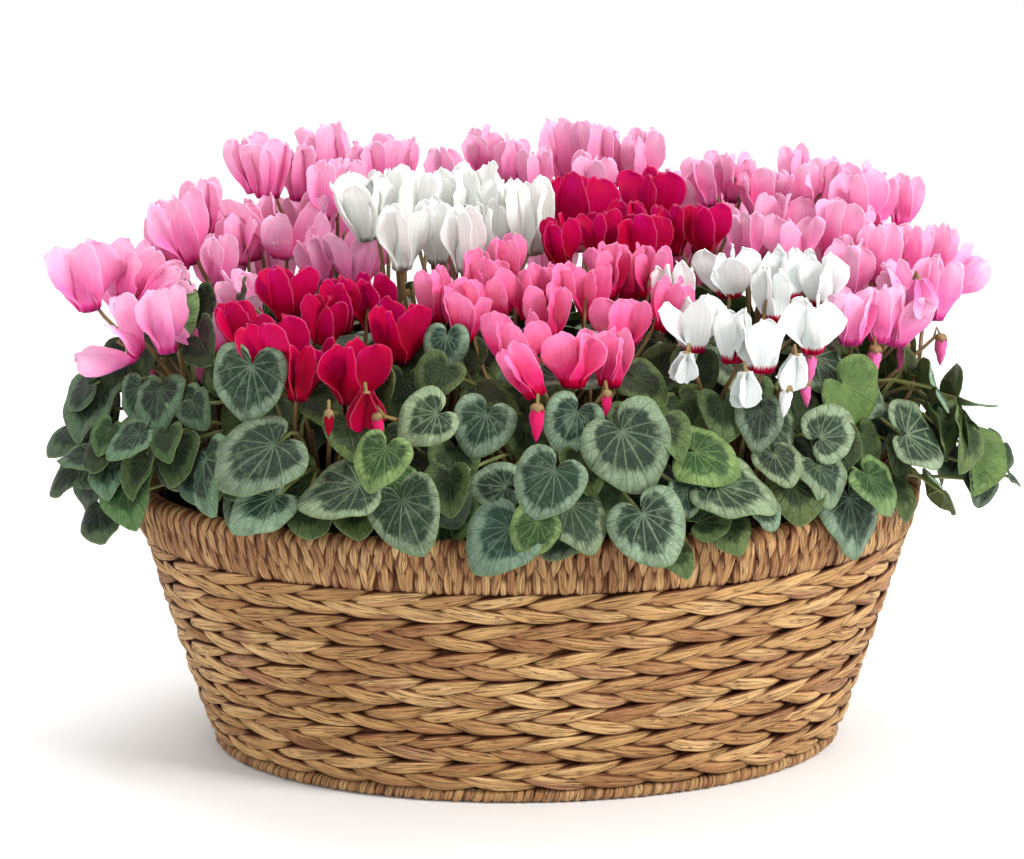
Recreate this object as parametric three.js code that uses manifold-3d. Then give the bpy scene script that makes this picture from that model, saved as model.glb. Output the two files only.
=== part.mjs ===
// A planted oval basket of miniature cyclamens, life size, in millimetres.
// The frame: Z is up, X runs along the basket, and the origin is the centre of its flat underside.
// The basket is a braided wall between a wrapped foot ring and a wrapped rim band. A thin liner
// holds the soil, and twelve plants grow in it, each a tuber with its leaves and its flowers.
import * as THREE from "three";
import { mergeVertices } from "three/addons/utils/BufferGeometryUtils.js";
import Module from "manifold-3d";

const wasm = await Module();
wasm.setup();

// ---- driving dimensions, mm ----
const RIM_A = 200, RIM_B = 136; // half axes of the rim's outer edge
const FOOT_A = 158.7, FOOT_B = 104.7; // half axes of the wall at the floor
const RIM_H = 140; // height of the rim's top
const BAND_Z = 112; // lower edge of the wrapped rim band
const BULGE = 0.035; // how far the wall bows out, as a share of the flare
const WALL_T = 9; // thickness of the braided wall
const BRAIDS = 7; // braided rows between the foot ring and the rim band
const FOOT_H = 7; // height of the wrapped foot ring
const BASE_T = 7.3; // thickness of the woven floor
const LINER_T = 1.6; // liner wall
const LINER_TOP = 131;
const SOIL_Z = 118; // soil surface
const GAP = 0.3; // clearance between neighbouring pieces
const AROUND = 26; // steps round the oval
const TUBER_R = 17, TUBER_HALF = 9, TUBER_Z = 121;
const CROWN_R = 10, CROWN_Z = 130; // crown that the leaf stalks grow from, and its underside
const CROWN_H = 6; // its height; the flower stalks' own crown stands on it
const BLADE_T = 0.9; // half thickness of a blade along its middle
const STALK_R = 1.1; // radius at the foot of a stalk

// ---- the twelve plants: name, place of the tuber, petal colour ----
const PLANTS = [
  { name: "crimson_front", x: -100, y: -58, petal: 0xb3083f },
  { name: "hotpink_front", x: 5, y: -68, petal: 0xec4a88 },
  { name: "whiteeye_front", x: 95, y: -58, petal: 0xf3f3ef },
  { name: "white_middle", x: -50, y: 3, petal: 0xf1f2ec },
  { name: "crimson_middle", x: 45, y: 10, petal: 0xb00a42 },
  { name: "palepink_far_left", x: -150, y: -8, petal: 0xf49abf },
  { name: "palepink_left", x: -122, y: 38, petal: 0xf49abf },
  { name: "palepink_back_left", x: -75, y: 80, petal: 0xf49abf },
  { name: "palepink_back", x: -12, y: 92, petal: 0xf49abf },
  { name: "palepink_back_centre", x: 48, y: 86, petal: 0xf49abf },
  { name: "palepink_back_right", x: 108, y: 62, petal: 0xf49abf },
  { name: "palepink_right", x: 150, y: 2, petal: 0xf49abf },
];

// One row per flower: plant, mouth x y z, axis x y z from the mouth to the petal tips, petal length, spread,
// spin, open star or not, kind (0 flower, 1 bud, 2 drooping petal), how far the stalk
// bows aside, and where it starts on the crown.
const FLOWERS = [
  [5, -217.05, 0.85, 222.75, -0.139, -0.049, 0.989, 35.1, 1.03, 4.11, 0, 0, 7.55, -4.9, -0.07, -5.06, 0.64, 8],
  [5, -200.72, 11.79, 226.26, 0.258, -0.121, 0.958, 32.6, 0.81, 1.91, 0, 0, -1.47, 3.47, 0.81, 0.27, 2.59, 8],
  [5, -190.76, 7.07, 223.98, 0.766, 0.012, 0.643, 27, 0.74, 3.97, 0, 0, 9.35, 7.84, 6, -2.37, -1.06, 8],
  [5, -190.76, -29.77, 206.71, -0.818, -0.096, 0.568, 27, 1.5, 6.25, 1, 0, 1.72, 0.02, -1.07, -0.27, -2.59, 8],
  [6, -169.29, 38.6, 238.46, -0.292, 0.025, 0.956, 38, 0.7, 4.27, 0, 0, 0, 0, 0, -4.84, -1.6, 8],
  [6, -164.48, 68.71, 247.15, 0, -0.042, 0.999, 32.05, 0.7, 4.23, 0, 0, 0, 0, 0, -3.81, 3.39, 8],
  [6, -153.93, 24.21, 230.44, 0, -0.138, 0.99, 27, 0.7, 1.08, 0, 0, -10.14, 2.63, 1.63, -0.8, -2.47, 8],
  [6, -145.62, 43.04, 237.85, 0, 0.002, 1, 27, 0.79, 5.55, 0, 0, 0, 0, 0, -2.54, -0.54, 8],
  [6, -135.49, -1.71, 218.46, -0.423, -0.125, 0.898, 27.43, 0.7, 4.44, 0, 0, -0.14, -3.3, 6, -0.8, -5.04, 8],
  [6, -155.23, -25.03, 206.94, -0.173, -0.013, 0.985, 27.74, 1.5, 5.2, 1, 0, 2.47, 0.58, 6, -3.21, -3.96, 8],
  [6, -122.57, 48.13, 240.31, 0.087, -0.139, 0.987, 32.44, 1.5, 4.64, 1, 0, 0, 0, 0, 0, 0, 8],
  [6, -101.06, 28.91, 231.16, -0.375, -0.111, 0.921, 27, 0.7, 2.12, 0, 0, 0, 0, 0, 1.74, -1.93, 8],
  [6, -85.84, 28.93, 229.6, 0, -0.024, 1, 28.88, 1, 4.99, 0, 0, 0, 0, 0, 2.54, 0.54, 8],
  [7, -137.59, 99.64, 266.35, -0.258, 0.114, 0.959, 31.63, 0.7, 1.21, 0, 0, 1.81, 3.09, 1.87, -5.09, 0.26, 8],
  [7, -131.27, 87.81, 265.21, 0, -0.118, 0.993, 32.01, 0.7, 3.64, 0, 0, 0.62, 2.4, -3.37, -2.77, -4.28, 8],
  [7, -114.62, 94.95, 262.86, -0.087, -0.083, 0.993, 31.57, 0.7, 1.47, 0, 0, 1.64, 3.3, -0.25, -4.28, 2.77, 8],
  [7, -99.67, 57.43, 258.1, 0, 0.04, 0.999, 30.81, 0.7, 1.31, 0, 0, -11.23, 4.15, 5.06, 1.45, -2.16, 8],
  [7, -99.38, 102.3, 267.19, 0, 0.14, 0.99, 35.42, 0.7, 4.95, 0, 0, 0, 0, 0, -1.45, 2.16, 8],
  [7, -90.65, 69.57, 259.66, 0, 0.024, 1, 28.49, 0.7, 5.47, 0, 0, -5.43, 10.73, -2.06, -1.15, -2.33, 8],
  [7, -77.58, 95.56, 265.83, -0.087, -0.028, 0.996, 28.03, 0.75, 5.3, 0, 0, 3.6, 2.37, -1.88, 0, 0, 8],
  [7, -64.98, 102.46, 266.93, 0, 0.149, 0.989, 29.11, 0.73, 0.7, 0, 0, 0, 0, 0, 2.59, 0.17, 8],
  [3, -79.48, 14.75, 254.99, -0.139, -0.136, 0.981, 32.89, 0.7, 2.95, 0, 0, -2.21, -1.32, -1.21, -4.74, 1.89, 8],
  [3, -69.13, 24.31, 254.65, 0, 0.112, 0.994, 35.22, 0.7, 4.59, 0, 0, -2.5, 9.46, 0.51, -2.55, 0.49, 8],
  [3, -62.68, -19, 245.72, 0, -0.066, 0.998, 34.29, 0.7, 2.3, 0, 0, -0.68, -1.95, -0.64, -1.7, -1.96, 8],
  [3, -51.42, 17.39, 254.35, 0, -0.112, 0.994, 36.11, 0.7, 1.75, 0, 0, 7.81, -8.68, 5.71, 0, 0, 8],
  [3, -45.08, -9.82, 247.27, 0, -0.12, 0.993, 33.05, 0.7, 2.31, 0, 0, 7.25, 5.23, 1.07, 0.85, -2.46, 8],
  [3, -34.27, 23.48, 254.67, 0, -0.06, 0.998, 35.26, 0.7, 5.77, 0, 0, 8.13, 2.5, 2.95, 1.7, 1.96, 8],
  [3, -23.49, 35, 258.89, -0.052, 0.102, 0.993, 31.52, 0.7, 5.47, 0, 0, 0, 0, 0, 3.16, 4.01, 8],
  [3, -31.26, -21.88, 244.94, -0.07, -0.097, 0.993, 32.88, 0.7, 2.63, 0, 0, 2.38, 2.04, 2.76, 3.07, -4.07, 8],
  [3, -13.09, 17, 254.14, 0, 0.026, 1, 30.13, 0.7, 2.69, 0, 0, 0, 0, 0, 4.74, 1.89, 8],
  [3, 0.99, -2.2, 249.23, -0.035, 0.045, 0.998, 38, 0.7, 5.15, 0, 0, 0, 0, 0, 5.05, -0.73, 8],
  [3, -20.32, -1, 249.69, 0, -0.04, 0.999, 27, 0.7, 1.08, 0, 0, 0, 0, 0, 2.55, -0.49, 8],
  [8, -36.32, 83.21, 265.32, -0.208, 0.025, 0.978, 27, 0.7, 0.99, 0, 0, 8.4, 5.05, -0.07, -1.01, -2.39, 8],
  [8, -15.94, 112, 272.65, -0.174, -0.129, 0.976, 27, 0.83, 2, 0, 0, 2.82, -3.17, 0.49, 1.01, 2.39, 8],
  [8, -3.18, 99.69, 269.03, 0, -0.138, 0.99, 27, 0.7, 2.37, 0, 0, -4.37, 0.67, 4.25, 0, 0, 8],
  [8, 8.85, 86.17, 263.95, 0, -0.092, 0.996, 27, 0.7, 3.17, 0, 0, -2.93, 3.21, 3.17, 1.57, -2.08, 8],
  [9, 27.16, 110.33, 268.02, -0.139, 0.063, 0.988, 34.43, 0.7, 6.11, 0, 0, 0, 0, 0, -2.44, -0.9, 8],
  [9, 39.69, 100.78, 268.38, 0, -0.023, 1, 34.06, 0.7, 2.94, 0, 0, 0, 0, 0, -2, 1.66, 8],
  [9, 36.79, 80, 261.67, 0, -0.058, 0.998, 27, 0.87, 4.73, 0, 0, 0.37, 0.93, 1.05, 0, 0, 8],
  [9, 54.47, 108.15, 266.98, 0, 0.027, 1, 32.44, 0.7, 1.41, 0, 0, 0, 0, 0, 2.44, 0.9, 8],
  [9, 65.38, 96.82, 266.74, 0.052, -0.017, 0.998, 31.85, 0.7, 2.74, 0, 0, 0, 0, 0, 2, -1.66, 8],
  [9, 17.63, 75.29, 241.89, 0, -0.063, 0.998, 27, 0.72, 5.49, 0, 0, 1.6, 9.54, 1.54, -0.44, -2.56, 8],
  [4, 28.81, 17.87, 251.24, 0, 0.092, 0.996, 35.76, 0.93, 5.14, 0, 0, 4.97, -5.97, 4.54, -2.2, 1.38, 8],
  [4, 65.85, 42.11, 256.01, 0, 0.062, 0.998, 30.2, 1.12, 1.93, 0, 0, 0.75, -0.15, 0.98, 0.1, 2.6, 8],
  [4, 15.78, -20, 245.24, -0.104, -0.075, 0.992, 27, 0.7, 3.36, 0, 0, 0, 0, 0, -3.56, -3.65, 8],
  [4, 35.03, -12.78, 246.29, 0, 0.023, 1, 27, 0.7, 5.32, 0, 0, 0, 0, 0, -2.3, -1.21, 8],
  [4, 51.11, 1.67, 248.65, -0.052, 0.01, 0.999, 27, 0.7, 4.4, 0, 0, -2.52, 1.21, 1.19, 0, 0, 8],
  [4, 55.36, -16.51, 244.89, 0, 0.118, 0.993, 27, 1.02, 0.7, 0, 0, -6.5, 2.67, 5.62, -0.1, -2.6, 8],
  [4, 72.83, 1.62, 247.9, -0.035, 0.074, 0.997, 27, 0.7, 3.7, 0, 0, -0.72, 3.51, -2.76, 2.3, 1.21, 8],
  [4, 87.71, 1.67, 248.35, 0.035, -0.068, 0.997, 27, 0.94, 0.58, 0, 0, 0, 0, 0, 5.01, -0.98, 8],
  [10, 101.85, 87.9, 258.52, -0.258, 0.162, 0.953, 28.52, 0.7, 4.34, 0, 0, -4.12, 13.15, 0.8, -2.6, 0, 8],
  [10, 113.79, 94.24, 260.56, 0, -0.12, 0.993, 27, 0.73, 2.51, 0, 0, -12.89, 10.3, -0.15, -1.3, 2.25, 8],
  [10, 127.25, 82.75, 253.7, 0, -0.026, 1, 27, 0.72, 4.39, 0, 0, 9.22, 1.41, 3, 1.3, 2.25, 8],
  [10, 148.72, 106.16, 262.31, 0, 0.081, 0.997, 27, 0.7, 1.6, 0, 0, 5.26, -5.64, -0.43, 2.14, 4.63, 8],
  [10, 157.03, 74.99, 251.21, 0, -0.109, 0.994, 36.14, 0.7, 2.4, 0, 0, 1.4, 3.49, 3.45, 5.03, 0.87, 8],
  [10, 173.27, 57.74, 249.57, 0, -0.003, 1, 35.38, 0.88, 2.51, 0, 0, -3.33, -11.69, 1.08, -0.97, -5.01, 8],
  [10, 186.54, 72.98, 250.33, 0, -0.144, 0.99, 27, 0.7, 2.63, 0, 0, -6.36, 4.97, 6, 3.57, -3.64, 8],
  [10, 199.58, 74.82, 249.87, 0.174, 0.045, 0.984, 27, 0.7, 5.93, 0, 0, -8.44, 3.31, 5.49, 4.85, -1.56, 8],
  [10, 143.17, 81.32, 252.21, 0, 0.083, 0.997, 27, 0.7, 2.7, 0, 0, 2.57, 1.06, 2.52, 2.6, 0, 8],
  [10, 112.72, 32, 239.25, 0, 0.023, 1, 27, 0.7, 0.14, 0, 0, 7.72, -0.73, 5.99, -1.3, -2.25, 8],
  [10, 137.45, 32, 234.9, 0, 0.118, 0.993, 27, 1.14, 1.58, 0, 0, 0, 0, 0, -3.18, -3.98, 8],
  [11, 162.83, 10.63, 222.49, 0, -0.058, 0.998, 32.37, 0.78, 0.83, 0, 0, 10.63, -3.52, 4.83, 0, 0, 8],
  [11, 155.11, -45.55, 211.38, 0, 0.061, 0.998, 27, 0.81, 4.19, 0, 0, 2.96, -0.57, 2.74, -3.9, -3.28, 8],
  [11, 170.13, -40.93, 211.54, 0, 0.03, 1, 28.38, 0.78, 0.03, 0, 0, -4.93, -4.29, -1.18, 0.48, -5.08, 8],
  [11, 179.21, 18.02, 228.79, 0, 0.025, 1, 32.25, 0.7, 1.8, 0, 0, 1, -0.62, -0.1, 2.6, 0.07, 8],
  [11, 199.5, 43.52, 229.07, 0.087, -0.018, 0.996, 27.35, 0.7, 1.76, 0, 0, 2.29, 17.23, 3.84, -1.68, 4.81, 8],
  [11, 212.49, 48.35, 228.1, 0.259, 0.095, 0.961, 27, 0.7, 2.62, 0, 0, -4.13, 9.61, -1.72, 0.75, 5.05, 8],
  [11, 215.95, 28.71, 222.99, 0.706, 0.106, 0.7, 27, 0.81, 1.37, 0, 0, 7.71, 10.79, -3.81, 3, 4.12, 8],
  [11, 192.04, -6.3, 221.32, -0.5, 0.015, 0.866, 27, 0.7, 5.04, 0, 0, -9.28, -17.27, -3.94, 1.36, -2.22, 8],
  [2, 68.63, -53.5, 228.48, -0.087, 0.056, 0.995, 27, 0.7, 3.01, 0, 0, -12.17, -0.81, 0.02, -2.34, 1.13, 8],
  [2, 98.03, -29.78, 232.96, -0.139, -0.131, 0.982, 27, 1.12, 3.38, 0, 0, -10.59, 3.16, 2.8, -0.19, 2.59, 8],
  [2, 74.3, -81.4, 216.16, 0, 0.063, 0.998, 27, 1.11, 5.33, 0, 0, -5.65, 3.04, 4.19, -2.15, -1.46, 8],
  [2, 91.51, -89.22, 212.41, 0, 0.046, 0.999, 27, 0.7, 3.85, 0, 0, -7.64, 0.39, 6, 0.19, -2.59, 8],
  [2, 104.43, -100.77, 209.7, 0, 0.154, 0.988, 27, 0.95, 4.39, 0, 0, -6.98, -6.52, 2.17, 0.49, -5.08, 8],
  [2, 126.57, -34.32, 232.01, -0.087, 0.105, 0.991, 27, 0.7, 0.13, 0, 0, 0, 0, 0, 2.15, 1.46, 8],
  [2, 130.69, -81.62, 215.21, 0, -0.068, 0.998, 27.03, 1, 3.48, 0, 0, 2.38, 6, 6, 2.34, -1.13, 8],
  [2, 142.12, -35.21, 228.77, 0, -0.036, 0.999, 27, 0.87, 2.82, 0, 0, -8.83, 4.3, 5.78, 4.63, 2.14, 8],
  [2, 115.3, -53.31, 224.92, 0, 0.053, 0.999, 27, 0.7, 3.21, 0, 0, 6.07, 6.09, 5.1, 0, 0, 8],
  [1, -34.04, -68.98, 220.42, 0, -0.149, 0.989, 27, 0.7, 4.17, 0, 0, -4.01, -3.9, 3.47, -5.1, -0.01, 8],
  [1, -45.76, -59.13, 226.81, -0.104, -0.007, 0.995, 27, 0.7, 1.83, 0, 0, 3.9, -8.41, 3.17, -4.6, 2.2, 8],
  [1, -25.01, -41.08, 232.24, 0, -0.104, 0.995, 27, 0.7, 3.06, 0, 0, 2.32, -7.19, 6, -3.19, 3.98, 8],
  [1, -12.33, -28.93, 238.05, 0, -0.12, 0.993, 27, 0.7, 5.99, 0, 0, -6.58, -5.55, 1.71, -1.15, 4.97, 8],
  [1, -16.61, -56.26, 226.06, -0.104, -0.133, 0.986, 27, 0.75, 1.27, 0, 0, -2.15, -5.66, -4.57, -2.58, -0.28, 8],
  [1, -1.96, -55.25, 227.02, 0, 0.084, 0.996, 27, 0.7, 3.26, 0, 0, -9.3, -3.26, 3.91, -1.53, 2.1, 8],
  [1, -9.78, -94.17, 210.7, -0.052, -0.114, 0.992, 27, 1.15, 5.69, 0, 0, -2.62, 7.73, 3.8, -1.05, -2.38, 8],
  [1, 5.82, -69.69, 219.58, 0, -0.079, 0.997, 27, 0.74, 3.83, 0, 0, -9.91, 0.4, 5.62, 0, 0, 8],
  [1, 11.23, -56.6, 228.55, 0, -0.034, 0.999, 27, 0.7, 0.09, 0, 0, -6.3, -7.27, 4.45, 1.05, 2.38, 8],
  [1, 27.55, -53.52, 226.51, 0, 0.116, 0.993, 27, 0.71, 4.02, 0, 0, 10.61, -7.51, -0.17, 2.58, 0.28, 8],
  [1, 36.29, -38.05, 234.45, 0, -0.131, 0.991, 27, 0.7, 4.08, 0, 0, 5.83, 6.18, 6, 1.12, 4.98, 8],
  [1, 47.74, -30.93, 232.32, 0, -0.016, 1, 27, 0.7, 2.51, 0, 0, 0, 0, 0, 3.17, 4, 8],
  [1, 57.73, -39.25, 233.66, 0.104, 0.011, 0.994, 27, 0.7, 5.05, 0, 0, 3.99, 5.36, 6, 4.59, 2.23, 8],
  [1, 40.8, -78, 215.95, 0, 0.12, 0.993, 27, 1.15, 4.31, 0, 0, -3.11, 10.14, 6, 1.53, -2.1, 8],
  [1, 15.92, -109.9, 205.73, 0, 0.1, 0.995, 27, 1.1, 1.78, 0, 0, 4.49, -2.63, 6, 1.15, -4.97, 8],
  [1, -1.21, -115.47, 203.1, -0.421, 0.133, 0.897, 27, 0.73, 4.98, 0, 0, 7.13, 4.34, 3.37, -1.12, -4.98, 8],
  [1, 32.96, -105.54, 205.56, 0.07, -0.073, 0.995, 27, 0.7, 6.25, 0, 0, 6.45, 5.99, -1.88, 4.6, -2.2, 8],
  [1, 61.4, -65.35, 223.32, 0.208, -0.036, 0.978, 27, 0.7, 3.09, 0, 0, 0.19, -9.69, 1.44, 5.1, 0.01, 8],
  [0, -119.32, -81.09, 204.91, -0.208, -0.035, 0.978, 31.27, 1.13, 1.2, 0, 0, 0, 0, 0, -0.85, -2.46, 8],
  [0, -88.3, -99.8, 196.6, 0, 0.12, 0.993, 30.31, 1.15, 3.57, 0, 0, 0, 0, 0, 1.8, -4.77, 8],
  [0, -118.46, -45.68, 225.57, -0.052, 0.146, 0.988, 27, 1.15, 4.23, 0, 0, -3.27, -8.73, 1.57, -1.7, 1.96, 8],
  [0, -100.76, -64.82, 216.07, 0, -0.109, 0.994, 27, 0.7, 5.42, 0, 0, 1.16, -4.37, 0.93, 0, 0, 8],
  [0, -92.05, -55.15, 221.68, -0.052, -0.099, 0.994, 27.4, 0.7, 3.59, 0, 0, 3.83, -11.55, 0.92, 0.85, 2.46, 8],
  [0, -77.24, -47.99, 221.16, 0, -0.084, 0.996, 27.88, 0.84, 4.35, 0, 0, 5.24, -0.47, 2.08, 2.55, 0.49, 8],
  [0, -64.44, -71.35, 210.8, 0, -0.084, 0.996, 29.44, 0.97, 0.54, 0, 0, 0, 0, 0, 1.7, -1.96, 8],
  [0, -112.04, -98.65, 198.68, 0.087, -0.009, 0.996, 27, 0.7, 5.87, 0, 0, -7.03, -4.12, 6, -3.24, -3.94, 8],
  [0, -135.64, -64.93, 215.01, -0.422, 0.048, 0.905, 27, 0.74, 0.55, 0, 0, 0.66, 1.9, -0.33, -2.55, -0.49, 8],
  [7, -149.05, 80.53, 226.32, -0.099, 0.048, 0.994, 31.09, 0.82, 1.53, 0, 0, 7.64, -0.63, 6, -0.26, -5.09, 8],
  [7, -118.28, 103.49, 232.19, -0.115, 0.217, 0.969, 32.45, 0.85, 2.85, 0, 0, 5.81, 6.74, 1.35, -2.32, 4.54, 8],
  [7, -87.68, 117.29, 228.07, -0.09, 0.191, 0.977, 29.27, 0.93, 5.05, 0, 0, -7.62, -1.7, 2.27, 1.15, 2.33, 8],
  [7, -61.83, 124.68, 236.89, -0.075, 0.24, 0.968, 32.99, 0.83, 1.95, 0, 0, 6.11, 4, 6, 4.54, 2.32, 8],
  [7, -99.55, 81.88, 238.98, -0.097, 0.075, 0.992, 32.17, 0.76, 5.41, 0, 0, -6.56, 4.83, 3.82, -2.59, -0.17, 8],
  [7, -44.82, 110.86, 243.43, -0.022, 0.11, 0.994, 29.81, 0.82, 1.47, 0, 0, 5.16, -5.96, 1.15, 5.09, -0.26, 8],
  [7, -127.64, 90.39, 210.86, -0.055, 0.053, 0.997, 29.76, 0.77, 5.05, 0, 0, 3.87, -4.53, 6, -4.54, -2.32, 8],
  [7, -78.93, 139.69, 214.01, -0.051, 0.073, 0.996, 33.37, 0.87, 2.57, 0, 0, -12.37, 3.13, 2.51, 2.77, 4.28, 8],
  [8, -24.95, 129.11, 230.65, -0.013, 0.122, 0.992, 30.74, 0.82, 2.7, 0, 0, -11.56, 2.4, 3.05, -1.57, 2.08, 8],
  [8, -1.3, 136.34, 223.66, 0.001, 0.245, 0.97, 33.97, 0.84, 0.06, 0, 0, 10.78, 8.43, -1.77, 1.9, 4.73, 8],
  [8, 10.68, 114.95, 239.57, 0.01, 0.087, 0.996, 29.51, 0.82, 2.03, 0, 0, -5.75, -5.98, 5.21, 2.58, 0.32, 8],
  [8, -37.46, 136.64, 212.64, -0.023, 0.238, 0.971, 29.81, 0.75, 4.45, 0, 0, -6.76, -4.02, 6, -3.15, 4.01, 8],
  [8, 19.32, 135.17, 204.74, 0.027, 0.177, 0.984, 29.73, 0.86, 5.19, 0, 0, -2.84, -0.2, 0.43, 4.01, 3.15, 8],
  [9, 37.22, 129.8, 227.31, 0.014, 0.176, 0.984, 33.89, 0.92, 4.99, 0, 0, -7.59, -2.74, 5.56, -4.29, 2.75, 8],
  [9, 59.94, 125.4, 233.93, 0.069, 0.114, 0.991, 30.83, 0.78, 6.26, 0, 0, 6.49, -4.47, 3.77, 2.75, 4.29, 8],
  [9, 47.57, 143.2, 216.2, 0.057, 0.172, 0.983, 32.9, 0.82, 3.71, 0, 0, -11.97, -1.9, 6, -2.34, 4.53, 8],
  [9, 79.83, 119.56, 239.86, 0.048, 0.215, 0.975, 33.92, 0.92, 5.4, 0, 0, -9.4, 2.25, 4.36, 5.09, -0.23, 8],
  [9, 88, 132, 218, 0.098, 0.213, 0.972, 32.7, 0.8, 1.93, 0, 0, 3.35, -0.23, 0.48, 4.53, 2.34, 8],
  [9, 38.73, 113.41, 245.32, 0.038, 0.139, 0.99, 29.14, 0.76, 0.04, 0, 0, 0, 0, 0, 0.44, 2.56, 8],
  [10, 99.2, 112.58, 233.08, 0.067, 0.103, 0.992, 32.46, 0.94, 1.6, 0, 0, -9.34, -2.5, 6, -5.09, 0.36, 8],
  [10, 125.38, 99.03, 227.5, 0.105, 0.197, 0.975, 33.94, 0.94, 3.32, 0, 0, 8.14, -0.95, 6, -2.6, 4.39, 8],
  [10, 148.1, 84.95, 220.33, 0.112, 0.069, 0.991, 30.13, 0.79, 4.06, 0, 0, -3.08, -2.8, 3.51, 4.04, 3.11, 8],
  [10, 116.16, 125.69, 205.32, 0.06, 0.167, 0.984, 33.5, 0.92, 4.31, 0, 0, 6.05, 13.28, -0.5, -4.34, 2.68, 8],
  [10, 161.06, 61.28, 211.48, 0.148, 0.094, 0.985, 33, 0.77, 4.22, 0, 0, 3.57, -11.17, -3.35, 1.47, -4.88, 8],
  [10, 134.8, 61.56, 238.36, 0.169, 0.141, 0.975, 32.91, 0.9, 3.07, 0, 0, 0, 0, 0, 1.3, -2.25, 8],
  [10, 84.05, 100.5, 242.85, 0.09, 0.087, 0.992, 32.95, 0.82, 4.12, 0, 0, 0.9, 6.29, 6, -4.67, -2.05, 8],
  [11, 182.18, 35.1, 210.48, 0.227, 0.06, 0.972, 30.98, 0.83, 5.77, 0, 0, 1.8, 14.87, 6, -3.73, 3.48, 8],
  [11, 168.45, 42, 228.75, 0.244, 0.077, 0.967, 29.85, 0.78, 4.28, 0, 0, 13.34, 10.24, 2.45, -1.36, 2.22, 8],
  [11, 205.56, 8.75, 212.63, 0.101, 0.011, 0.995, 33.03, 0.78, 0.82, 0, 0, 17.6, -14.67, 1.99, 4.58, 2.25, 8],
  [11, 157.33, 32.54, 239.29, 0.231, 0.068, 0.971, 32.29, 0.82, 3.58, 0, 0, -7.91, -3.2, 6, -2.6, -0.07, 8],
  [11, 178.29, -30.02, 207.75, 0.176, -0.008, 0.984, 29.07, 0.94, 1.34, 0, 0, 5.27, -8.82, 6, 4.45, -2.49, 8],
  [5, -199.26, 28.66, 213.25, -0.202, 0.036, 0.979, 33.67, 0.84, 4.25, 0, 0, 0, 0, 0, -4.06, 3.08, 8],
  [5, -183.54, 38.91, 205.64, -0.239, 0.082, 0.968, 30.06, 0.8, 2.78, 0, 0, 8.72, -10.42, 6, 2.37, 1.06, 8],
  [5, -176.15, -40.36, 209.65, -0.125, 0.006, 0.992, 31.93, 0.8, 2.01, 0, 0, -8.53, 5.97, 2.02, 2.11, -1.52, 8],
  [6, -154.36, 54.12, 217.33, -0.138, 0.053, 0.989, 33.55, 0.82, 4.3, 0, 0, 0, 0, 0, -1.74, 1.93, 8],
  [6, -176.97, 55.39, 231.09, -0.153, 0.077, 0.985, 33.52, 0.83, 2.23, 0, 0, 4.74, 0.43, 0.58, -4.99, 1.03, 8],
  [6, -138.77, 63.37, 235.83, -0.216, 0.106, 0.971, 31.66, 0.85, 2.36, 0, 0, -1.99, -1.08, 2.29, 0.8, 2.47, 8],
  [1, -2.83, -129.6, 184.75, 0.029, 0.058, 1, 17.86, 0.42, 1.54, 0, 1, 8.2, -4.93, -2.11, -3.17, -4, 8],
  [1, 29.29, -126.52, 195.77, 0.071, 0.106, 1, 12.22, 0.42, 2.08, 0, 1, -2.12, -6.1, 1.91, 3.19, -3.98, 8],
  [11, 130.64, -72, 196.59, 0.058, 0.101, 1, 17.63, 0.42, 0.75, 0, 1, -16.97, -7.31, -2.16, -4.98, -1.09, 8],
  [11, 128.44, -85.34, 189.56, -0.113, -0.008, 1, 13.61, 0.42, 3.41, 0, 1, -5.63, 15.61, 6, -4.92, 1.35, 8],
  [2, 113.29, -112.62, 191.24, 0.106, 0.036, 1, 15.74, 0.42, 6.09, 0, 1, 8.67, 2.58, 5.53, 2.97, -4.15, 8],
  [11, 165.2, -48, 194.58, 0.096, -0.093, 1, 17.44, 0.42, 4.4, 0, 1, 0, 0, 0, -1.93, -4.72, 8],
  [11, 206.93, -8, 192.59, -0.007, -0.061, 1, 16.4, 0.42, 3.25, 0, 1, 0, 0, 0, 5.1, -0.13, 8],
  [0, -97.64, -123.63, 187.32, 0.011, 0.018, 1, 12.23, 0.42, 5.19, 0, 1, 1.44, -7.55, 6, -0.83, -5.03, 8],
  [1, -74.16, -122.2, 184.82, -0.117, -0.068, 1, 13.21, 0.42, 5.02, 0, 1, 3.87, 7.69, 2.63, -4.59, -2.23, 8],
  [2, 95.98, -114, 197.88, -0.053, 0.1, 1, 15.67, 0.55, 2.01, 0, 2, 1.84, 1.59, -0.9, -2.11, -4.64, 8],
  [2, 117.94, -110.25, 205.05, 0.064, -0.082, 1, 16.16, 0.55, 3, 0, 2, 3.45, 6.26, -7.83, 4.64, -2.11, 8],
  [2, 67.12, -108, 208.26, 0.071, -0.087, 1, 13.77, 0.55, 3.01, 0, 2, 0, 0, 0, -4.15, -2.97, 8],
  [0, -80.74, -118.36, 189.45, 0.028, -0.09, 1, 17.93, 0.55, 0.85, 0, 2, 0.66, 4.11, -2.11, 3.94, -3.24, 8],
  [11, 191.55, -38.53, 224.79, -0.12, 0.089, 1, 17.94, 0.55, 5.57, 0, 2, 9.43, 15.21, 6, 2.79, -4.27, 8],
  [7, -96, 122, 196, -0.116, -0.114, 1, 19.89, 0.42, 2.17, 0, 1, 0, 0, 0, 0.26, 5.09, 8],
  [8, -5.12, 140.12, 188.18, 0.149, -0.084, 1, 19.77, 0.42, 0.05, 0, 1, 3.05, 14.04, 5.54, -0.72, 5.05, 8],
  [9, 55.62, 135.2, 195.03, 0.016, 0.071, 1, 15.23, 0.42, 3.82, 0, 1, -16.31, 3.02, 6, 0.23, 5.09, 8],
  [10, 131.44, 99.17, 196.75, 0.176, 0.076, 1, 19.8, 0.42, 2.45, 0, 1, 1.7, -9.06, 5.23, -0.26, 5.09, 8],
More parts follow.
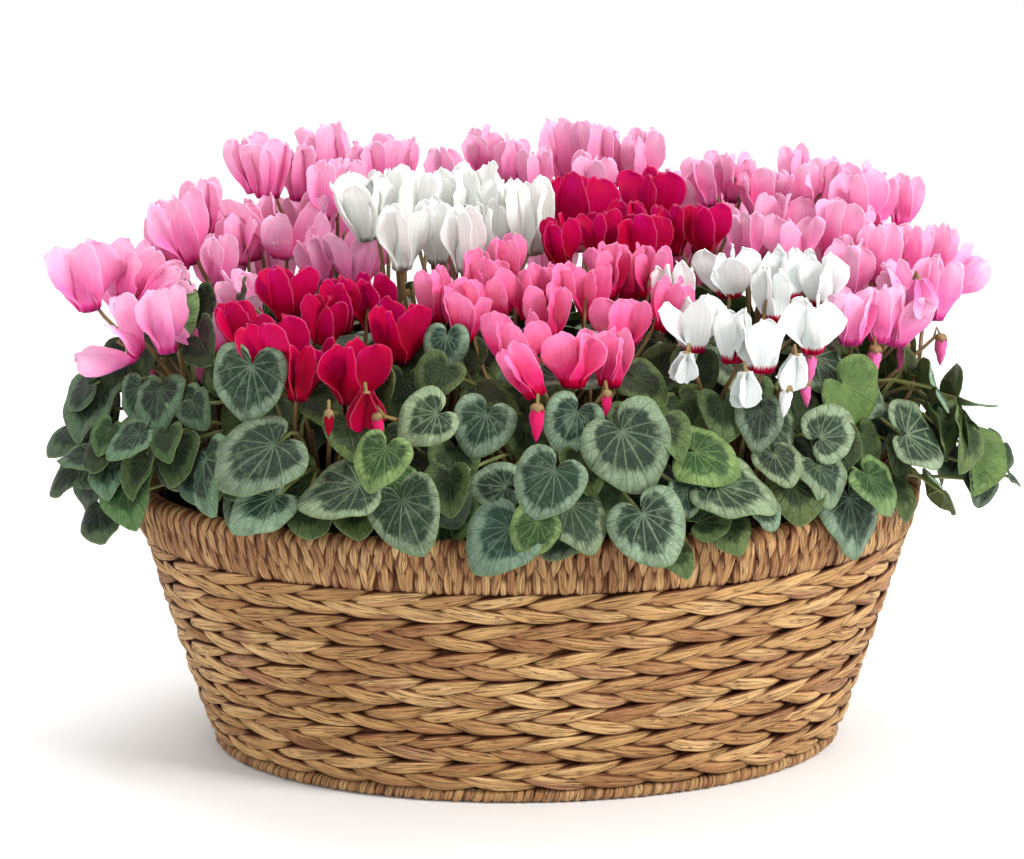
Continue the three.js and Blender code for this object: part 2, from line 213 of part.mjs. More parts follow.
  [11, 185.64, -11.21, 190.52, 0.157, -0.08, 1, 16.17, 0.42, 0.61, 0, 1, -1.82, -7.95, 6, -1.24, -2.29, 8],
  [5, -186.71, 5.59, 185.76, -0.134, -0.142, 1, 14.39, 0.42, 0.82, 0, 1, -2.55, 8.52, 1.39, -2.11, 1.52, 8],
  [6, -148, 72, 194, -0.079, 0.041, 1, 14.02, 0.42, 0.76, 0, 1, 3.32, -3.05, -0.47, -1.6, 4.84, 8],
  [3, -59.61, 20.64, 212.68, 0.071, -0.065, 1, 15.86, 0.42, 0.78, 0, 1, 1.96, 12.03, 0.43, -0.85, 2.46, 8],
  [4, 60.97, 2.83, 212.41, 0.127, -0.008, 1, 15.89, 0.42, 4.84, 0, 1, -3.77, 4.86, 6, 2.2, -1.38, 8],
  [8, -39.82, 115.98, 207.02, -0.008, 0.082, 1, 14.34, 0.42, 4.46, 0, 1, -4.35, 1.54, -1.17, -2.58, -0.32, 8],
  [10, 93.41, 84.18, 214.09, 0.19, -0.191, 1, 18.5, 0.42, 4.41, 0, 1, -1.51, 14.29, 2.58, 0, 0, 8],
  [11, 167.35, 24.49, 206.45, 0.138, -0.193, 1, 18.73, 0.42, 2.23, 0, 1, 9.62, 1.49, 4.2, 1.24, 2.29, 8],
  [5, -161.72, -21.91, 190.26, -0.054, 0.031, 1, 14.05, 0.42, 1.37, 0, 1, -2.54, 9.89, 6, 0, 0, 8],
];

// One row per leaf: plant, middle x y z, tip direction, face direction, whole length, width, pattern,
// droop of the tip, droop of the sides, how far its stalk bows aside, and where it starts on the crown.
const LEAVES = [
  [5, -217.89, -10, 175.97, -0.505, -0.403, -0.763, -0.656, -0.396, 0.643, 32.7, 39.3, 2, 0.072, 0.077, -0.52, -1.39, -0.87, -7.6, 0.06, 2],
  [5, -221.15, -28.26, 157.3, -0.775, 0.617, -0.138, -0.234, -0.36, 0.938, 30.8, 24.9, 0, 0.12, 0.112, 11.53, 1.54, 6, -7.53, -1.06, 4.3],
  [5, -191.15, -43.29, 186.21, -0.187, -0.285, -0.94, -0.605, -0.721, 0.339, 24, 24, 0, 0.168, 0.117, 0, 0, 0, -5.88, -4.81, 4.3],
  [5, -180.83, -57.36, 188.08, -0.108, -0.657, -0.746, -0.558, -0.586, 0.623, 27.4, 25.6, 0, 0.143, 0.091, 3.9, -5.66, -0.2, -2.52, -7.17, 4.3],
  [5, -148.4, -43.29, 195.02, 0.115, -0.711, -0.694, -0.363, -0.551, 0.6, 23.5, 22.5, 4, 0.127, 0.099, 17.31, -1.28, 6, -0.5, -7.58, 4.3],
  [0, -167.56, -61.5, 190.26, 0.207, -0.842, -0.498, -0.337, -0.454, 0.713, 18, 17.1, 0, 0.2, 0.158, -5.42, 2.5, 2.48, -7.16, 2.55, 2],
  [0, -160.99, -72.72, 187.88, 0.34, -0.805, -0.485, -0.536, -0.61, 0.639, 18.9, 18, 0, 0.141, 0.108, 3.81, -1.38, 1.61, -7.57, -0.65, 4.3],
  [0, -175.02, -79.34, 173.59, -0.032, -0.676, -0.736, -0.517, -0.654, 0.595, 18, 17.1, 4, 0.073, 0.117, -7.93, 4.23, 0.43, -7.44, -1.54, 2],
  [5, -195.36, -66, 172.58, -0.872, -0.129, -0.473, -0.374, -0.45, 0.811, 23.5, 22.5, 2, 0.11, 0.063, 0, 0, 0, -4.37, -6.22, 4.3],
  [5, -207.25, -48, 169.68, -0.51, -0.207, -0.835, -0.574, -0.64, 0.51, 18, 17.1, 1, 0.113, 0.129, 0, 0, 0, -6.53, -3.9, 2],
  [5, -206.19, -44.97, 152.04, -0.164, -0.835, -0.526, -0.602, -0.429, 0.814, 28.2, 24.1, 2, 0.074, 0.16, 3.63, 1.15, 6, -6.96, -3.05, 4.3],
  [5, -196.15, -58, 143.65, -0.035, -0.756, -0.654, -0.552, -0.531, 0.643, 30.3, 31.5, 1, 0.177, 0.113, 0, 0, 0, -5.23, -5.51, 2],
  [0, -172.37, -74.43, 165.2, -0.187, -0.286, -0.94, -0.62, -0.708, 0.339, 25.4, 28.3, 4, 0.052, 0.149, 0, 0, 0, -7.58, 0.52, 2],
  [0, -157.1, -98.76, 163, 0.022, -0.849, -0.528, -0.815, -0.254, 0.547, 37.5, 27.2, 0, 0.176, 0.136, -6.59, 6.72, -2.74, -6.75, -3.49, 2],
  [5, -176.64, -5.7, 221.31, 0.341, 0.573, 0.745, -0.527, -0.435, 0.631, 33.5, 34.8, 1, 0.061, 0.161, -2.39, 5.92, 1.43, -6.98, 3.01, 4.3],
  [0, -149.35, -61.14, 204.54, -0.336, -0.605, -0.722, -0.54, -0.52, 0.729, 25, 27, 4, 0.145, 0.096, 5.57, 6.6, -2.53, -7.47, 1.42, 4.3],
  [0, -135.44, -94.07, 204.43, -0.187, -0.29, -0.938, -0.362, -0.947, 0.285, 35.7, 36.6, 0, 0.071, 0.151, -5.97, -7.49, 2.07, -5.56, -5.18, 2],
  [0, -133.28, -118.67, 176.56, -0.86, -0.283, -0.425, -0.188, -0.598, 0.779, 42, 42.4, 0, 0.114, 0.152, 0, 0, 0, -3.95, -6.49, 2],
  [0, -131.7, -118.54, 153.03, -0.867, -0.227, -0.444, -0.206, -0.689, 0.747, 31.8, 32.6, 2, 0.094, 0.154, 6.63, 2.42, -3.86, -2.91, -7.02, 4.3],
  [0, -75.22, -151.06, 180.64, -0.354, -0.28, -0.892, -0.329, -0.675, 0.477, 27.5, 28, 1, 0.07, 0.114, 4.86, 12.92, 4.77, 3.15, -6.92, 4.3],
  [0, -95.08, -134, 164.65, -0.976, 0.101, -0.191, -0.215, -0.553, 0.805, 39.1, 37.3, 0, 0.133, 0.171, 0.19, 1.15, 0.8, 1.17, -7.51, 4.3],
  [0, -101.97, -87.33, 193.23, 0.288, -0.879, -0.38, -0.221, -0.469, 0.798, 25.9, 24.1, 4, 0.098, 0.141, -9.63, -6.09, -0.41, -0.9, -7.55, 4.3],
  [0, -107.74, -122.67, 150.1, 0.09, -0.829, -0.553, -0.184, -0.559, 0.808, 23.9, 23.8, 4, 0.088, 0.17, 0, 0, 0, -0.01, -7.6, 2],
  [1, -61.51, -147.59, 154.14, 0.33, -0.535, -0.778, -0.219, -0.778, 0.48, 34.9, 33.2, 0, 0.084, 0.15, -6.72, -5.79, -1.5, -7.36, -1.91, 2],
  [0, -65.09, -132.33, 166.42, 0.695, -0.661, -0.281, -0.229, -0.566, 0.877, 23.5, 22.5, 1, 0.11, 0.143, 0.65, -6.53, 5.72, 4.9, -5.81, 4.3],
  [1, -54.91, -122.88, 193.32, -0.872, -0.122, -0.475, -0.16, -0.709, 0.512, 27.8, 28.2, 0, 0.138, 0.147, 1.83, -12.45, -3.26, -7.55, -0.86, 4.3],
  [1, -48.2, -103.55, 208.34, -0.643, -0.369, -0.671, -0.237, -0.712, 0.593, 24, 24, 4, 0.204, 0.155, 5.52, -2.99, -7.96, -7.5, 1.21, 4.3],
  [1, -43.45, -83.49, 218.9, -0.189, -0.487, -0.853, -0.318, -0.916, 0.437, 23.5, 22.5, 2, 0.131, 0.083, -5.93, 1.44, -10.98, -7.28, 2.19, 2],
  [1, -27.94, -121.33, 189.04, -0.355, -0.303, -0.885, 0.028, -1.016, 0.43, 28.2, 28.5, 0, 0.195, 0.09, -4.68, -10.94, 2.7, -5.3, -5.45, 2],
  [1, -20.74, -98.84, 199.95, 0.863, -0.447, -0.234, 0.048, -0.386, 0.729, 26.6, 23.5, 4, 0.205, 0.167, -4.92, -13.35, -11.98, -6.57, -3.82, 2],
  [1, 13.06, -123.62, 190.51, -0.434, -0.343, -0.833, 0.043, -0.932, 0.361, 27.6, 27.2, 2, 0.07, 0.168, 0, 0, 0, 1.37, -7.47, 4.3],
  [1, -6.07, -107.02, 181.5, -0.016, -0.339, -0.941, 0.053, -0.857, 0.386, 23.5, 22.5, 4, 0.205, 0.085, 6.35, -17.11, -6.87, -1.69, -7.41, 2],
  [1, -0.04, -152, 169.1, -0.481, -0.297, -0.825, 0, -0.941, 0.339, 31.8, 31.7, 0, 0.114, 0.16, 0, 0, 0, 0.37, -7.59, 2],
  [1, 20.06, -131.2, 170.96, 0.3, -0.531, -0.793, 0.094, -0.792, 0.575, 23.8, 23.5, 4, 0.101, 0.143, -1.14, -0.67, 0.57, 3.34, -6.83, 4.3],
  [1, -23.58, -134.65, 166.02, -0.992, 0.104, 0.076, -0.072, -0.938, 0.339, 23.5, 22.5, 0, 0.201, 0.059, 0, 0, 0, -3.63, -6.68, 2],
  [1, -22.35, -150.11, 142.94, -0.709, -0.314, -0.631, -0.197, -0.765, 0.533, 34.6, 35, 2, 0.056, 0.092, 5.89, -14.29, 6, -2.71, -7.1, 4.3],
  [1, -6.21, -155.22, 148.01, -0.433, -0.354, -0.829, 0.038, -0.995, 0.312, 23.5, 22.5, 1, 0.113, 0.089, -2.84, 5.55, 6, -0.69, -7.57, 4.3],
  [1, 16.34, -145.41, 151.46, 0.456, -0.495, -0.74, 0.148, -0.777, 0.611, 31.8, 30.9, 0, 0.189, 0.165, 0, 0, 0, 2.4, -7.21, 2],
  [1, 41.44, -140.58, 182.49, 0.521, -0.194, -0.831, 0.198, -0.92, 0.339, 40.4, 41.1, 0, 0.159, 0.1, 0, 0, 0, 5.06, -5.67, 4.3],
  [1, 50.58, -100.3, 204.99, 0.846, -0.282, -0.452, 0.116, -0.627, 0.74, 23.8, 23.5, 4, 0.108, 0.167, 6.25, 10.46, 0.62, 7.55, 0.89, 2],
  [2, 60.86, -74.96, 209.72, 0.506, 0.389, 0.77, 0.192, -0.921, 0.339, 23.5, 22.5, 4, 0.055, 0.142, 0, 0, 0, -6.81, -3.38, 4.3],
  [1, 58.76, -127.19, 185.95, 0.403, -0.677, -0.616, 0.078, -0.526, 0.721, 24, 22.7, 4, 0.087, 0.06, 11.59, 1.68, -2.04, 7.51, -1.18, 2],
  [1, 49.35, -149.08, 146.85, 0.457, -0.273, -0.847, -0.011, -0.869, 0.373, 34.8, 35, 0, 0.058, 0.121, 0.81, 1.72, -1.33, 5.8, -4.91, 2],
  [1, 66.75, -134.39, 158.53, 0.11, -0.737, -0.667, 0.152, -0.774, 0.677, 18.3, 17.4, 2, 0.154, 0.058, -6.46, 7.81, 3.03, 7.6, -0.18, 4.3],
  [2, 77.3, -132.42, 149.31, 0.89, 0.398, 0.221, 0.258, -0.761, 0.444, 23.5, 22.5, 4, 0.062, 0.11, -0.43, 7.61, 2.72, -4.38, -6.21, 4.3],
  [2, 91.7, -128.58, 161.46, 0.983, -0.068, -0.173, 0.121, -0.475, 0.872, 41.9, 38.9, 0, 0.126, 0.176, 0, 0, 0, -0.51, -7.58, 4.3],
  [2, 79.29, -124.34, 174.96, 0.936, -0.086, -0.341, 0.214, -0.616, 0.777, 31.5, 31.9, 1, 0.115, 0.154, 2.11, -1.95, -1.16, -3.45, -6.77, 2],
  [2, 86.38, -104.8, 190.08, -0.034, -0.735, -0.677, 0.18, -0.671, 0.72, 24.5, 25.5, 4, 0.166, 0.085, -1.49, -0.81, 1.83, -2.54, -7.16, 4.3],
  [2, 105.2, -122.22, 148.2, 0.46, -0.475, -0.75, 0.338, -0.687, 0.643, 18, 17.1, 0, 0.134, 0.111, 0, 0, 0, 0.57, -7.58, 2],
  [2, 112.54, -98.68, 179.89, 0.565, -0.079, -0.821, 0.347, -0.728, 0.356, 25.2, 26.8, 0, 0.054, 0.129, -2.73, -8.5, 6, 3.5, -6.74, 4.3],
  [2, 112.7, -112.25, 168.33, 0.389, -0.711, -0.586, 0.177, -0.575, 0.767, 23.6, 22.8, 0, 0.096, 0.084, 5.22, -10.12, 0.52, 2.6, -7.14, 2],
  [2, 140.12, -91.6, 180.23, 0.805, 0.486, 0.34, 0.331, -0.906, 0.36, 28.4, 27.1, 0, 0.087, 0.118, 4.57, -1.93, -1.37, 5.93, -4.75, 2],
  [2, 134.9, -104.86, 160.15, 0.427, -0.606, -0.671, 0.357, -0.569, 0.741, 25.2, 27.7, 0, 0.208, 0.177, 0, 0, 0, 5.19, -5.55, 4.3],
  [2, 121.05, -112.67, 152.01, 0.127, -0.636, -0.761, 0.277, -0.714, 0.643, 27.1, 28.9, 4, 0.051, 0.121, 0, 0, 0, 4.43, -6.18, 2],
  [2, 151.52, -92.19, 136.78, 0.248, -0.237, -0.939, 0.595, -0.729, 0.351, 36.2, 40.3, 0, 0.194, 0.149, -10.53, 7.78, 6, 6.5, -3.94, 4.3],
  [2, 153.33, -68.08, 189.98, 0.619, 0.086, -0.78, 0.535, -0.774, 0.339, 32.2, 34, 3, 0.1, -0.12, 0, 0, 0, 7.6, 0.01, 4.3],
  [11, 164.74, -49.14, 190.1, 0.81, 0.586, -0.006, 0.549, -0.64, 0.522, 35, 29.1, 2, 0.2, 0.14, -4.34, -11.21, -6.79, 2.47, -7.19, 2],
  [11, 189.53, -61.68, 167.98, 0.799, 0.495, -0.34, 0.592, -0.666, 0.528, 41.4, 37.4, 0, 0.185, 0.084, -10.91, 1.81, 5.8, 2.96, -7, 4.3],
  [2, 163.67, -91.26, 151.45, 0.752, -0.267, -0.603, 0.515, -0.37, 0.647, 28.5, 33.9, 1, 0.068, 0.053, -6.06, 9.78, 6, 7.32, -2.04, 4.3],
  [11, 198.71, -34.77, 189.8, 0.071, 0.993, -0.093, 0.944, -0.063, 0.534, 41.5, 28.5, 2, 0.187, 0.077, -5.76, -5.16, 2.19, 6.17, -4.44, 4.3],
  [11, 214.46, -12.32, 178.3, 0.059, 0.985, -0.162, 0.865, 0.031, 0.5, 39.3, 27.8, 3, 0.1, -0.12, 0, 0, 0, 7.58, -0.59, 4.3],
  [11, 227.66, -16.9, 145.56, 0.105, -0.761, -0.64, 0.616, -0.455, 0.643, 42.7, 39.1, 3, 0.1, -0.12, 0, 0, 0, 7.53, -1.06, 2],
  [11, 201.46, -44.78, 138.1, 0.046, 0.968, -0.245, 0.835, 0.091, 0.602, 36.4, 26.8, 0, 0.107, 0.14, -16.1, 12.1, 6, 4.74, -5.94, 4.3],
  [11, 215.47, -34.25, 159.33, -0.036, -0.77, -0.637, 0.531, -0.333, 0.462, 30.1, 28.1, 4, 0.187, 0.088, 10.41, 9.85, 2.78, 7.14, -2.61, 4.3],
  [11, 187.34, -22.18, 201.12, 0.023, 0.49, 0.872, 0.601, -0.586, 0.333, 18, 17.1, 4, 0.121, 0.098, 1.48, -11.18, -7.96, 6.96, -3.05, 2],
  [5, -186.86, -16.75, 205.74, -0.352, -0.429, -0.832, -0.875, -0.625, 0.67, 25.1, 27.2, 4, 0.164, 0.115, -11.91, -5.05, -1.33, -7.33, -1.99, 2],
  [5, -183.22, -3.13, 209.61, -0.659, 0.538, -0.526, -0.856, -0.438, 0.72, 23.9, 22.9, 4, 0.16, 0.097, -13.8, 1.23, -10.69, -7.3, 2.11, 2],
  [0, -123.76, -98.12, 165.33, -0.034, -0.729, -0.683, -0.387, -0.626, 0.686, 24.1, 24.4, 4, 0.17, 0.169, -2.18, -1.38, 1.91, -4.69, -5.98, 4.3],
  [0, -87.53, -119.99, 186.26, 0.117, -0.698, -0.707, -0.124, -0.668, 0.553, 23.7, 23.2, 4, 0.175, 0.164, 3.34, -13.7, -3.79, 3.94, -6.5, 2],
  [1, -40.12, -120.28, 171.12, -0.024, -0.508, -0.861, -0.044, -0.933, 0.625, 23.8, 23.5, 4, 0.218, 0.156, -9.77, -10.36, 3.23, -7.04, -2.87, 4.3],
  [0, -70.43, -116.26, 179.81, 0.283, -0.616, -0.735, -0.237, -0.714, 0.681, 23.5, 22.5, 4, 0.201, 0.09, 7.83, 5.21, 4.89, 5.55, -5.19, 2],
  [1, -8.21, -95.19, 191.96, -0.187, -0.577, -0.795, 0.017, -0.795, 0.59, 23.5, 22.5, 4, 0.194, 0.117, 3.73, -6.04, -0.74, -4.52, -6.11, 4.3],
  [1, 41, -117.29, 186.82, -0.187, -0.588, -0.787, 0.031, -0.884, 0.537, 23.5, 22.5, 4, 0.165, 0.055, 6.84, -11.5, -10.49, 6.91, -3.16, 2],
  [2, 70.22, -97.04, 190.41, 0.467, -0.437, -0.768, 0.304, -0.767, 0.585, 23.8, 23.5, 4, 0.156, 0.104, -5.4, -0.89, 6, -5.15, -5.59, 2],
  [2, 102.85, -81.01, 192.1, 0.286, -0.601, -0.747, 0.175, -0.628, 0.615, 23.5, 22.5, 4, 0.132, 0.095, 1.52, -1.14, -11.24, 1.55, -7.44, 4.3],
  [2, 124.31, -78.33, 187.19, 0.12, -0.678, -0.725, 0.375, -0.454, 0.647, 23.8, 23.5, 4, 0.118, 0.146, 9.18, -11.11, -2.36, 6.99, -2.98, 2],
  [1, 29.01, -131.36, 158.11, -0.016, -0.339, -0.941, 0.066, -0.943, 0.397, 23.5, 22.5, 4, 0.168, 0.083, 4.27, -3.54, 6, 4.26, -6.29, 2],
  [1, -42.64, -133.84, 163.06, -0.016, -0.34, -0.94, -0.286, -1.012, 0.452, 23.5, 22.5, 4, 0.158, 0.098, 16.15, 0.83, -1.03, -6, -4.66, 4.3],
  [2, 160.59, -74.5, 167.53, 0.486, -0.284, -0.826, 0.447, -0.744, 0.47, 25, 27, 4, 0.166, 0.074, -0.03, 0.38, -0.1, 7.54, -0.98, 2],
  [2, 177.98, -66, 139.9, 0.431, -0.592, -0.681, 0.394, -0.555, 0.732, 23.7, 23.2, 4, 0.196, 0.077, 0, 0, 0, 7.52, 1.09, 2],
  [2, 87.8, -128.01, 141.28, 0.387, -0.714, -0.583, 0.225, -0.54, 0.811, 23.5, 22.5, 4, 0.146, 0.067, 0, 0, 0, -1.49, -7.45, 2],
  [1, 62.45, -142.04, 131.44, 0.441, -0.558, -0.703, 0.062, -0.621, 0.672, 18, 17.1, 4, 0.217, 0.133, -5.67, 8.3, 6, 7.27, -2.22, 4.3],
  [0, -86.32, -129.34, 149.39, 0.09, -0.829, -0.552, -0.182, -0.558, 0.81, 23.5, 22.5, 4, 0.071, 0.146, 0, 0, 0, 2.05, -7.32, 2],
  [0, -141.8, -100.43, 162.6, -0.337, -0.598, -0.727, -0.213, -0.648, 0.694, 24.1, 24.2, 4, 0.096, 0.071, -4.75, 7.92, -2.37, -6.13, -4.49, 4.3],
  [5, -214.39, -4.69, 160.52, -0.653, 0.373, -0.659, -0.813, -0.301, 0.504, 24.8, 26.3, 4, 0.084, 0.131, 10.19, -7.26, 3.53, -7.53, 1.01, 4.3],
  [5, -189.3, -63.68, 155.42, -0.349, -0.484, -0.803, -0.57, -0.654, 0.57, 24.9, 26.7, 4, 0.1, 0.135, -3.13, -4.51, -0.33, -3.55, -6.72, 2],
  [11, 201.52, -38.17, 167.15, 0.48, -0.349, -0.805, 0.712, -0.455, 0.548, 27.1, 33.4, 4, 0.216, 0.111, 5.96, -6.53, -1.7, 5.88, -4.82, 2],
  [11, 211.5, 14.2, 144.1, 0.484, -0.363, -0.796, 0.861, 0.033, 0.508, 33.9, 30.9, 2, 0.168, 0.153, 0, 0, 0, 7.49, 1.28, 2],
  [11, 190.37, 51.84, 148.46, -0.163, 0.61, -0.776, 0.801, 0.54, 0.255, 34.6, 33, 4, 0.208, 0.085, 1.92, 0.53, -0.86, 4.78, 5.91, 2],
  [10, 180.21, 76.05, 143.56, -0.482, 0.603, -0.636, 0.58, 0.763, 0.285, 35.4, 36.5, 1, 0.096, 0.083, 0, 0, 0, 7.1, 2.7, 2],
  [10, 148.49, 96.41, 142.88, 0.119, 0.644, -0.756, 0.591, 0.566, 0.575, 36.1, 36.6, 2, 0.163, 0.1, 0, 0, 0, 5.79, 4.92, 4.3],
  [10, 122.4, 118.71, 152.73, -0.146, 0.353, -0.924, 0.439, 0.86, 0.259, 40.4, 36.8, 0, 0.165, 0.068, 0, 0, 0, 1.87, 7.37, 2],
  [9, 88.43, 122.83, 148.65, 0.654, -0.096, -0.75, 0.551, 0.74, 0.386, 37.4, 36.7, 0, 0.077, 0.18, 0, 0, 0, 5.62, 5.12, 2],
  [9, 51.52, 140.18, 140.64, -0.676, 0.468, -0.569, 0.13, 0.774, 0.468, 40.1, 41.3, 1, 0.198, 0.075, 3.02, 3.27, -3.5, 0.28, 7.59, 2],
  [9, 34.86, 141.26, 144.75, -0.39, 0.45, -0.803, 0.002, 0.872, 0.49, 36.8, 38.3, 0, 0.111, 0.12, 1.73, 5.76, 6, -2.03, 7.32, 2],
  [8, -6.7, 140.9, 153.46, -0.665, 0.509, -0.547, 0.233, 0.837, 0.495, 37.1, 33.8, 1, 0.186, 0.103, 8.71, 3.69, 5.41, 0.82, 7.56, 2],
  [8, -34.11, 138.99, 147.97, -0.336, 0.469, -0.817, -0.22, 0.939, 0.667, 37.6, 36.9, 2, 0.204, 0.158, 2.5, -11.34, -3.74, -3.28, 6.86, 4.3],
  [7, -70.86, 131.74, 150.35, -0.76, 0.186, -0.623, -0.081, 0.924, 0.374, 41.3, 39.8, 1, 0.195, 0.072, 0, 0, 0, 0.61, 7.58, 2],
  [7, -120.42, 124.41, 143.32, 0.327, 0.537, -0.778, -0.287, 0.939, 0.322, 41.4, 40.1, 2, 0.061, 0.107, -8.7, 4.33, 1.26, -5.23, 5.51, 4.3],
  [7, -133.55, 108.16, 141.12, -0.178, 0.201, -0.963, -0.671, 0.873, 0.366, 42, 39.9, 1, 0.198, 0.134, 10.07, -10.55, -0.66, -6.63, 3.71, 4.3],
  [6, -156.85, 94.66, 144.44, -0.608, -0.117, -0.785, -0.719, 0.518, 0.352, 35.4, 32.9, 0, 0.088, 0.144, 10.44, -1.33, 1.23, -4.39, 6.2, 4.3],
  [6, -182.19, 66.5, 145.18, -0.607, -0.16, -0.779, -0.695, 0.288, 0.564, 44.4, 41.7, 0, 0.119, 0.068, -2.33, 6.86, -0.49, -6.72, 3.54, 2],
  [6, -197.63, 50.1, 150.97, -0.45, -0.14, -0.882, -0.837, 0.412, 0.361, 41.6, 42.3, 2, 0.148, 0.138, 0, 0, 0, -7.43, 1.6, 2],
  [0, -113.81, -90.82, 151.14, -0.623, 0.049, -0.781, -0.233, -0.973, 0.4, 33.1, 32, 4, 0.087, 0.087, -0.04, -12.83, -2.12, -2.06, -7.32, 2],
  [1, -51.27, -105.83, 141.02, -0.519, -0.447, -0.729, -0.009, -0.736, 0.556, 37.9, 38.9, 1, 0.197, 0.107, 0.92, 10.51, -6.84, -7.6, 0.15, 2],
  [11, 204.62, 16.08, 174.71, 0.706, -0.404, -0.582, 0.649, 0.332, 0.547, 35.7, 34.7, 0, 0.192, 0.122, 8.33, -10.84, 4.82, 7.25, 2.26, 4.3],
  [11, 194.5, 55.79, 168.12, 0.507, 0.525, -0.683, 0.68, 0.244, 0.692, 44.5, 45.4, 2, 0.202, 0.164, 0, 0, 0, 4.84, 5.86, 4.3],
  [10, 176.12, 74.57, 169.09, 0.478, 0.34, -0.81, 0.708, 0.39, 0.577, 39, 38.4, 0, 0.124, 0.07, -3.19, 4.04, -5.33, 7.3, 2.13, 4.3],
  [10, 141.3, 102.02, 173.85, 0.835, -0.239, -0.496, 0.549, 0.431, 0.716, 35, 36.1, 1, 0.2, 0.085, 0, 0, 0, 4.86, 5.84, 2],
  [9, 85.09, 133.55, 179.01, 0.537, 0.499, -0.68, 0.238, 0.684, 0.69, 35.3, 34.8, 0, 0.147, 0.086, 0, 0, 0, 4.67, 5.99, 4.3],
  [9, 64.17, 139.84, 167.88, 0.362, 0.412, -0.836, 0.181, 0.939, 0.545, 37.3, 36.8, 0, 0.118, 0.092, 10.75, 11.06, -4.96, 2.32, 7.24, 2],
  [9, 27.47, 141.46, 171.18, -0.699, 0.421, -0.579, -0.047, 0.779, 0.631, 33.3, 32.9, 2, 0.064, 0.076, 2.77, 1.38, 0.48, -2.64, 7.13, 4.3],
  [8, -38.3, 138.48, 174.92, -0.399, 0.268, -0.877, -0.445, 0.85, 0.449, 37.2, 34.4, 2, 0.144, 0.123, -10.08, 2.53, -4.68, -3.54, 6.73, 2],
  [7, -68.18, 126.11, 176.32, 0.497, 0.588, -0.639, 0.058, 0.728, 0.746, 41.7, 39.1, 0, 0.076, 0.051, 10.56, 10.09, 0.16, 1.95, 7.35, 4.3],
  [7, -101.76, 119.45, 169.62, -0.657, 0.083, -0.75, -0.453, 0.861, 0.466, 34.2, 33.5, 0, 0.179, 0.137, -4.8, -2.99, 5.89, -4.07, 6.42, 2],
  [7, -135.48, 103.54, 167.56, -0.619, 0.323, -0.716, -0.409, 0.645, 0.645, 35.3, 32.1, 0, 0.051, 0.094, 0, 0, 0, -7.23, 2.34, 2],
  [6, -159.89, 80.35, 173.5, 0.431, 0.66, -0.616, -0.354, 0.784, 0.466, 35.1, 32.3, 0, 0.074, 0.153, -9.89, -3.19, 2.12, -4.61, 6.04, 2],
  [6, -192.09, 53.85, 175.92, -0.36, 0.494, -0.792, -0.779, 0.309, 0.546, 38.6, 37.5, 1, 0.219, 0.103, 0, 0, 0, -7.27, 2.22, 4.3],
  [11, 184.09, 12.56, 197.06, 0.708, 0.166, -0.687, 0.734, 0.632, 0.687, 44.6, 45.5, 2, 0.055, 0.096, 10.92, 7.44, 6, 6.87, 3.25, 2],
  [10, 164.73, 56.97, 189.01, 0.738, 0.216, -0.639, 0.619, 0.204, 0.765, 36.4, 36.1, 2, 0.145, 0.122, -1.05, -11.44, 6, 7.47, -1.38, 2],
  [10, 153.32, 69.07, 181.23, 0.281, 0.778, -0.561, 0.213, 0.41, 0.908, 37.9, 37.7, 0, 0.087, 0.13, 11.49, 5.91, -1.4, 7.57, 0.69, 2],
  [10, 123.03, 97.71, 196.71, -0.009, 0.929, -0.37, 0.501, 0.422, 0.805, 38.2, 36.9, 0, 0.191, 0.083, 8.67, 0.52, 6, 3.14, 6.92, 4.3],
  [9, 102.5, 106.74, 206.22, 0.497, 0.537, -0.681, 0.096, 1.005, 0.475, 41.5, 37.6, 1, 0.082, 0.088, 17.28, 11.53, 6, 6.99, 2.99, 4.3],
  [9, 58.84, 116.62, 197.01, -0.142, 0.661, -0.737, 0.082, 0.833, 0.606, 38.5, 36, 2, 0.092, 0.155, 10.12, 5.95, 6, 2.28, 7.25, 4.3],
  [8, 16.64, 108.5, 201.12, 0.753, 0.3, -0.586, 0.18, 0.619, 0.673, 38.8, 37.6, 0, 0.147, 0.172, 9.97, 11.99, 4.39, 5.95, 4.73, 4.3],
  [8, -10.63, 114, 196.28, -0.244, 0.762, -0.6, -0.049, 0.714, 0.701, 40.6, 40.8, 0, 0.058, 0.161, 9.86, 13.78, 1.41, 0.01, 7.6, 4.3],
  [8, -20.5, 121.1, 183.86, 0.654, 0.666, -0.359, -0.111, 0.651, 0.917, 36.1, 32.6, 0, 0.211, 0.12, 0.8, 1.98, 6, -1.27, 7.49, 2],
  [7, -117.12, 105.94, 186.8, 0.127, 0.753, -0.646, -0.227, 0.39, 0.639, 41.9, 42.7, 0, 0.165, 0.085, -8.22, 10.29, -4.12, -6.33, 4.21, 2],
  [7, -140.33, 88.91, 196.38, -0.788, 0.334, -0.517, -0.389, 0.447, 0.799, 37.7, 34.7, 0, 0.054, 0.122, -0.77, -3.21, -3.78, -7.51, 1.14, 4.3],
  [6, -158.97, 60.78, 185.18, -0.696, 0.418, -0.583, -0.593, 0.122, 0.831, 37.4, 34.2, 0, 0.061, 0.111, -0.35, 7.06, 6, -6.39, 4.11, 4.3],
  [6, -186.25, 35.84, 183.95, -0.85, -0.024, -0.526, -0.539, 0.089, 0.945, 33.9, 31.5, 4, 0.201, 0.058, -13.44, -2.6, -11.68, -7.59, -0.47, 2],
  [0, -132.76, -72.1, 179.37, -0.271, -0.703, -0.658, -0.214, -0.589, 0.677, 35.7, 36.9, 4, 0.112, 0.15, -4.11, -7.37, 4.98, -7.12, -2.67, 4.3],
  [11, 154.42, 28.2, 204.27, 0.596, 0.753, -0.278, 0.39, -0.034, 0.838, 41, 41.8, 1, 0.095, 0.082, -2.76, 12.93, -5.38, 1.92, 7.35, 4.3],
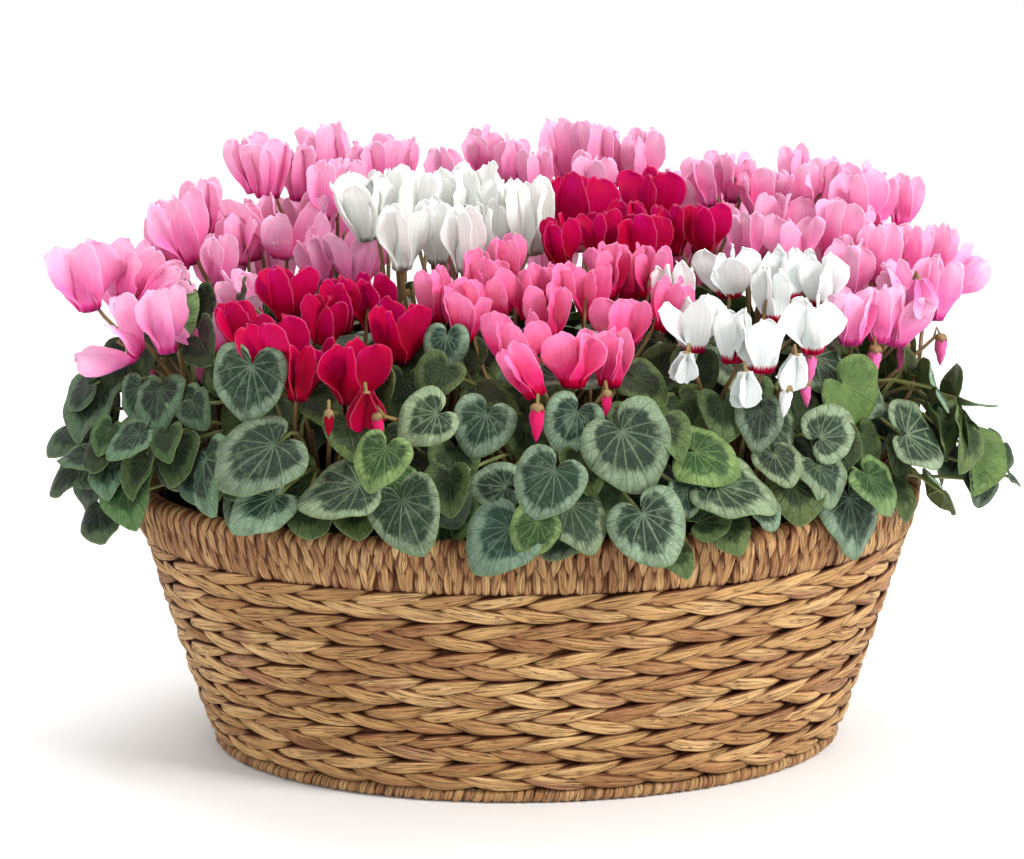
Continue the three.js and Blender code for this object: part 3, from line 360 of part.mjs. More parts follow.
  [10, 149.75, 68.29, 188.12, 0.021, 0.911, -0.411, 0.24, 0.241, 0.882, 38.1, 36.5, 0, 0.207, 0.114, 5.62, -9.93, 6, 7.6, 0.08, 4.3],
  [10, 106.71, 65.95, 207.65, 0.486, 0.669, -0.563, 0.442, 0.508, 0.85, 36.3, 37.2, 1, 0.102, 0.119, 6.24, 17.7, -4.89, 0.8, 7.56, 4.3],
  [9, 79.24, 92.29, 208.46, 0.583, 0.538, -0.61, 0.386, 0.355, 0.696, 40, 41.1, 0, 0.163, 0.154, 20.38, 3.1, -10.21, 7.09, 2.75, 2],
  [9, 52.51, 122.28, 181.04, 0.191, 0.865, -0.463, -0.051, 0.375, 0.897, 38.3, 39.3, 1, 0.181, 0.172, 7.89, 15.15, 5.01, 0.24, 7.6, 4.3],
  [8, 17.58, 97.45, 197.85, 0.51, 0.79, -0.341, -0.05, 0.349, 0.926, 43.6, 44.9, 0, 0.132, 0.159, 8.68, -4.37, 1.27, 7.39, 1.77, 2],
  [8, -49.53, 113.28, 193.45, 0.71, 0.573, -0.409, 0.058, 0.583, 0.916, 42.6, 44.1, 2, 0.119, 0.167, -6.81, 6.78, 0.01, -6.79, 3.42, 4.3],
  [7, -73.29, 108.63, 199.73, -0.95, 0.185, -0.25, -0.177, 0.295, 0.93, 38.4, 35.9, 1, 0.156, 0.051, 8.81, 4.73, 1.22, -0.11, 7.6, 4.3],
  [7, -78.47, 69.42, 210.1, -0.569, 0.579, -0.584, -0.444, 0.369, 0.811, 40.6, 42.2, 0, 0.074, 0.092, -20.41, 4.83, -1.09, -5.79, -4.93, 2],
  [6, -126.23, 70.59, 198.91, -0.187, 0.862, -0.471, -0.498, 0.314, 0.813, 34.5, 32.8, 2, 0.173, 0.116, -0.12, -2.94, 2.69, -0.93, 7.54, 2],
  [6, -164.48, 37.15, 193.45, -0.942, -0.222, -0.253, -0.485, 0.253, 0.632, 36.6, 37, 1, 0.097, 0.179, -12.92, -6.62, 6, -7.6, 0.18, 4.3],
  [6, -140.62, 21.5, 205.87, -0.723, 0.212, -0.657, -0.609, 0.287, 0.56, 44.4, 45.9, 0, 0.157, 0.108, -9.54, -6.2, 0.67, -6.11, -4.52, 2],
  [5, -150.15, -21.05, 187.72, -0.774, -0.496, -0.393, -0.322, 0.219, 0.586, 34.3, 32.7, 1, 0.103, 0.059, -1, -14.87, -11.13, -1.61, -7.43, 2],
  [2, 145.37, -52.79, 202.08, 0.923, 0.072, -0.378, 0.527, -0.468, 0.782, 38.2, 38.5, 0, 0.161, 0.127, -1.85, -13.79, 6, 7.32, 2.06, 4.3],
  [11, 155.38, -15.8, 205.51, 0.918, -0.069, -0.391, 0.472, 0.115, 0.952, 37, 35.4, 0, 0.095, 0.078, 14.01, -18.71, -2.44, 4.36, -6.22, 2],
  [10, 118.49, 28.54, 202.94, 0.995, 0.003, -0.099, 0.099, 0.05, 0.994, 35.3, 33.3, 1, 0.081, 0.056, 0, 0, 0, 2.27, -7.25, 4.3],
  [10, 96.76, 49.41, 208.56, 0.965, 0.223, -0.14, 0.107, 0.175, 1.102, 42.2, 43.3, 2, 0.072, 0.09, -8.41, -1.32, 6, -3.38, -6.81, 2],
  [9, 73.34, 70.38, 207.41, -0.754, 0.61, -0.246, 0.048, 0.424, 0.905, 41.5, 42.8, 2, 0.085, 0.095, 0, 0, 0, 6.47, -3.99, 4.3],
  [9, 29.85, 78.11, 198.97, -0.277, 0.883, -0.38, -0.032, 0.419, 0.946, 37, 38.1, 0, 0.076, 0.098, -2.61, -8.89, -0.22, -7.14, -2.6, 2],
  [8, 4.79, 81.06, 200.88, -0.12, 0.904, -0.409, 0.014, 0.461, 0.935, 33.8, 34.7, 0, 0.081, 0.053, 4.49, -6.5, 4.31, 6.87, -3.25, 4.3],
  [8, -29.34, 84.23, 206.43, -0.018, 0.908, -0.418, -0.144, 0.405, 0.866, 43.8, 40.9, 2, 0.118, 0.057, -1.06, 6.24, -0.62, -7.03, -2.88, 2],
  [7, -72.77, 56.21, 204.08, -0.749, 0.601, -0.28, -0.074, 0.282, 0.804, 44.2, 45.9, 0, 0.066, 0.174, -14.38, 4.03, 3.75, -0.92, -7.54, 2],
  [7, -91.06, 54.34, 203.99, 0.033, 0.986, -0.163, -0.212, 0.173, 0.922, 35.4, 34.2, 0, 0.193, 0.149, 10.96, -16.8, 2.33, -4.96, -5.75, 4.3],
  [6, -122.8, 23.39, 203.77, -0.922, -0.239, -0.305, -0.436, 0.211, 0.907, 33.6, 34, 4, 0.054, 0.073, 2.83, -6.72, 4.99, -0.17, -7.6, 4.3],
  [5, -124.47, -20.68, 205.93, -0.889, -0.334, -0.312, -0.319, -0.035, 0.947, 41.3, 41.5, 0, 0.061, 0.127, 0, 0, 0, 6.81, -3.38, 2],
  [0, -102.67, -26.98, 205.52, -0.691, -0.636, -0.342, -0.266, -0.099, 0.806, 43.9, 42.7, 2, 0.148, 0.092, -11.36, 2.69, 3.04, -0.7, 7.57, 2],
  [0, -101.12, -46.65, 211.35, -0.523, -0.76, -0.386, -0.116, -0.199, 0.724, 37.5, 35.5, 0, 0.13, 0.172, 12.07, 5.41, 3.94, 4.41, 6.19, 4.3],
  [1, 19.79, -87.08, 206.88, 0.966, -0.248, -0.074, -0.078, 0.005, 1.012, 41.8, 42.7, 0, 0.135, 0.151, 1.73, -6.48, 6, 6.4, -4.1, 4.3],
  [2, 92.89, -61.49, 208.76, 0.342, -0.92, -0.19, 0.133, -0.171, 0.895, 44.4, 40, 0, 0.201, 0.156, -9.41, -3.82, -8.11, -7.52, -1.11, 2],
  [2, 105.02, -27.19, 208.87, 0.224, -0.941, -0.254, 0.247, -0.137, 0.998, 41.3, 38.5, 0, 0.062, 0.101, 9.93, 2.22, 2.97, 1.69, 7.41, 4.3],
  [2, 134.3, -28.11, 200.64, 0.99, 0.053, -0.132, 0.131, 0.014, 0.991, 35.5, 33.4, 4, 0.207, 0.165, 0, 0, 0, 6.05, 4.6, 2],
  [4, 83.64, 26.07, 205.06, -0.313, 0.933, -0.178, 0.186, 0.244, 0.952, 30.5, 30.1, 0, 0.182, 0.118, 0, 0, 0, 7.02, 2.92, 4.3],
  [4, 46.17, 56.09, 201.68, 0.419, 0.907, -0.038, 0.03, 0.039, 1.03, 32.7, 33.5, 0, 0.052, 0.145, -0.1, 2.63, 2.5, 0.27, 7.6, 2],
  [8, 14.01, 60.86, 200.4, -0.185, 0.947, -0.263, 0.064, 0.279, 0.958, 30.4, 28.1, 0, 0.163, 0.168, 0, 0, 0, 4.87, -5.83, 2],
  [8, -25.46, 57.21, 207.66, 0.078, 0.983, -0.163, 0.018, 0.163, 0.987, 38.5, 39.4, 0, 0.059, 0.13, 0, 0, 0, -2.74, -7.09, 4.3],
  [3, -62.01, 46.6, 199.08, -0.529, 0.848, 0.028, 0.013, -0.024, 1, 33.9, 30.7, 2, 0.109, 0.107, 0, 0, 0, -2.02, 7.33, 2],
  [3, -84.71, 19.49, 204.82, -0.728, 0.636, -0.256, -0.308, 0.03, 0.951, 30.2, 30.3, 0, 0.171, 0.105, 0, 0, 0, -6.86, 3.26, 2],
  [3, -84.35, -7.47, 199.63, -0.96, -0.211, -0.185, -0.171, -0.081, 0.982, 38, 36.8, 0, 0.215, 0.17, 0, 0, 0, -7.27, -2.22, 2],
  [3, -68.17, -34.88, 200.31, -0.979, -0.117, -0.166, -0.156, -0.09, 0.984, 36.9, 36.5, 2, 0.071, 0.146, 0, 0, 0, -3.29, -6.85, 4.3],
  [1, -27.72, -56.19, 203.07, 0.07, -0.947, -0.314, -0.201, -0.359, 0.965, 34, 31.9, 4, 0.177, 0.107, -3.49, -9.1, 1, -6.41, 4.08, 2],
  [1, 8.74, -55.05, 198.66, -0.732, -0.676, -0.088, -0.11, -0.266, 1.001, 34.5, 34.5, 2, 0.129, 0.159, 5.11, 8.44, 6, -1.58, 7.43, 2],
  [1, 46.23, -57.18, 203.97, 0.542, -0.831, -0.129, 0.03, -0.126, 0.947, 35.8, 36.6, 0, 0.135, 0.099, 5.87, -2.62, 1.76, 7.26, 2.24, 4.3],
  [2, 72.19, -38.67, 203.81, -0.198, -0.979, -0.041, 0.024, -0.046, 0.999, 31.6, 28.6, 0, 0.142, 0.056, 0, 0, 0, -5.8, 4.91, 2],
  [4, 91.65, 2.69, 205.8, 0.974, 0.147, -0.174, 0.173, 0.022, 0.985, 32.3, 30.2, 1, 0.206, 0.119, 0, 0, 0, 7.51, -1.18, 2],
  [4, 41.07, 23.19, 204.36, -0.047, 0.992, -0.121, 0.186, 0.092, 1.041, 28.8, 27.9, 2, 0.127, 0.087, 6.08, 3.9, 5.38, -1.71, 7.4, 4.3],
  [4, 1.83, 36.18, 207.34, -0.481, 0.843, -0.239, 0.083, 0.316, 0.945, 29.8, 28.5, 0, 0.058, 0.057, 0, 0, 0, -6.5, 3.94, 2],
  [3, -20.73, 36.13, 204.14, -0.788, 0.614, -0.048, -0.031, 0.037, 0.999, 31.4, 28.8, 0, 0.105, 0.12, 0, 0, 0, 5.03, 5.7, 4.3],
  [3, -53.37, 7.43, 204.16, -0.782, 0.623, 0.041, 0.105, -0.038, 0.937, 30, 29.5, 0, 0.106, 0.083, -11.73, 3.19, 1.03, -4.37, 6.22, 4.3],
  [3, -39.89, -22.44, 208.22, -0.228, -0.973, 0.029, 0.086, -0.026, 0.935, 38, 35.4, 1, 0.156, 0.074, 2.2, -8.19, -3.01, 2.83, -7.06, 2],
  [1, -5.22, -38.33, 199.79, -0.793, -0.6, -0.1, 0.049, -0.187, 0.921, 30.6, 29.5, 0, 0.13, 0.122, -5.8, 0.46, 6, -2.6, 7.14, 4.3],
  [4, 24.11, -31.82, 200.18, 0.199, -0.97, -0.143, 0.051, -0.135, 0.99, 28.9, 27.1, 0, 0.059, 0.176, 0, 0, 0, -3.4, -6.8, 2],
  [4, 53.62, -8.82, 202.39, 0.697, -0.711, -0.095, 0.054, 0.031, 1.073, 29.4, 26.7, 4, 0.178, 0.167, -2.9, -7.46, -4.11, 2.99, -6.99, 4.3],
  [4, -1.77, 12.34, 207.88, 0.19, 0.937, -0.294, -0.01, 0.301, 0.954, 29.2, 29.9, 0, 0.069, 0.074, 0, 0, 0, -7.59, 0.38, 4.3],
  [5, -213.29, 0.65, 179.72, -0.301, -0.772, -0.56, -0.651, -0.228, 0.954, 24, 22, 0, 0.158, 0.139, -4.17, 2.35, -4.19, -7.42, 1.64, 4.3],
  [5, -231.05, -1.77, 160.34, -0.752, -0.393, -0.53, -0.284, -0.382, 1.103, 25.3, 26.2, 2, 0.146, 0.165, -9.32, 5.49, 3.5, -7.3, -2.1, 2],
  [0, -164.5, -57.31, 180.77, 0.348, -0.792, -0.502, -0.332, -0.374, 0.834, 24, 23, 0, 0.127, 0.085, 6.44, 7.98, 6.35, -6.62, 3.74, 4.3],
  [0, -173.47, -54.97, 158.16, -0.105, -0.787, -0.608, -0.597, -0.713, 0.94, 24, 22, 0, 0.146, 0.126, 8.92, 9.16, 8.87, -6.97, -3.02, 2],
  [0, -138.46, -100.95, 173.28, -0.3, -0.776, -0.556, -0.076, -0.36, 0.615, 24, 22, 2, 0.067, 0.07, -6.17, -10.27, -1.23, -7.06, -2.81, 2],
  [5, -177.89, 19.46, 222.55, -0.032, -0.694, -0.72, -1.078, -0.43, 0.652, 26, 27.6, 4, 0.195, 0.08, -8.86, 10.34, 8.52, -3.53, 6.73, 2],
  [0, -141.64, -33.82, 229.72, -0.037, -0.799, -0.6, -0.747, -0.219, 0.366, 24, 22, 4, 0.178, 0.073, -3.31, -1.9, 10.9, -5.04, 5.69, 2],
  [0, -64.26, -91.58, 198.95, -0.188, -0.573, -0.798, -0.15, -0.608, 0.487, 24.6, 24.2, 4, 0.176, 0.059, 6.83, 0.15, -4.18, 7.14, -2.59, 4.3],
  [0, -59.5, -67.7, 211.98, 0.133, -0.591, -0.795, -0.133, -0.625, 0.41, 24, 22, 4, 0.15, 0.157, 4.23, 2.93, 9.34, 7.58, -0.53, 2],
  [2, 74.62, -86.08, 204.93, -0.023, -0.492, -0.87, 0.239, -0.735, 0.243, 24, 22, 4, 0.183, 0.154, -8.89, -8.81, 7.04, -2.15, -7.29, 2],
  [2, 103.15, -106.95, 186.69, -0.021, -0.454, -0.891, 0.376, -0.988, 0.401, 24, 22, 0, 0.173, 0.168, 0.96, -4.7, -4.42, -0.84, -7.55, 4.3],
  [11, 126.39, -72.78, 176.52, 0.148, -0.457, -0.877, 0.007, -0.712, 0.358, 24, 22.5, 4, 0.152, 0.075, 2.56, 7.03, -4.3, 0.31, -7.59, 2],
  [0, -76.28, -90.68, 201.49, -0.5, -0.064, -0.863, -0.652, -0.594, 0.079, 24, 22, 4, 0.166, 0.165, -2.69, -5.97, 9.63, 6.82, -3.36, 2],
  [5, -112.75, -72.86, 209.56, -0.501, -0.443, -0.743, -0.202, -0.769, 0.524, 24.7, 24.3, 4, 0.135, 0.105, -1.8, 1.06, 0.37, 4.36, -6.22, 2],
  [5, -159.2, -47.72, 214.38, 0.311, -0.85, -0.425, -0.878, -0.619, 0.819, 24, 22, 4, 0.105, 0.162, -8.47, -1.76, 5.41, -4.71, -5.97, 2],
  [5, -205.42, -10.93, 196.55, -0.491, 0.011, -0.871, -0.436, -0.951, 0.638, 24, 22, 4, 0.086, 0.163, -1.98, -10.36, 1.82, -7.14, 2.6, 4.3],
  [5, -223.89, -7.1, 183.65, -0.71, 0.458, -0.534, -0.586, -0.355, 0.476, 24, 22, 0, 0.097, 0.16, 3.4, 9.12, 12.51, -7.6, -0.02, 4.3],
  [5, -210.74, -44.76, 162.59, -0.322, -0.687, -0.652, -0.735, -0.633, 0.851, 24, 22, 4, 0.055, 0.06, -2.25, 1.19, 8.55, -4.94, -5.78, 4.3],
  [5, -229.7, -15.65, 142.9, -0.773, -0.2, -0.602, -0.385, -0.388, 0.75, 24, 23.5, 0, 0.069, 0.052, 0.43, 8.23, -6.79, -7.56, 0.74, 2],
  [2, 169.58, -47.32, 167.62, 0.316, -0.418, -0.852, 0.468, -0.974, 0.269, 24, 22, 0, 0.176, 0.118, -3.53, -3.68, -6.41, 7.21, 2.39, 2],
  [11, 204.12, -21.02, 157.45, 0.579, 0.28, -0.766, 0.522, -0.453, 0.356, 24, 22, 4, 0.073, 0.108, -5.21, -5.5, 7.07, 7.14, -2.61, 2],
  [11, 217.99, -7.61, 166.92, 0.865, 0.303, -0.4, 0.501, -0.079, 0.621, 26.6, 29.8, 4, 0.117, 0.095, 0.29, 10.51, 6.49, 7.14, 2.61, 4.3],
  [2, 181.5, -49.81, 155.57, 0.335, -0.078, -0.939, 0.698, -0.976, 0.327, 24, 22, 4, 0.193, 0.16, -6.74, -10.07, 11.02, 7.37, 1.86, 4.3],
  [2, 141.38, -88.48, 167.25, 0.156, -0.355, -0.922, 0.419, -0.777, 0.348, 24, 22, 4, 0.102, 0.134, 3.71, -4.53, 5.51, 4.67, -6, 4.3],
  [2, 122.11, -85.71, 160.85, 0.492, -0.101, -0.865, -0.02, -0.808, 0.428, 24, 22, 0, 0.104, 0.163, 0.01, -8.67, 10.86, 6.03, -4.63, 2],
  [0, -201.75, -32.51, 145.23, 0.388, -0.834, -0.392, -0.682, -0.316, 0.473, 24, 23.4, 1, 0.103, 0.169, -10.96, -2.69, 11.06, -6.4, 4.09, 2],
  [11, 144.52, -61.84, 166.2, 0.333, -0.495, -0.802, 0.401, -0.48, 0.594, 24, 22, 0, 0.111, 0.055, 3.46, 7.31, -6.03, -2.68, -7.11, 4.3],
  [0, -212.54, -34.16, 126.08, -0.012, -0.922, -0.386, -0.452, -0.392, 0.825, 25.7, 23.7, 0, 0.185, 0.157, -10.63, -8, -0.92, -7.6, -0.12, 2],
  [2, 8.06, -138.57, 142.67, -0.64, -0.463, -0.613, -0.087, -0.645, 0.69, 24.7, 24.3, 0, 0.085, 0.167, -1.17, 0.21, 1.12, -6, -4.67, 2],
  [0, -34.06, -54.66, 216.22, 0.614, -0.655, -0.441, -0.039, -0.822, 0.462, 24, 22.2, 2, 0.135, 0.118, 9.9, 0.08, 2.92, 6.42, 4.07, 2],
  [0, -44.17, -115.71, 152.77, 0.458, -0.407, -0.791, -0.032, -0.793, 0.527, 24.7, 24.3, 0, 0.102, 0.093, -2.36, -2.51, -1.64, 6.58, -3.8, 2],
  [2, 38.2, -114.89, 173.25, 0.097, -0.688, -0.719, -0.004, -0.669, 0.976, 24, 23.4, 0, 0.077, 0.088, 0.01, 8.85, 7.26, -7.1, -2.72, 2],
  [2, 45.99, -92.75, 146.02, 0.638, -0.182, -0.748, 0.243, -1.1, 0.068, 24, 23.3, 2, 0.137, 0.07, -3.38, 7.55, -5.8, -5.86, -4.84, 4.3],
  [2, 65.8, -114.53, 159.93, 0.343, -0.549, -0.762, -0.182, -0.62, 0.532, 24.4, 24, 0, 0.087, 0.158, -7.54, -9.42, 6.31, -4.93, -5.79, 2],
  [5, -147.77, -70.46, 160.79, -0.728, -0.322, -0.605, -0.035, -0.619, 0.457, 24, 22, 1, 0.124, 0.056, 5.17, 3.63, -6.72, 1.92, -7.35, 4.3],
  [5, -162.93, 7.63, 218.91, -0.525, -0.006, -0.851, -1.027, -0.313, 0.631, 25.4, 27.2, 1, 0.146, 0.166, 2, 7.11, -4.7, -5.54, 5.21, 2],
  [0, -137.89, -95, 148.12, -0.626, -0.348, -0.698, -0.384, -0.787, 0.716, 24.4, 24, 2, 0.107, 0.082, -5.73, -1.4, -3.49, -5.69, -5.04, 2],
  [2, 43.48, -64.61, 214.33, -0.852, -0.318, -0.417, -0.075, -0.765, 0.459, 24.6, 24.5, 0, 0.072, 0.163, -2.71, -3.21, -0.42, -7.12, 2.67, 2],
  [0, -48.01, -96.5, 168.82, 0.783, -0.354, -0.511, -0.158, -0.756, 0.833, 24, 23.6, 4, 0.129, 0.163, 6.09, -9.38, 4.78, 7.41, -1.7, 2],
  [2, 99.03, -50.88, 190.38, 0.665, 0.057, -0.745, 0.376, -0.841, 0.095, 24, 22.4, 0, 0.059, 0.084, -7.07, 10.99, -8.16, 0.61, 7.58, 4.3],
  [5, -160.23, -82.78, 157.23, 0.393, -0.778, -0.491, -0.686, -0.511, 0.504, 25.3, 24.5, 2, 0.196, 0.119, 1.55, 0.96, -2.44, 1.11, -7.52, 2],
  [0, -39.18, -69.55, 212.41, -0.498, -0.392, -0.773, 0.2, -0.726, 0.234, 24.3, 23.9, 4, 0.104, 0.052, 5.47, -1.46, 8.85, 7.38, 1.83, 2],
  [2, 250.78, -0.32, 130.63, 0.667, 0.418, -0.616, 0.684, -0.142, 0.814, 25.3, 26.2, 2, 0.135, 0.138, -7.81, -7.74, 10.72, 4.84, 5.86, 2],
  [3, -104.97, -55.77, 184.87, 0.321, -0.732, -0.601, -0.543, -0.71, 0.229, 24, 22.7, 1, 0.128, 0.167, 7.29, -1.92, 6.31, -5.87, -4.83, 2],
  [2, 141.95, -57.31, 183.79, -0.732, -0.613, -0.296, 0.487, -0.698, 0.577, 27.8, 25.9, 4, 0.108, 0.169, -5.52, -4.79, 3.36, 6.85, 3.29, 2],
  [0, -44.25, -47.47, 217.45, 0.307, -0.41, -0.859, -0.159, -1.148, 0.436, 24.1, 23.7, 0, 0.055, 0.135, -10.14, 7.68, 8.56, 7.58, 0.48, 4.3],
  [11, 157.55, -53.48, 151.82, 0.668, -0.205, -0.715, 0.722, -0.837, 0.882, 24, 24.5, 2, 0.077, 0.161, 5.58, -10.12, -0.39, -1.19, -7.51, 2],
  [5, -214.62, 18.72, 171.11, 0.265, -0.946, -0.185, -0.494, -0.537, 0.804, 28, 24.1, 4, 0.115, 0.152, -0.24, 6.42, 7.27, -6.17, 4.44, 4.3],
  [6, -223.8, -1.4, 144.49, 0.393, -0.884, -0.253, -0.673, -0.409, 0.668, 26.8, 22.5, 2, 0.173, 0.078, -6.98, 9.72, 4.43, -7.18, -2.49, 2],
  [2, 215.31, -9.93, 145.5, -0.297, -0.785, -0.544, 0.39, -0.54, 0.564, 24, 22, 0, 0.09, 0.119, -1.06, -3.97, 1.98, 4.68, 5.99, 4.3],
  [10, 240.82, 1.21, 145.39, -0.38, -0.867, -0.323, 0.624, -0.458, 0.612, 33.8, 28.4, 1, 0.061, 0.073, -2.45, 0.58, 2.56, 7.6, 0.02, 2],
  [0, -67.18, -126.53, 151.56, -0.076, -0.659, -0.748, -0.175, -0.71, 0.696, 24.7, 24.3, 0, 0.156, 0.091, 4.23, -0.18, 1.01, 5.32, -5.43, 2],
  [2, 227.19, -22.85, 132.66, 0.223, -0.642, -0.733, 0.658, -0.671, 0.59, 24.7, 28, 0, 0.106, 0.118, -10.36, -9.76, -8.18, 5.83, 4.88, 2],
  [6, -220.45, -1.89, 133.31, -0.395, -0.163, -0.904, -0.749, -0.717, 0.37, 25.5, 26.4, 2, 0.125, 0.116, 1.9, 5.72, 3.41, -7.4, -1.75, 4.3],
  [11, 183.18, 53.97, 193.05, 0.806, -0.216, -0.55, 0.631, 0.34, 0.505, 30.7, 28.8, 0, 0.099, 0.137, 10.56, 10.45, -3.43, 2.38, 7.22, 2],
  [9, 39.51, 133.56, 144.82, 0.005, 0.231, -0.973, 0.027, 0.978, 0.446, 30, 28.4, 0, 0.141, 0.129, -7.81, 10.81, -5.38, -3.75, 6.61, 2],
  [9, 94.97, 128.02, 158.12, -0.551, 0.583, -0.597, 0.408, 0.518, 0.198, 31.9, 28.8, 0, 0.156, 0.069, -8.98, 1.39, 6.76, 6.39, 4.12, 4.3],
  [5, -207.84, 17.63, 154.6, -0.244, 0.571, -0.784, -0.559, 0.35, 0.829, 31.8, 30.3, 1, 0.171, 0.063, -9.34, 8.99, 5.3, -5.48, 5.27, 2],
  [8, -3.45, 141.99, 169.58, 0.421, 0.439, -0.793, -0.051, 0.748, 0.634, 36, 34.3, 2, 0.109, 0.165, 5.29, 5.68, 1.93, 4.74, 5.94, 2],
  [7, -147.93, 89.17, 180.62, -0.59, 0.32, -0.741, -0.306, 0.649, 0.59, 29.6, 29.2, 0, 0.065, 0.157, -9.19, -0.42, -8.23, -7.01, -2.93, 2],
  [7, -24.09, 147.97, 148.62, 0.002, 0.38, -0.925, 0.073, 0.703, 0.37, 30.3, 29.1, 2, 0.121, 0.11, 6.35, 1.47, 12.06, 5.68, 5.05, 2],
  [8, -80.81, 125.84, 139.36, 0.223, 0.416, -0.882, -0.275, 0.902, 0.679, 35.3, 32, 0, 0.163, 0.098, -3.36, -1.89, 1.64, -5.03, 5.7, 2],
  [7, -104.97, 124.82, 144.5, -0.842, -0.263, -0.472, -0.494, 0.729, 0.548, 37.6, 35.2, 0, 0.11, 0.151, 2.94, -2.94, 1.29, -1.92, 7.35, 4.3],
  [6, -119.19, 68.83, 184.41, -0.92, -0.186, -0.344, -0.265, 0.739, 0.626, 31.5, 32.2, 0, 0.137, 0.065, 5.09, -1.28, 8.96, 1.55, 7.44, 2],
  [9, 9.2, 134.73, 147.04, 0.62, 0.204, -0.758, -0.025, 0.865, 0.495, 29.4, 26.6, 1, 0.183, 0.062, -4.07, -7.29, 8.5, -6.79, 3.41, 2],
  [10, 123.03, 115.11, 142.58, -0.313, 0.637, -0.704, 0.353, 0.787, 0.527, 38.5, 38.8, 0, 0.148, 0.103, -2.89, -0.97, -2.35, -1.55, 7.44, 2],
  [9, 153.77, 96.41, 151.06, -0.388, 0.738, -0.553, 0.57, 0.36, 0.795, 37, 37.2, 4, 0.198, 0.137, 7.83, 1.39, 12.42, 7.55, 0.91, 4.3],
  [5, -184.06, 78.92, 174.38, 0.185, 0.683, -0.707, -1.067, 0.588, 0.194, 27.5, 27.2, 1, 0.097, 0.157, 4.8, 7.14, -6.01, -2.38, 7.22, 4.3],
  [10, 194.57, 58.41, 155.77, 0.67, -0.394, -0.629, 0.807, 0.346, 0.584, 39.8, 41, 1, 0.196, 0.086, -1.72, -0.94, 2.37, 6.76, -3.47, 2],
  [6, -133.73, 106.92, 155.33, -0.668, -0.109, -0.737, -0.49, 0.829, 0.607, 24, 22, 1, 0.162, 0.102, 10.69, -7, 2.81, -0.63, 7.57, 2],
  [9, 24.6, 124.26, 168.12, -0.395, 0.808, -0.436, 0.052, 0.445, 0.875, 29.8, 27.3, 2, 0.09, 0.094, -9.41, -6.45, 3.94, -5.13, 5.61, 2],
  [7, -166.24, 97.9, 147.66, -0.816, -0.029, -0.578, -0.418, 0.905, 0.177, 33.2, 33.9, 0, 0.127, 0.079, -6.02, 3.55, 1.24, -7.56, 0.79, 2],
  [3, -58.57, 45.78, 186.8, -0.2, 0.922, -0.332, -0.155, 0.341, 0.865, 35.7, 36.9, 0, 0.064, 0.12, 0.08, 3.49, -0.88, -0.38, 7.59, 2],
  [11, 119.75, -9.2, 167.68, 0.902, -0.125, -0.414, 0.368, 0.079, 0.876, 35.3, 34.6, 0, 0.059, 0.054, -0.3, 2.88, -0.76, -6.95, -3.07, 2],
  [8, -35.58, 82.34, 170.17, 0.302, 0.802, -0.515, -0.508, 0.537, 1.054, 32.7, 32.1, 2, 0.084, 0.147, 6.39, 3.85, -2.53, -6.48, -3.97, 2],
  [0, -113.56, -31.99, 169.55, -0.441, -0.578, -0.687, -0.398, -0.511, 0.67, 34, 31.9, 0, 0.173, 0.148, -3.34, 4.38, 3.21, -2.71, 7.1, 4.3],
  [4, 60.92, 52.17, 189.46, -0.548, 0.795, -0.261, 0.274, 0.407, 0.806, 34.6, 34.3, 1, 0.064, 0.073, -1.26, 0.09, 1.21, 1.43, 7.46, 4.3],
  [6, -97.83, 63.12, 192.33, -0.82, 0.523, -0.232, -0.169, 0.566, 1.006, 31.8, 29.9, 0, 0.087, 0.155, 9.44, 5.83, 11.08, 6.43, 4.05, 4.3],
  [2, 79.05, -30.32, 189.36, 0.714, -0.504, -0.485, 0.21, -0.429, 0.851, 38.1, 35.4, 2, 0.102, 0.158, 0.44, -2.17, 0.07, -2.54, 7.16, 4.3],
  [3, -15.34, 42.11, 184.18, 0.14, 0.983, -0.12, -0.027, 0.193, 0.964, 34.4, 35.4, 0, 0.155, 0.104, 1.08, 2.17, -2.22, 2.99, 6.99, 2],
  [11, 128.9, 10.22, 194.53, 0.564, 0.748, -0.348, 0.292, 0.203, 0.934, 38.4, 38.8, 0, 0.172, 0.122, -1.83, -2.91, 4.58, -7.57, 0.63, 2],
  [9, 20.74, 120.81, 163.17, 0.792, 0.432, -0.432, 0.33, 0.378, 0.902, 30.4, 28.9, 2, 0.129, 0.087, -2.06, -3.71, 0.23, -4.4, 6.2, 4.3],
  [10, 98.97, 53.15, 186.08, 0.629, 0.351, -0.694, 0.78, 0.564, 0.464, 34.3, 32.9, 0, 0.132, 0.122, -10.06, -0.23, 2.38, -7.03, -2.89, 4.3],
  [3, -96.88, -10.32, 179.12, -0.99, -0.07, -0.121, -0.072, -0.039, 0.93, 33.4, 34.3, 2, 0.081, 0.069, 2.55, 1.26, 0.26, -6.62, -3.73, 2],
  [9, 73, 71.38, 168.86, -0.222, 0.908, -0.355, 0.099, 0.572, 0.924, 28.5, 27.8, 2, 0.192, 0.105, -9.26, 3.13, -5.68, 5.91, -4.77, 2],
  [4, 8.75, 19.84, 190.16, 0.647, 0.674, -0.357, 0.062, 0.122, 0.787, 31.2, 30.5, 0, 0.092, 0.148, 4.04, -10.28, 1.26, -7.41, -1.7, 4.3],
  [4, 95.91, -5.85, 175.8, 0.917, 0.179, -0.357, 0.293, 0.032, 0.976, 32.4, 33.2, 4, 0.136, 0.087, -1.17, -2.69, 2.25, 6.96, -3.06, 4.3],
  [8, -16.84, 60.52, 183.67, -0.729, 0.622, -0.285, -0.006, 0.426, 0.889, 33.4, 31.6, 0, 0.082, 0.073, -0.91, 1.39, -3.78, 0.2, -7.6, 2],
  [5, -126.59, -2.91, 168.75, -0.844, 0.427, -0.324, -0.389, -0.194, 0.925, 37.3, 38.4, 2, 0.153, 0.057, -1.3, -0.27, -0.73, 6.82, 3.35, 2],
];

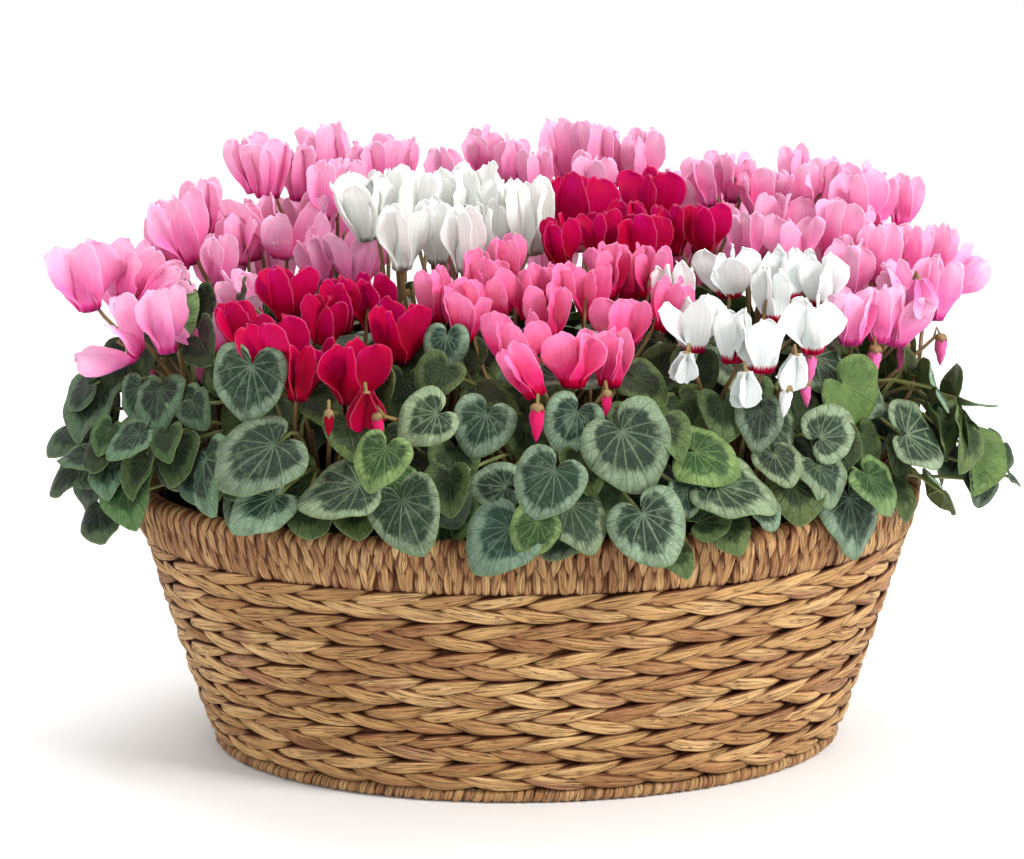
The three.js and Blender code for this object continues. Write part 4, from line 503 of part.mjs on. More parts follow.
// ---- plain vectors ----
const V = {
  add: (a, b) => [a[0] + b[0], a[1] + b[1], a[2] + b[2]],
  sub: (a, b) => [a[0] - b[0], a[1] - b[1], a[2] - b[2]],
  mul: (a, k) => [a[0] * k, a[1] * k, a[2] * k],
  dot: (a, b) => a[0] * b[0] + a[1] * b[1] + a[2] * b[2],
  cross: (a, b) => [a[1] * b[2] - a[2] * b[1], a[2] * b[0] - a[0] * b[2], a[0] * b[1] - a[1] * b[0]],
  len: (a) => Math.hypot(a[0], a[1], a[2]),
  unit: (a) => { const l = Math.hypot(a[0], a[1], a[2]) || 1; return [a[0] / l, a[1] / l, a[2] / l]; },
};

// A closed tube of SIDES sides through the given points, with a radius at each.
function tube(points, radii, sides = 3) {
  const pos = [], idx = [], n = points.length;
  let ref = Math.abs(V.unit(V.sub(points[n - 1], points[0]))[2]) > 0.9 ? [1, 0, 0] : [0, 0, 1];
  for (let i = 0; i < n; i++) {
    const d = V.unit(V.sub(points[Math.min(n - 1, i + 1)], points[Math.max(0, i - 1)]));
    let u = V.unit(V.sub(ref, V.mul(d, V.dot(ref, d))));
    const w = V.cross(d, u);
    ref = u;
    for (let k = 0; k < sides; k++) {
      const a = (2 * Math.PI * k) / sides;
      pos.push(...V.add(points[i], V.add(V.mul(u, radii[i] * Math.cos(a)), V.mul(w, radii[i] * Math.sin(a)))));
    }
  }
  for (let i = 0; i < n - 1; i++)
    for (let k = 0; k < sides; k++) {
      const a = i * sides + k, b = i * sides + ((k + 1) % sides), c = a + sides, d = b + sides;
      idx.push(a, b, d, a, d, c);
    }
  for (let k = 1; k < sides - 1; k++) {
    idx.push(0, k + 1, k);
    const o = (n - 1) * sides;
    idx.push(o, o + k, o + k + 1);
  }
  return { pos, idx };
}

// Heart outline of a blade: share of the length from the notch to the tip, share of the half width.
const HEART = [[1, 0], [0.62, 0.64], [0.08, 1], [-0.29, 0.5], [0, 0], [-0.29, -0.5], [0.08, -1], [0.62, -0.64]];
const NOTCH_SHARE = 1.3; // whole length over the length from the notch to the tip

function frameOf(l) {
  const n = V.unit(l.n), t = V.unit(V.sub(l.t, V.mul(n, V.dot(l.t, n)))), b = V.cross(n, t);
  const L = l.T / NOTCH_SHARE, hw = l.W / 2;
  return { n, t, b, L, hw, o: V.sub(l.c, V.mul(t, 0.35 * L)) };
}
// A point of the blade's middle surface, a along the tip and s across, in shares.
function onBlade(f, l, a, s, lift = 0) {
  const h = -l.dr * Math.max(a, 0) ** 2 * f.L - l.cu * s * s * f.hw + lift;
  return V.add(V.add(f.o, V.mul(f.t, a * f.L)), V.add(V.mul(f.b, s * f.hw), V.mul(f.n, h)));
}
// Where the leaf stalk starts, bends and ends.
function petiole(l, plant) {
  const f = frameOf(l);
  const end = onBlade(f, l, 0.12, 0, -0.25), pre = onBlade(f, l, -0.02, 0, -1.2);
  const start = [plant.x + l.g[0], plant.y + l.g[1], CROWN_Z + l.g[2]];
  const away = Math.hypot(end[0] - start[0], end[1] - start[1]);
  const rise = pre[2] - start[2];
  let mid = [start[0] + (pre[0] - start[0]) * 0.42, start[1] + (pre[1] - start[1]) * 0.42, start[2] + Math.max(rise * 0.55, 0) + Math.min(away, 60) * 0.26 + 6];
  if (l.m) mid = V.add(mid, l.m);
  return [start, mid, end];
}
// Where the flower stalk starts, bends and ends.
function stalk(fl, plant) {
  const a = V.unit(fl.a);
  const end = V.add(fl.p, V.mul(a, fl.h * 0.3));
  const dx = fl.p[0] - plant.x, dy = fl.p[1] - plant.y, d = Math.hypot(dx, dy) || 1;
  const start = [plant.x + fl.g[0], plant.y + fl.g[1], CROWN_Z + fl.g[2]];
  const out = [(dx / d) * 5, (dy / d) * 5, 0];
  const low = fl.bud ? V.sub(V.add(fl.p, V.mul(a, fl.h + 3)), V.mul(out, 0.5)) : V.add(fl.p, V.mul(a, -2));
  let mid = [start[0] + (low[0] - start[0]) * 0.36, start[1] + (low[1] - start[1]) * 0.36, start[2] + (low[2] - start[2]) * 0.52];
  if (fl.m) mid = V.add(mid, fl.m);
  if (fl.bud) return [start, mid, low, V.add(fl.p, V.mul(a, fl.h - 2))];
  return [start, mid, low, end];
}

// Half axes of the wall's outer face at a height, offset outwards.
function wallAt(z, out = 0) {
  const s = z / RIM_H, k = s + BULGE * 4 * s * (1 - s);
  return [FOOT_A + (RIM_A - FOOT_A) * k + out, FOOT_B + (RIM_B - FOOT_B) * k + out];
}
// Signed volume of a closed triangle mesh.
function volumeOf({ pos, idx }) {
  let v = 0;
  const p = (i) => [pos[3 * i], pos[3 * i + 1], pos[3 * i + 2]];
  for (let i = 0; i < idx.length; i += 3) v += V.dot(p(idx[i]), V.cross(p(idx[i + 1]), p(idx[i + 2])));
  return v / 6;
}
function facingOut(m) {
  if (volumeOf(m) < 0) for (let i = 0; i < m.idx.length; i += 3) [m.idx[i + 1], m.idx[i + 2]] = [m.idx[i + 2], m.idx[i + 1]];
  return m;
}
// An oval ring swept from a closed section of [half axis x, half axis y, z].
function ovalRing(section, around = AROUND) {
  const pos = [], idx = [], m = section.length;
  for (let i = 0; i < around; i++) {
    const t = (2 * Math.PI * i) / around;
    for (const [a, b, z] of section) pos.push(a * Math.cos(t), b * Math.sin(t), z);
  }
  for (let i = 0; i < around; i++)
    for (let k = 0; k < m; k++) {
      const a = i * m + k, b = i * m + ((k + 1) % m), c = ((i + 1) % around) * m + k, d = ((i + 1) % around) * m + ((k + 1) % m);
      idx.push(a, b, d, a, d, c);
    }
  return facingOut({ pos, idx });
}
// An oval body turned from an open profile of [half axis x, half axis y, z], closed on the axis at both ends.
function ovalBody(profile, around = AROUND, x = 0, y = 0) {
  const pos = [], idx = [], m = profile.length;
  for (let i = 0; i < around; i++) {
    const t = (2 * Math.PI * i) / around;
    for (const [a, b, z] of profile) pos.push(x + a * Math.cos(t), y + b * Math.sin(t), z);
  }
  const p0 = pos.length / 3, p1 = p0 + 1;
  pos.push(x, y, profile[0][2] + (profile.dome0 ?? 0), x, y, profile[m - 1][2] + (profile.dome1 ?? 0));
  for (let i = 0; i < around; i++) {
    const j = (i + 1) % around;
    for (let k = 0; k < m - 1; k++) {
      const a = i * m + k, b = a + 1, c = j * m + k, d = c + 1;
      idx.push(a, b, d, a, d, c);
    }
    idx.push(p0, i * m, j * m, p1, j * m + m - 1, i * m + m - 1);
  }
  return facingOut({ pos, idx });
}
function basketParts() {
  const parts = {};
  parts.basket_base = ovalBody([[149.4, 95.4, 0], [149.4, 95.4, BASE_T - GAP]]);
  parts.foot_ring = ovalRing([[160.2, 106.2, 1.2], [157.5, 103.5, 0], [149.8, 95.8, 0], [149.8, 95.8, FOOT_H - GAP], [159, 105, FOOT_H - GAP], [161.4, 107.4, 4]]);
  const step = (BAND_Z - FOOT_H) / BRAIDS;
  for (let i = 0; i < BRAIDS; i++) {
    const z0 = FOOT_H + i * step, z1 = z0 + step - GAP, zm = (z0 + z1) / 2;
    const [a0, b0] = wallAt(z0, -1.2), [a1, b1] = wallAt(z1, -1.2), [am, bm] = wallAt(zm, 1.2);
    parts["wall_braid_" + (i + 1)] = ovalRing([[am - WALL_T, bm - WALL_T, zm], [a0, b0, z0], [am, bm, zm], [a1, b1, z1]]);
  }
  // the rim band is a hood over the hoop and the topmost braid, open below: [z, offset from the wall's outer face]
  const along = (list) => list.map(([z, out]) => [...wallAt(z, out), z]);
  parts.rim_wrap = ovalRing(along([[BAND_Z, 0.6], [BAND_Z, 3], [133, 1.8], [RIM_H, -4.4], [139.2, -10.4], [135, -13], [BAND_Z, -9.2], [BAND_Z, -6.8], [133, -9.4], [133, -3.8]]));
  parts.rim_hoop = ovalRing(along([[128, -3.9], [130.2, -6.1], [128, -8.3], [125.8, -6.1]]));
  const [f0, g0] = wallAt(BASE_T, -WALL_T - 1), [f1, g1] = wallAt(60, -WALL_T - 1), [f2, g2] = wallAt(BAND_Z, -WALL_T - 1.2);
  const T = LINER_T;
  parts.liner = ovalBody([[f0, g0, BASE_T], [f1, g1, 60], [f2, g2, BAND_Z], wallAt(LINER_TOP, -13.6).concat(LINER_TOP), wallAt(LINER_TOP, -13.6 - T).concat(LINER_TOP), [f2 - T, g2 - T, BAND_Z], [f1 - T, g1 - T, 60], [f0 - T, g0 - T, BASE_T + T]]);
  const S = T + GAP;
  const soil = [[f0 - S - 0.2, g0 - S - 0.2, BASE_T + S], [f1 - S - 0.3, g1 - S - 0.3, 60], [f2 - S - 0.1, g2 - S - 0.1, BAND_Z], [f2 - S, g2 - S, SOIL_Z - 1.5], [f2 - S - 40, g2 - S - 40, SOIL_Z + 1]];
  soil.dome1 = 1;
  parts.soil = ovalBody(soil);
  return parts;
}
// The flat round corm of one plant, and the socket that it leaves in the soil.
function tuber(plant, grow = 0) {
  const prof = [];
  for (const deg of [-55, 0, 50]) {
    const a = (deg * Math.PI) / 180;
    prof.push([(TUBER_R + grow) * Math.cos(a), (TUBER_R + grow) * Math.cos(a), TUBER_Z + (TUBER_HALF + grow) * Math.sin(a)]);
  }
  prof.dome0 = -1.2; prof.dome1 = 1.4;
  return ovalBody(prof, 6, plant.x, plant.y);
}
// The crown that leaf stalks grow from, and the smaller one on top for the flower stalks.
const leafCrown = (p) => ovalBody([[CROWN_R - 1.5, CROWN_R - 1.5, CROWN_Z + 0.7], [CROWN_R, CROWN_R, CROWN_Z + CROWN_H]], 8, p.x, p.y);
const flowerCrown = (p) => ovalBody([[6.8, 6.8, CROWN_Z + CROWN_H + GAP], [6.4, 6.4, CROWN_Z + CROWN_H + 3]], 8, p.x, p.y);

// Fills the band between two loops that run the same way round, and keeps their order.
function zip(pos, inner, outer, idx, flip = false) {
  const P = (i) => [pos[3 * i], pos[3 * i + 1], pos[3 * i + 2]];
  const dist = (a, b) => V.len(V.sub(P(a), P(b)));
  const ni = inner.length, no = outer.length;
  let s = 0, best = Infinity;
  for (let k = 0; k < no; k++) if (dist(inner[0], outer[k]) < best) { best = dist(inner[0], outer[k]); s = k; }
  let i = 0, o = 0;
  while (i < ni || o < no) {
    const a = inner[i % ni], a2 = inner[(i + 1) % ni], b = outer[(s + o) % no], b2 = outer[(s + o + 1) % no];
    const takeOuter = i >= ni || (o < no && (o + 0.5) / no <= (i + 0.5) / ni);
    const tri = takeOuter ? [a, b, b2] : [a, b, a2];
    idx.push(...(flip ? [tri[0], tri[2], tri[1]] : tri));
    if (takeOuter) o++; else i++;
  }
}
// A tube that is open at its far end: its start is capped, and ring holds the far vertices.
function openTube(points, radii, sides = 3) {
  const m = tube(points, radii, sides), caps = sides - 2;
  const idx = m.idx.slice(0, m.idx.length - 6 * caps);
  for (let k = 1; k < sides - 1; k++) idx.push(0, k + 1, k);
  const o = (points.length - 1) * sides;
  return { pos: m.pos, idx, ring: Array.from({ length: sides }, (_, k) => o + k) };
}
// Turns the open ring of a tube into the plane across e, round c, so that what follows can join it.
function turnRing(pos, ring, c, e, r) {
  const v = V.sub(pos.slice(3 * ring[0], 3 * ring[0] + 3), c);
  let u = V.sub(v, V.mul(e, V.dot(v, e)));
  u = V.len(u) > 1e-3 ? V.unit(u) : V.unit(V.cross(e, [1, 0, 0]));
  const w = V.cross(e, u);
  ring.forEach((k, i) => {
    const g = (i * 2 * Math.PI) / 3, q = V.add(c, V.add(V.mul(u, r * Math.cos(g)), V.mul(w, r * Math.sin(g))));
    pos[3 * k] = q[0]; pos[3 * k + 1] = q[1]; pos[3 * k + 2] = q[2];
  });
  return [u, w];
}
// One leaf as one closed body: the stalk runs into the underside of its heart-shaped blade.
function leafShape(l, plant) {
  const f = frameOf(l), [start, mid] = petiole(l, plant), c = onBlade(f, l, 0.13, 0, -0.9);
  const { pos, idx, ring } = openTube([start, mid, c], [STALK_R * 0.9, STALK_R * 0.82, STALK_R * 0.72]);
  turnRing(pos, ring, c, f.n, 0.85);
  const o = pos.length / 3, m = HEART.length;
  for (const [a, s] of HEART) pos.push(...onBlade(f, l, a, s, 0));
  pos.push(...onBlade(f, l, 0.3, 0, BLADE_T));
  for (let i = 0; i < m; i++) idx.push(o + m, o + i, o + ((i + 1) % m));
  zip(pos, ring, Array.from({ length: m }, (_, i) => o + i), idx, true);
  return facingOut({ pos, idx });
}
// One flower as one closed body: the stalk runs into the mouth, and the petals sweep back up.
function flowerShape(fl, plant) {
  const path = stalk(fl, plant), a = V.unit(fl.a), c = fl.p;
  const { pos, idx, ring } = openTube([path[0], path[1], c], [STALK_R, STALK_R * 0.9, STALK_R]);
  const [u, w] = turnRing(pos, ring, c, a, 2.2);
  const o = pos.length / 3, R = fl.h * 0.5 * fl.s, loop = [];
  const at = (h, r, ang) => V.add(V.add(c, V.mul(a, h)), V.add(V.mul(u, r * Math.cos(ang)), V.mul(w, r * Math.sin(ang))));
  for (let i = 0; i < 10; i++) {
    pos.push(...at(i % 2 ? fl.h * 0.66 : fl.h, i % 2 ? R * 0.5 : R * 0.78, (Math.PI * i) / 5));
    loop.push(o + i);
  }
  pos.push(...at(fl.h * 0.4, 0, 0));
  zip(pos, ring, loop, idx, true);
  for (let i = 0; i < 10; i++) idx.push(o + 10, o + i, o + ((i + 1) % 10));
  return facingOut({ pos, idx });
}
// A bud, or a petal that droops, hangs by its hook.
function budShape(fl, plant) {
  const path = stalk(fl, plant), a = V.unit(fl.a), e = V.mul(a, -1), c = V.add(fl.p, V.mul(a, fl.h - 1));
  const { pos, idx, ring } = openTube([path[0], path[1], path[2], c], [STALK_R, STALK_R * 0.9, STALK_R * 0.8, STALK_R * 0.7]);
  const [u, w] = turnRing(pos, ring, c, e, 0.9);
  const o = pos.length / 3, R = fl.h * 0.5 * fl.s, loop = [];
  for (let i = 0; i < 5; i++) {
    const g = (2 * Math.PI * i) / 5;
    pos.push(...V.add(V.add(fl.p, V.mul(a, fl.h * 0.62)), V.add(V.mul(u, R * Math.cos(g)), V.mul(w, R * Math.sin(g)))));
    loop.push(o + i);
  }
  pos.push(...fl.p);
  zip(pos, ring, loop, idx, true);
  for (let i = 0; i < 5; i++) idx.push(o + 5, o + i, o + ((i + 1) % 5));
  return facingOut({ pos, idx });
}

// ---- solids ----
function solidOf({ pos, idx }) {
  const g = new THREE.BufferGeometry();
  g.setAttribute("position", new THREE.Float32BufferAttribute(pos, 3));
  g.setIndex(idx);
  const m = mergeVertices(g, 1e-4);
  return new wasm.Manifold(new wasm.Mesh({ numProp: 3, vertProperties: m.attributes.position.array, triVerts: new Uint32Array(m.index.array) }));
}
function geometryOf(solid) {
  const m = solid.getMesh(), n = m.numProp, v = new Float32Array(m.numVert * 3);
  for (let i = 0; i < m.numVert; i++) v.set(m.vertProperties.subarray(i * n, i * n + 3), i * 3);
  const g = new THREE.BufferGeometry();
  g.setAttribute("position", new THREE.BufferAttribute(v, 3));
  g.setIndex(new THREE.BufferAttribute(m.triVerts, 1));
  g.computeVertexNormals();
  return g;
}
// Stalks that touch can shut a small pocket between them: the outer body alone is kept.
// tol is how far simplifying may move a surface.
const joined = (list, tol = 0.03) => wasm.Manifold.union(list.map(solidOf)).simplify(tol).decompose().sort((a, b) => b.volume() - a.volume())[0];

const material = (color, roughness, metalness = 0) => new THREE.MeshStandardMaterial({ color, roughness, metalness });
const root = new THREE.Group();
function put(name, solid, mat) {
  const mesh = new THREE.Mesh(geometryOf(solid), mat);
  mesh.name = name;
  root.add(mesh);
}

const LOOKS = {
  basket_base: [0xb08a55, 0.85], foot_ring: [0xb98f58, 0.85], rim_wrap: [0xbd9259, 0.85], rim_hoop: [0x8a6a40, 0.8],
  liner: [0x141414, 0.35], soil: [0x2e211a, 0.95],
};
const sockets = wasm.Manifold.union(PLANTS.map((p) => solidOf(tuber(p, GAP))));
for (const [name, shape] of Object.entries(basketParts())) {
  let s = solidOf(shape);
  if (name === "soil") s = s.subtract(sockets);
  const [color, roughness] = LOOKS[name] ?? [0xc49a5e, 0.85];
  put(name, s, material(color, roughness));
}
PLANTS.forEach((plant, k) => {
  const flowers = FLOWERS.filter((f) => f[0] === k).map(([, x, y, z, ax, ay, az, h, s, q, star, kind, mx, my, mz, gx, gy, gz]) => ({ p: [x, y, z], a: [ax, ay, az], h, s, q, star, bud: kind, m: [mx, my, mz], g: [gx, gy, gz] }));
  const leaves = LEAVES.filter((l) => l[0] === k).map(([, x, y, z, tx, ty, tz, nx, ny, nz, T, W, style, dr, cu, mx, my, mz, gx, gy, gz]) => ({ c: [x, y, z], t: [tx, ty, tz], n: [nx, ny, nz], T, W, style, dr, cu, m: [mx, my, mz], g: [gx, gy, gz] }));
  put(plant.name + "_tuber", solidOf(tuber(plant)), material(0x5a4030, 0.9));
  put(plant.name + "_leaves", joined([leafCrown(plant), ...leaves.map((l) => leafShape(l, plant))], plant.name === "hotpink_front" ? 0.01 : 0.03), material(0x4a7050, 0.55));
  put(plant.name + "_flowers", joined([flowerCrown(plant), ...flowers.map((f) => (f.bud ? budShape(f, plant) : flowerShape(f, plant)))]), material(plant.petal, 0.6));
});

export default root;
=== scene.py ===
"""Looks for a planted oval basket of miniature cyclamens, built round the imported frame. Millimetres in the code, metres in the scene."""
import math

import bpy
import numpy as np
from mathutils import Matrix, Vector


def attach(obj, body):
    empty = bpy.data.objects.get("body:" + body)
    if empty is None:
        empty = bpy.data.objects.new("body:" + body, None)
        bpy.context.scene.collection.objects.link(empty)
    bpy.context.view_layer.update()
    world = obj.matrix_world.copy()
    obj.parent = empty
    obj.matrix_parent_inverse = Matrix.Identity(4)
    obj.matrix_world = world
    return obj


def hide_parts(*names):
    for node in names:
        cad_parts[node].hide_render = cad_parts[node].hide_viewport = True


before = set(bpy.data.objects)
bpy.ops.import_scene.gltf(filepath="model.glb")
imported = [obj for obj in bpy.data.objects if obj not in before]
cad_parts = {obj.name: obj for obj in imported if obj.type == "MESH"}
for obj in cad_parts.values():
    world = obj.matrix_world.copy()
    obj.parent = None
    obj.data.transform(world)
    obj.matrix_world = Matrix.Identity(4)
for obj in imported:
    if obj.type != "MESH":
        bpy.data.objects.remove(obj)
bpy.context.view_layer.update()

TAU = 2 * math.pi

# ---------------------------------------------------------------- driving dimensions, mm, as in the CAD source
RIM_A, RIM_B, FOOT_A, FOOT_B, RIM_H, BAND_Z, BULGE = 200.0, 136.0, 158.7, 104.7, 140.0, 112.0, 0.035
BRAIDS, FOOT_H, BASE_T, LINER_TOP, SOIL_Z, CROWN_Z = 7, 7.0, 7.3, 131.0, 118.0, 130.0
TUBER_Z, TUBER_R, TUBER_HALF = 121.0, 17.0, 9.0


# ---------------------------------------------------------------- small helpers
def unit(a):
    a = np.asarray(a, float)
    return a / np.maximum(np.linalg.norm(a, axis=-1, keepdims=True), 1e-12)


def lin(r, g, b):
    """A display colour, 0 to 255, as linear light."""
    c = np.array([r, g, b], float) / 255
    return np.where(c <= 0.04045, c / 12.92, ((c + 0.055) / 1.055) ** 2.4)


def rgba(c):
    return (float(c[0]), float(c[1]), float(c[2]), 1.0)


def smooth(x, lo, hi):
    x = np.clip((x - lo) / (hi - lo), 0, 1)
    return x * x * (3 - 2 * x)


def dice(*keys):
    """A seeded generator of its own for each thing that is made."""
    return np.random.default_rng([17, *[int(k) for k in keys]])


def wobble(x, rng, low=0.6, high=3.0, terms=5, period=None):
    """A smooth random function of x, about -1 to 1. With a period it closes on itself."""
    out = np.zeros_like(x, float)
    for _ in range(terms):
        f = rng.uniform(low, high)
        if period:
            f = max(1, round(f * period)) / period
        out += rng.uniform(0.5, 1) * np.sin(TAU * f * x + rng.uniform(0, TAU))
    return out / (terms * 0.55)


class Shape:
    """Collects vertices, faces and per-vertex values of one piece, in millimetres."""

    def __init__(self):
        self.v, self.q, self.t, self.a, self.n = [], [], [], {}, 0

    def add(self, v, quads=None, tris=None, **values):
        v = np.asarray(v, float).reshape(-1, 3)
        if quads is not None and len(quads):
            self.q.append(np.asarray(quads, int).reshape(-1, 4) + self.n)
        if tris is not None and len(tris):
            self.t.append(np.asarray(tris, int).reshape(-1, 3) + self.n)
        for k, x in values.items():
            x = np.asarray(x, float)
            if x.ndim == 0:
                x = np.full(len(v), float(x))
            elif x.ndim == 1 and len(x) == 3 and len(v) != 3:
                x = np.tile(x, (len(v), 1))
            self.a.setdefault(k, []).append(x)
        self.v.append(v)
        self.n += len(v)

    def build(self, name, material, slot=None, replaces=()):
        me = bpy.data.meshes.new(name)
        v = np.concatenate(self.v) * 0.001
        q = np.concatenate(self.q) if self.q else np.zeros((0, 4), int)
        t = np.concatenate(self.t) if self.t else np.zeros((0, 3), int)
        loops = np.concatenate([q.ravel(), t.ravel()]).astype(np.int32)
        starts = np.concatenate([np.arange(len(q)) * 4, len(q) * 4 + np.arange(len(t)) * 3]).astype(np.int32)
        me.vertices.add(len(v))
        me.vertices.foreach_set("co", v.astype(np.float32).ravel())
        me.loops.add(len(loops))
        me.loops.foreach_set("vertex_index", loops)
        me.polygons.add(len(starts))
        me.polygons.foreach_set("loop_start", starts)
        me.update(calc_edges=True)
        me.validate()
        me.shade_smooth()
        for k, parts in self.a.items():
            x = np.concatenate(parts)
            if x.ndim == 1:
                me.attributes.new(k, "FLOAT", "POINT").data.foreach_set("value", x.astype(np.float32))
            else:
                me.attributes.new(k, "FLOAT_VECTOR", "POINT").data.foreach_set("vector", x.astype(np.float32).ravel())
        me.materials.append(material)
        o = bpy.data.objects.new(name, me)
        bpy.context.scene.collection.objects.link(o)
        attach(o, "root")
        if replaces:
            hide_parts(*replaces)
        return o


def ring_quads(n, m, closed):
    """Quads of a tube of n rings of m points."""
    i, k = np.meshgrid(np.arange(n if closed else n - 1), np.arange(m), indexing="ij")
    a, b = i * m + k, i * m + (k + 1) % m
    c, d = ((i + 1) % n) * m + k, ((i + 1) % n) * m + (k + 1) % m
    return np.stack([a, b, d, c], -1).reshape(-1, 4)


def grid_quads(n, m):
    """Quads of a sheet of n rows of m points."""
    i, k = np.meshgrid(np.arange(n - 1), np.arange(m - 1), indexing="ij")
    a = i * m + k
    return np.stack([a, a + 1, a + m + 1, a + m], -1).reshape(-1, 4)


def spline(points, n):
    """n points on a smooth curve through the given points, evenly spaced along it."""
    p = np.asarray(points, float)
    p = np.vstack([2 * p[0] - p[1], p, 2 * p[-1] - p[-2]])
    out = []
    for i in range(1, len(p) - 2):
        t = np.linspace(0, 1, 12, endpoint=False)[:, None]
        a, b, c, d = p[i - 1], p[i], p[i + 1], p[i + 2]
        out.append(0.5 * (2 * b + (c - a) * t + (2 * a - 5 * b + 4 * c - d) * t**2 + (3 * b - a - 3 * c + d) * t**3))
    out = np.vstack([*out, p[-2][None]])
    s = np.concatenate([[0], np.cumsum(np.linalg.norm(np.diff(out, axis=0), axis=1))])
    at = np.linspace(0, s[-1], n)
    return np.stack([np.interp(at, s, out[:, k]) for k in range(3)], 1)


def along(p, closed=False):
    """Unit directions along a row of points."""
    if closed:
        return unit(np.roll(p, -1, 0) - np.roll(p, 1, 0))
    return unit(np.vstack([p[1] - p[0], p[2:] - p[:-2], p[-1] - p[-2]]))


def frames(p):
    """Directions along a curve, and two across it that turn as little as they can."""
    d = along(p)
    ref = np.array([1.0, 0.3, 0.1]) if abs(d[0][2]) > 0.8 else np.array([0, 0, 1.0])
    u = np.zeros_like(p)
    for i in range(len(p)):
        ref = ref - d[i] * (ref @ d[i])
        ref = ref / (np.linalg.norm(ref) + 1e-12)
        u[i] = ref
    return d, u, np.cross(d, u)


def tube(shape, p, radius, m=8, ridge=0.0, **values):
    """A round tube through p, with a rounded tip at each end."""
    n = len(p)
    d, u, w = frames(p)
    r = np.broadcast_to(np.asarray(radius, float), (n,)).copy()
    al = np.arange(m) / m * TAU
    rr = r[:, None] * (1 + ridge * np.cos(3 * al)[None])
    v = p[:, None] + u[:, None] * (rr * np.cos(al))[..., None] + w[:, None] * (rr * np.sin(al))[..., None]
    s = np.concatenate([[0], np.cumsum(np.linalg.norm(np.diff(p, axis=0), axis=1))])
    fib = np.stack([np.broadcast_to(s[:, None], (n, m)), rr * np.cos(al), rr * np.sin(al)], -1).reshape(-1, 3)
    tips = np.vstack([p[0] - d[0] * r[0] * 0.5, p[-1] + d[-1] * r[-1] * 0.5])
    fibs = np.array([[0, 0, 0], [s[-1], 0, 0]], float)
    k = np.arange(m)
    tris = np.vstack([np.stack([np.full(m, n * m), (k + 1) % m, k], 1), np.stack([np.full(m, n * m + 1), (n - 1) * m + k, (n - 1) * m + (k + 1) % m], 1)])
    share = np.concatenate([np.repeat(np.linspace(0, 1, n), m), [0, 1]])
    shape.add(np.vstack([v.reshape(-1, 3), tips]), ring_quads(n, m, False), tris, fib=np.vstack([fib, fibs]), share=share, **values)


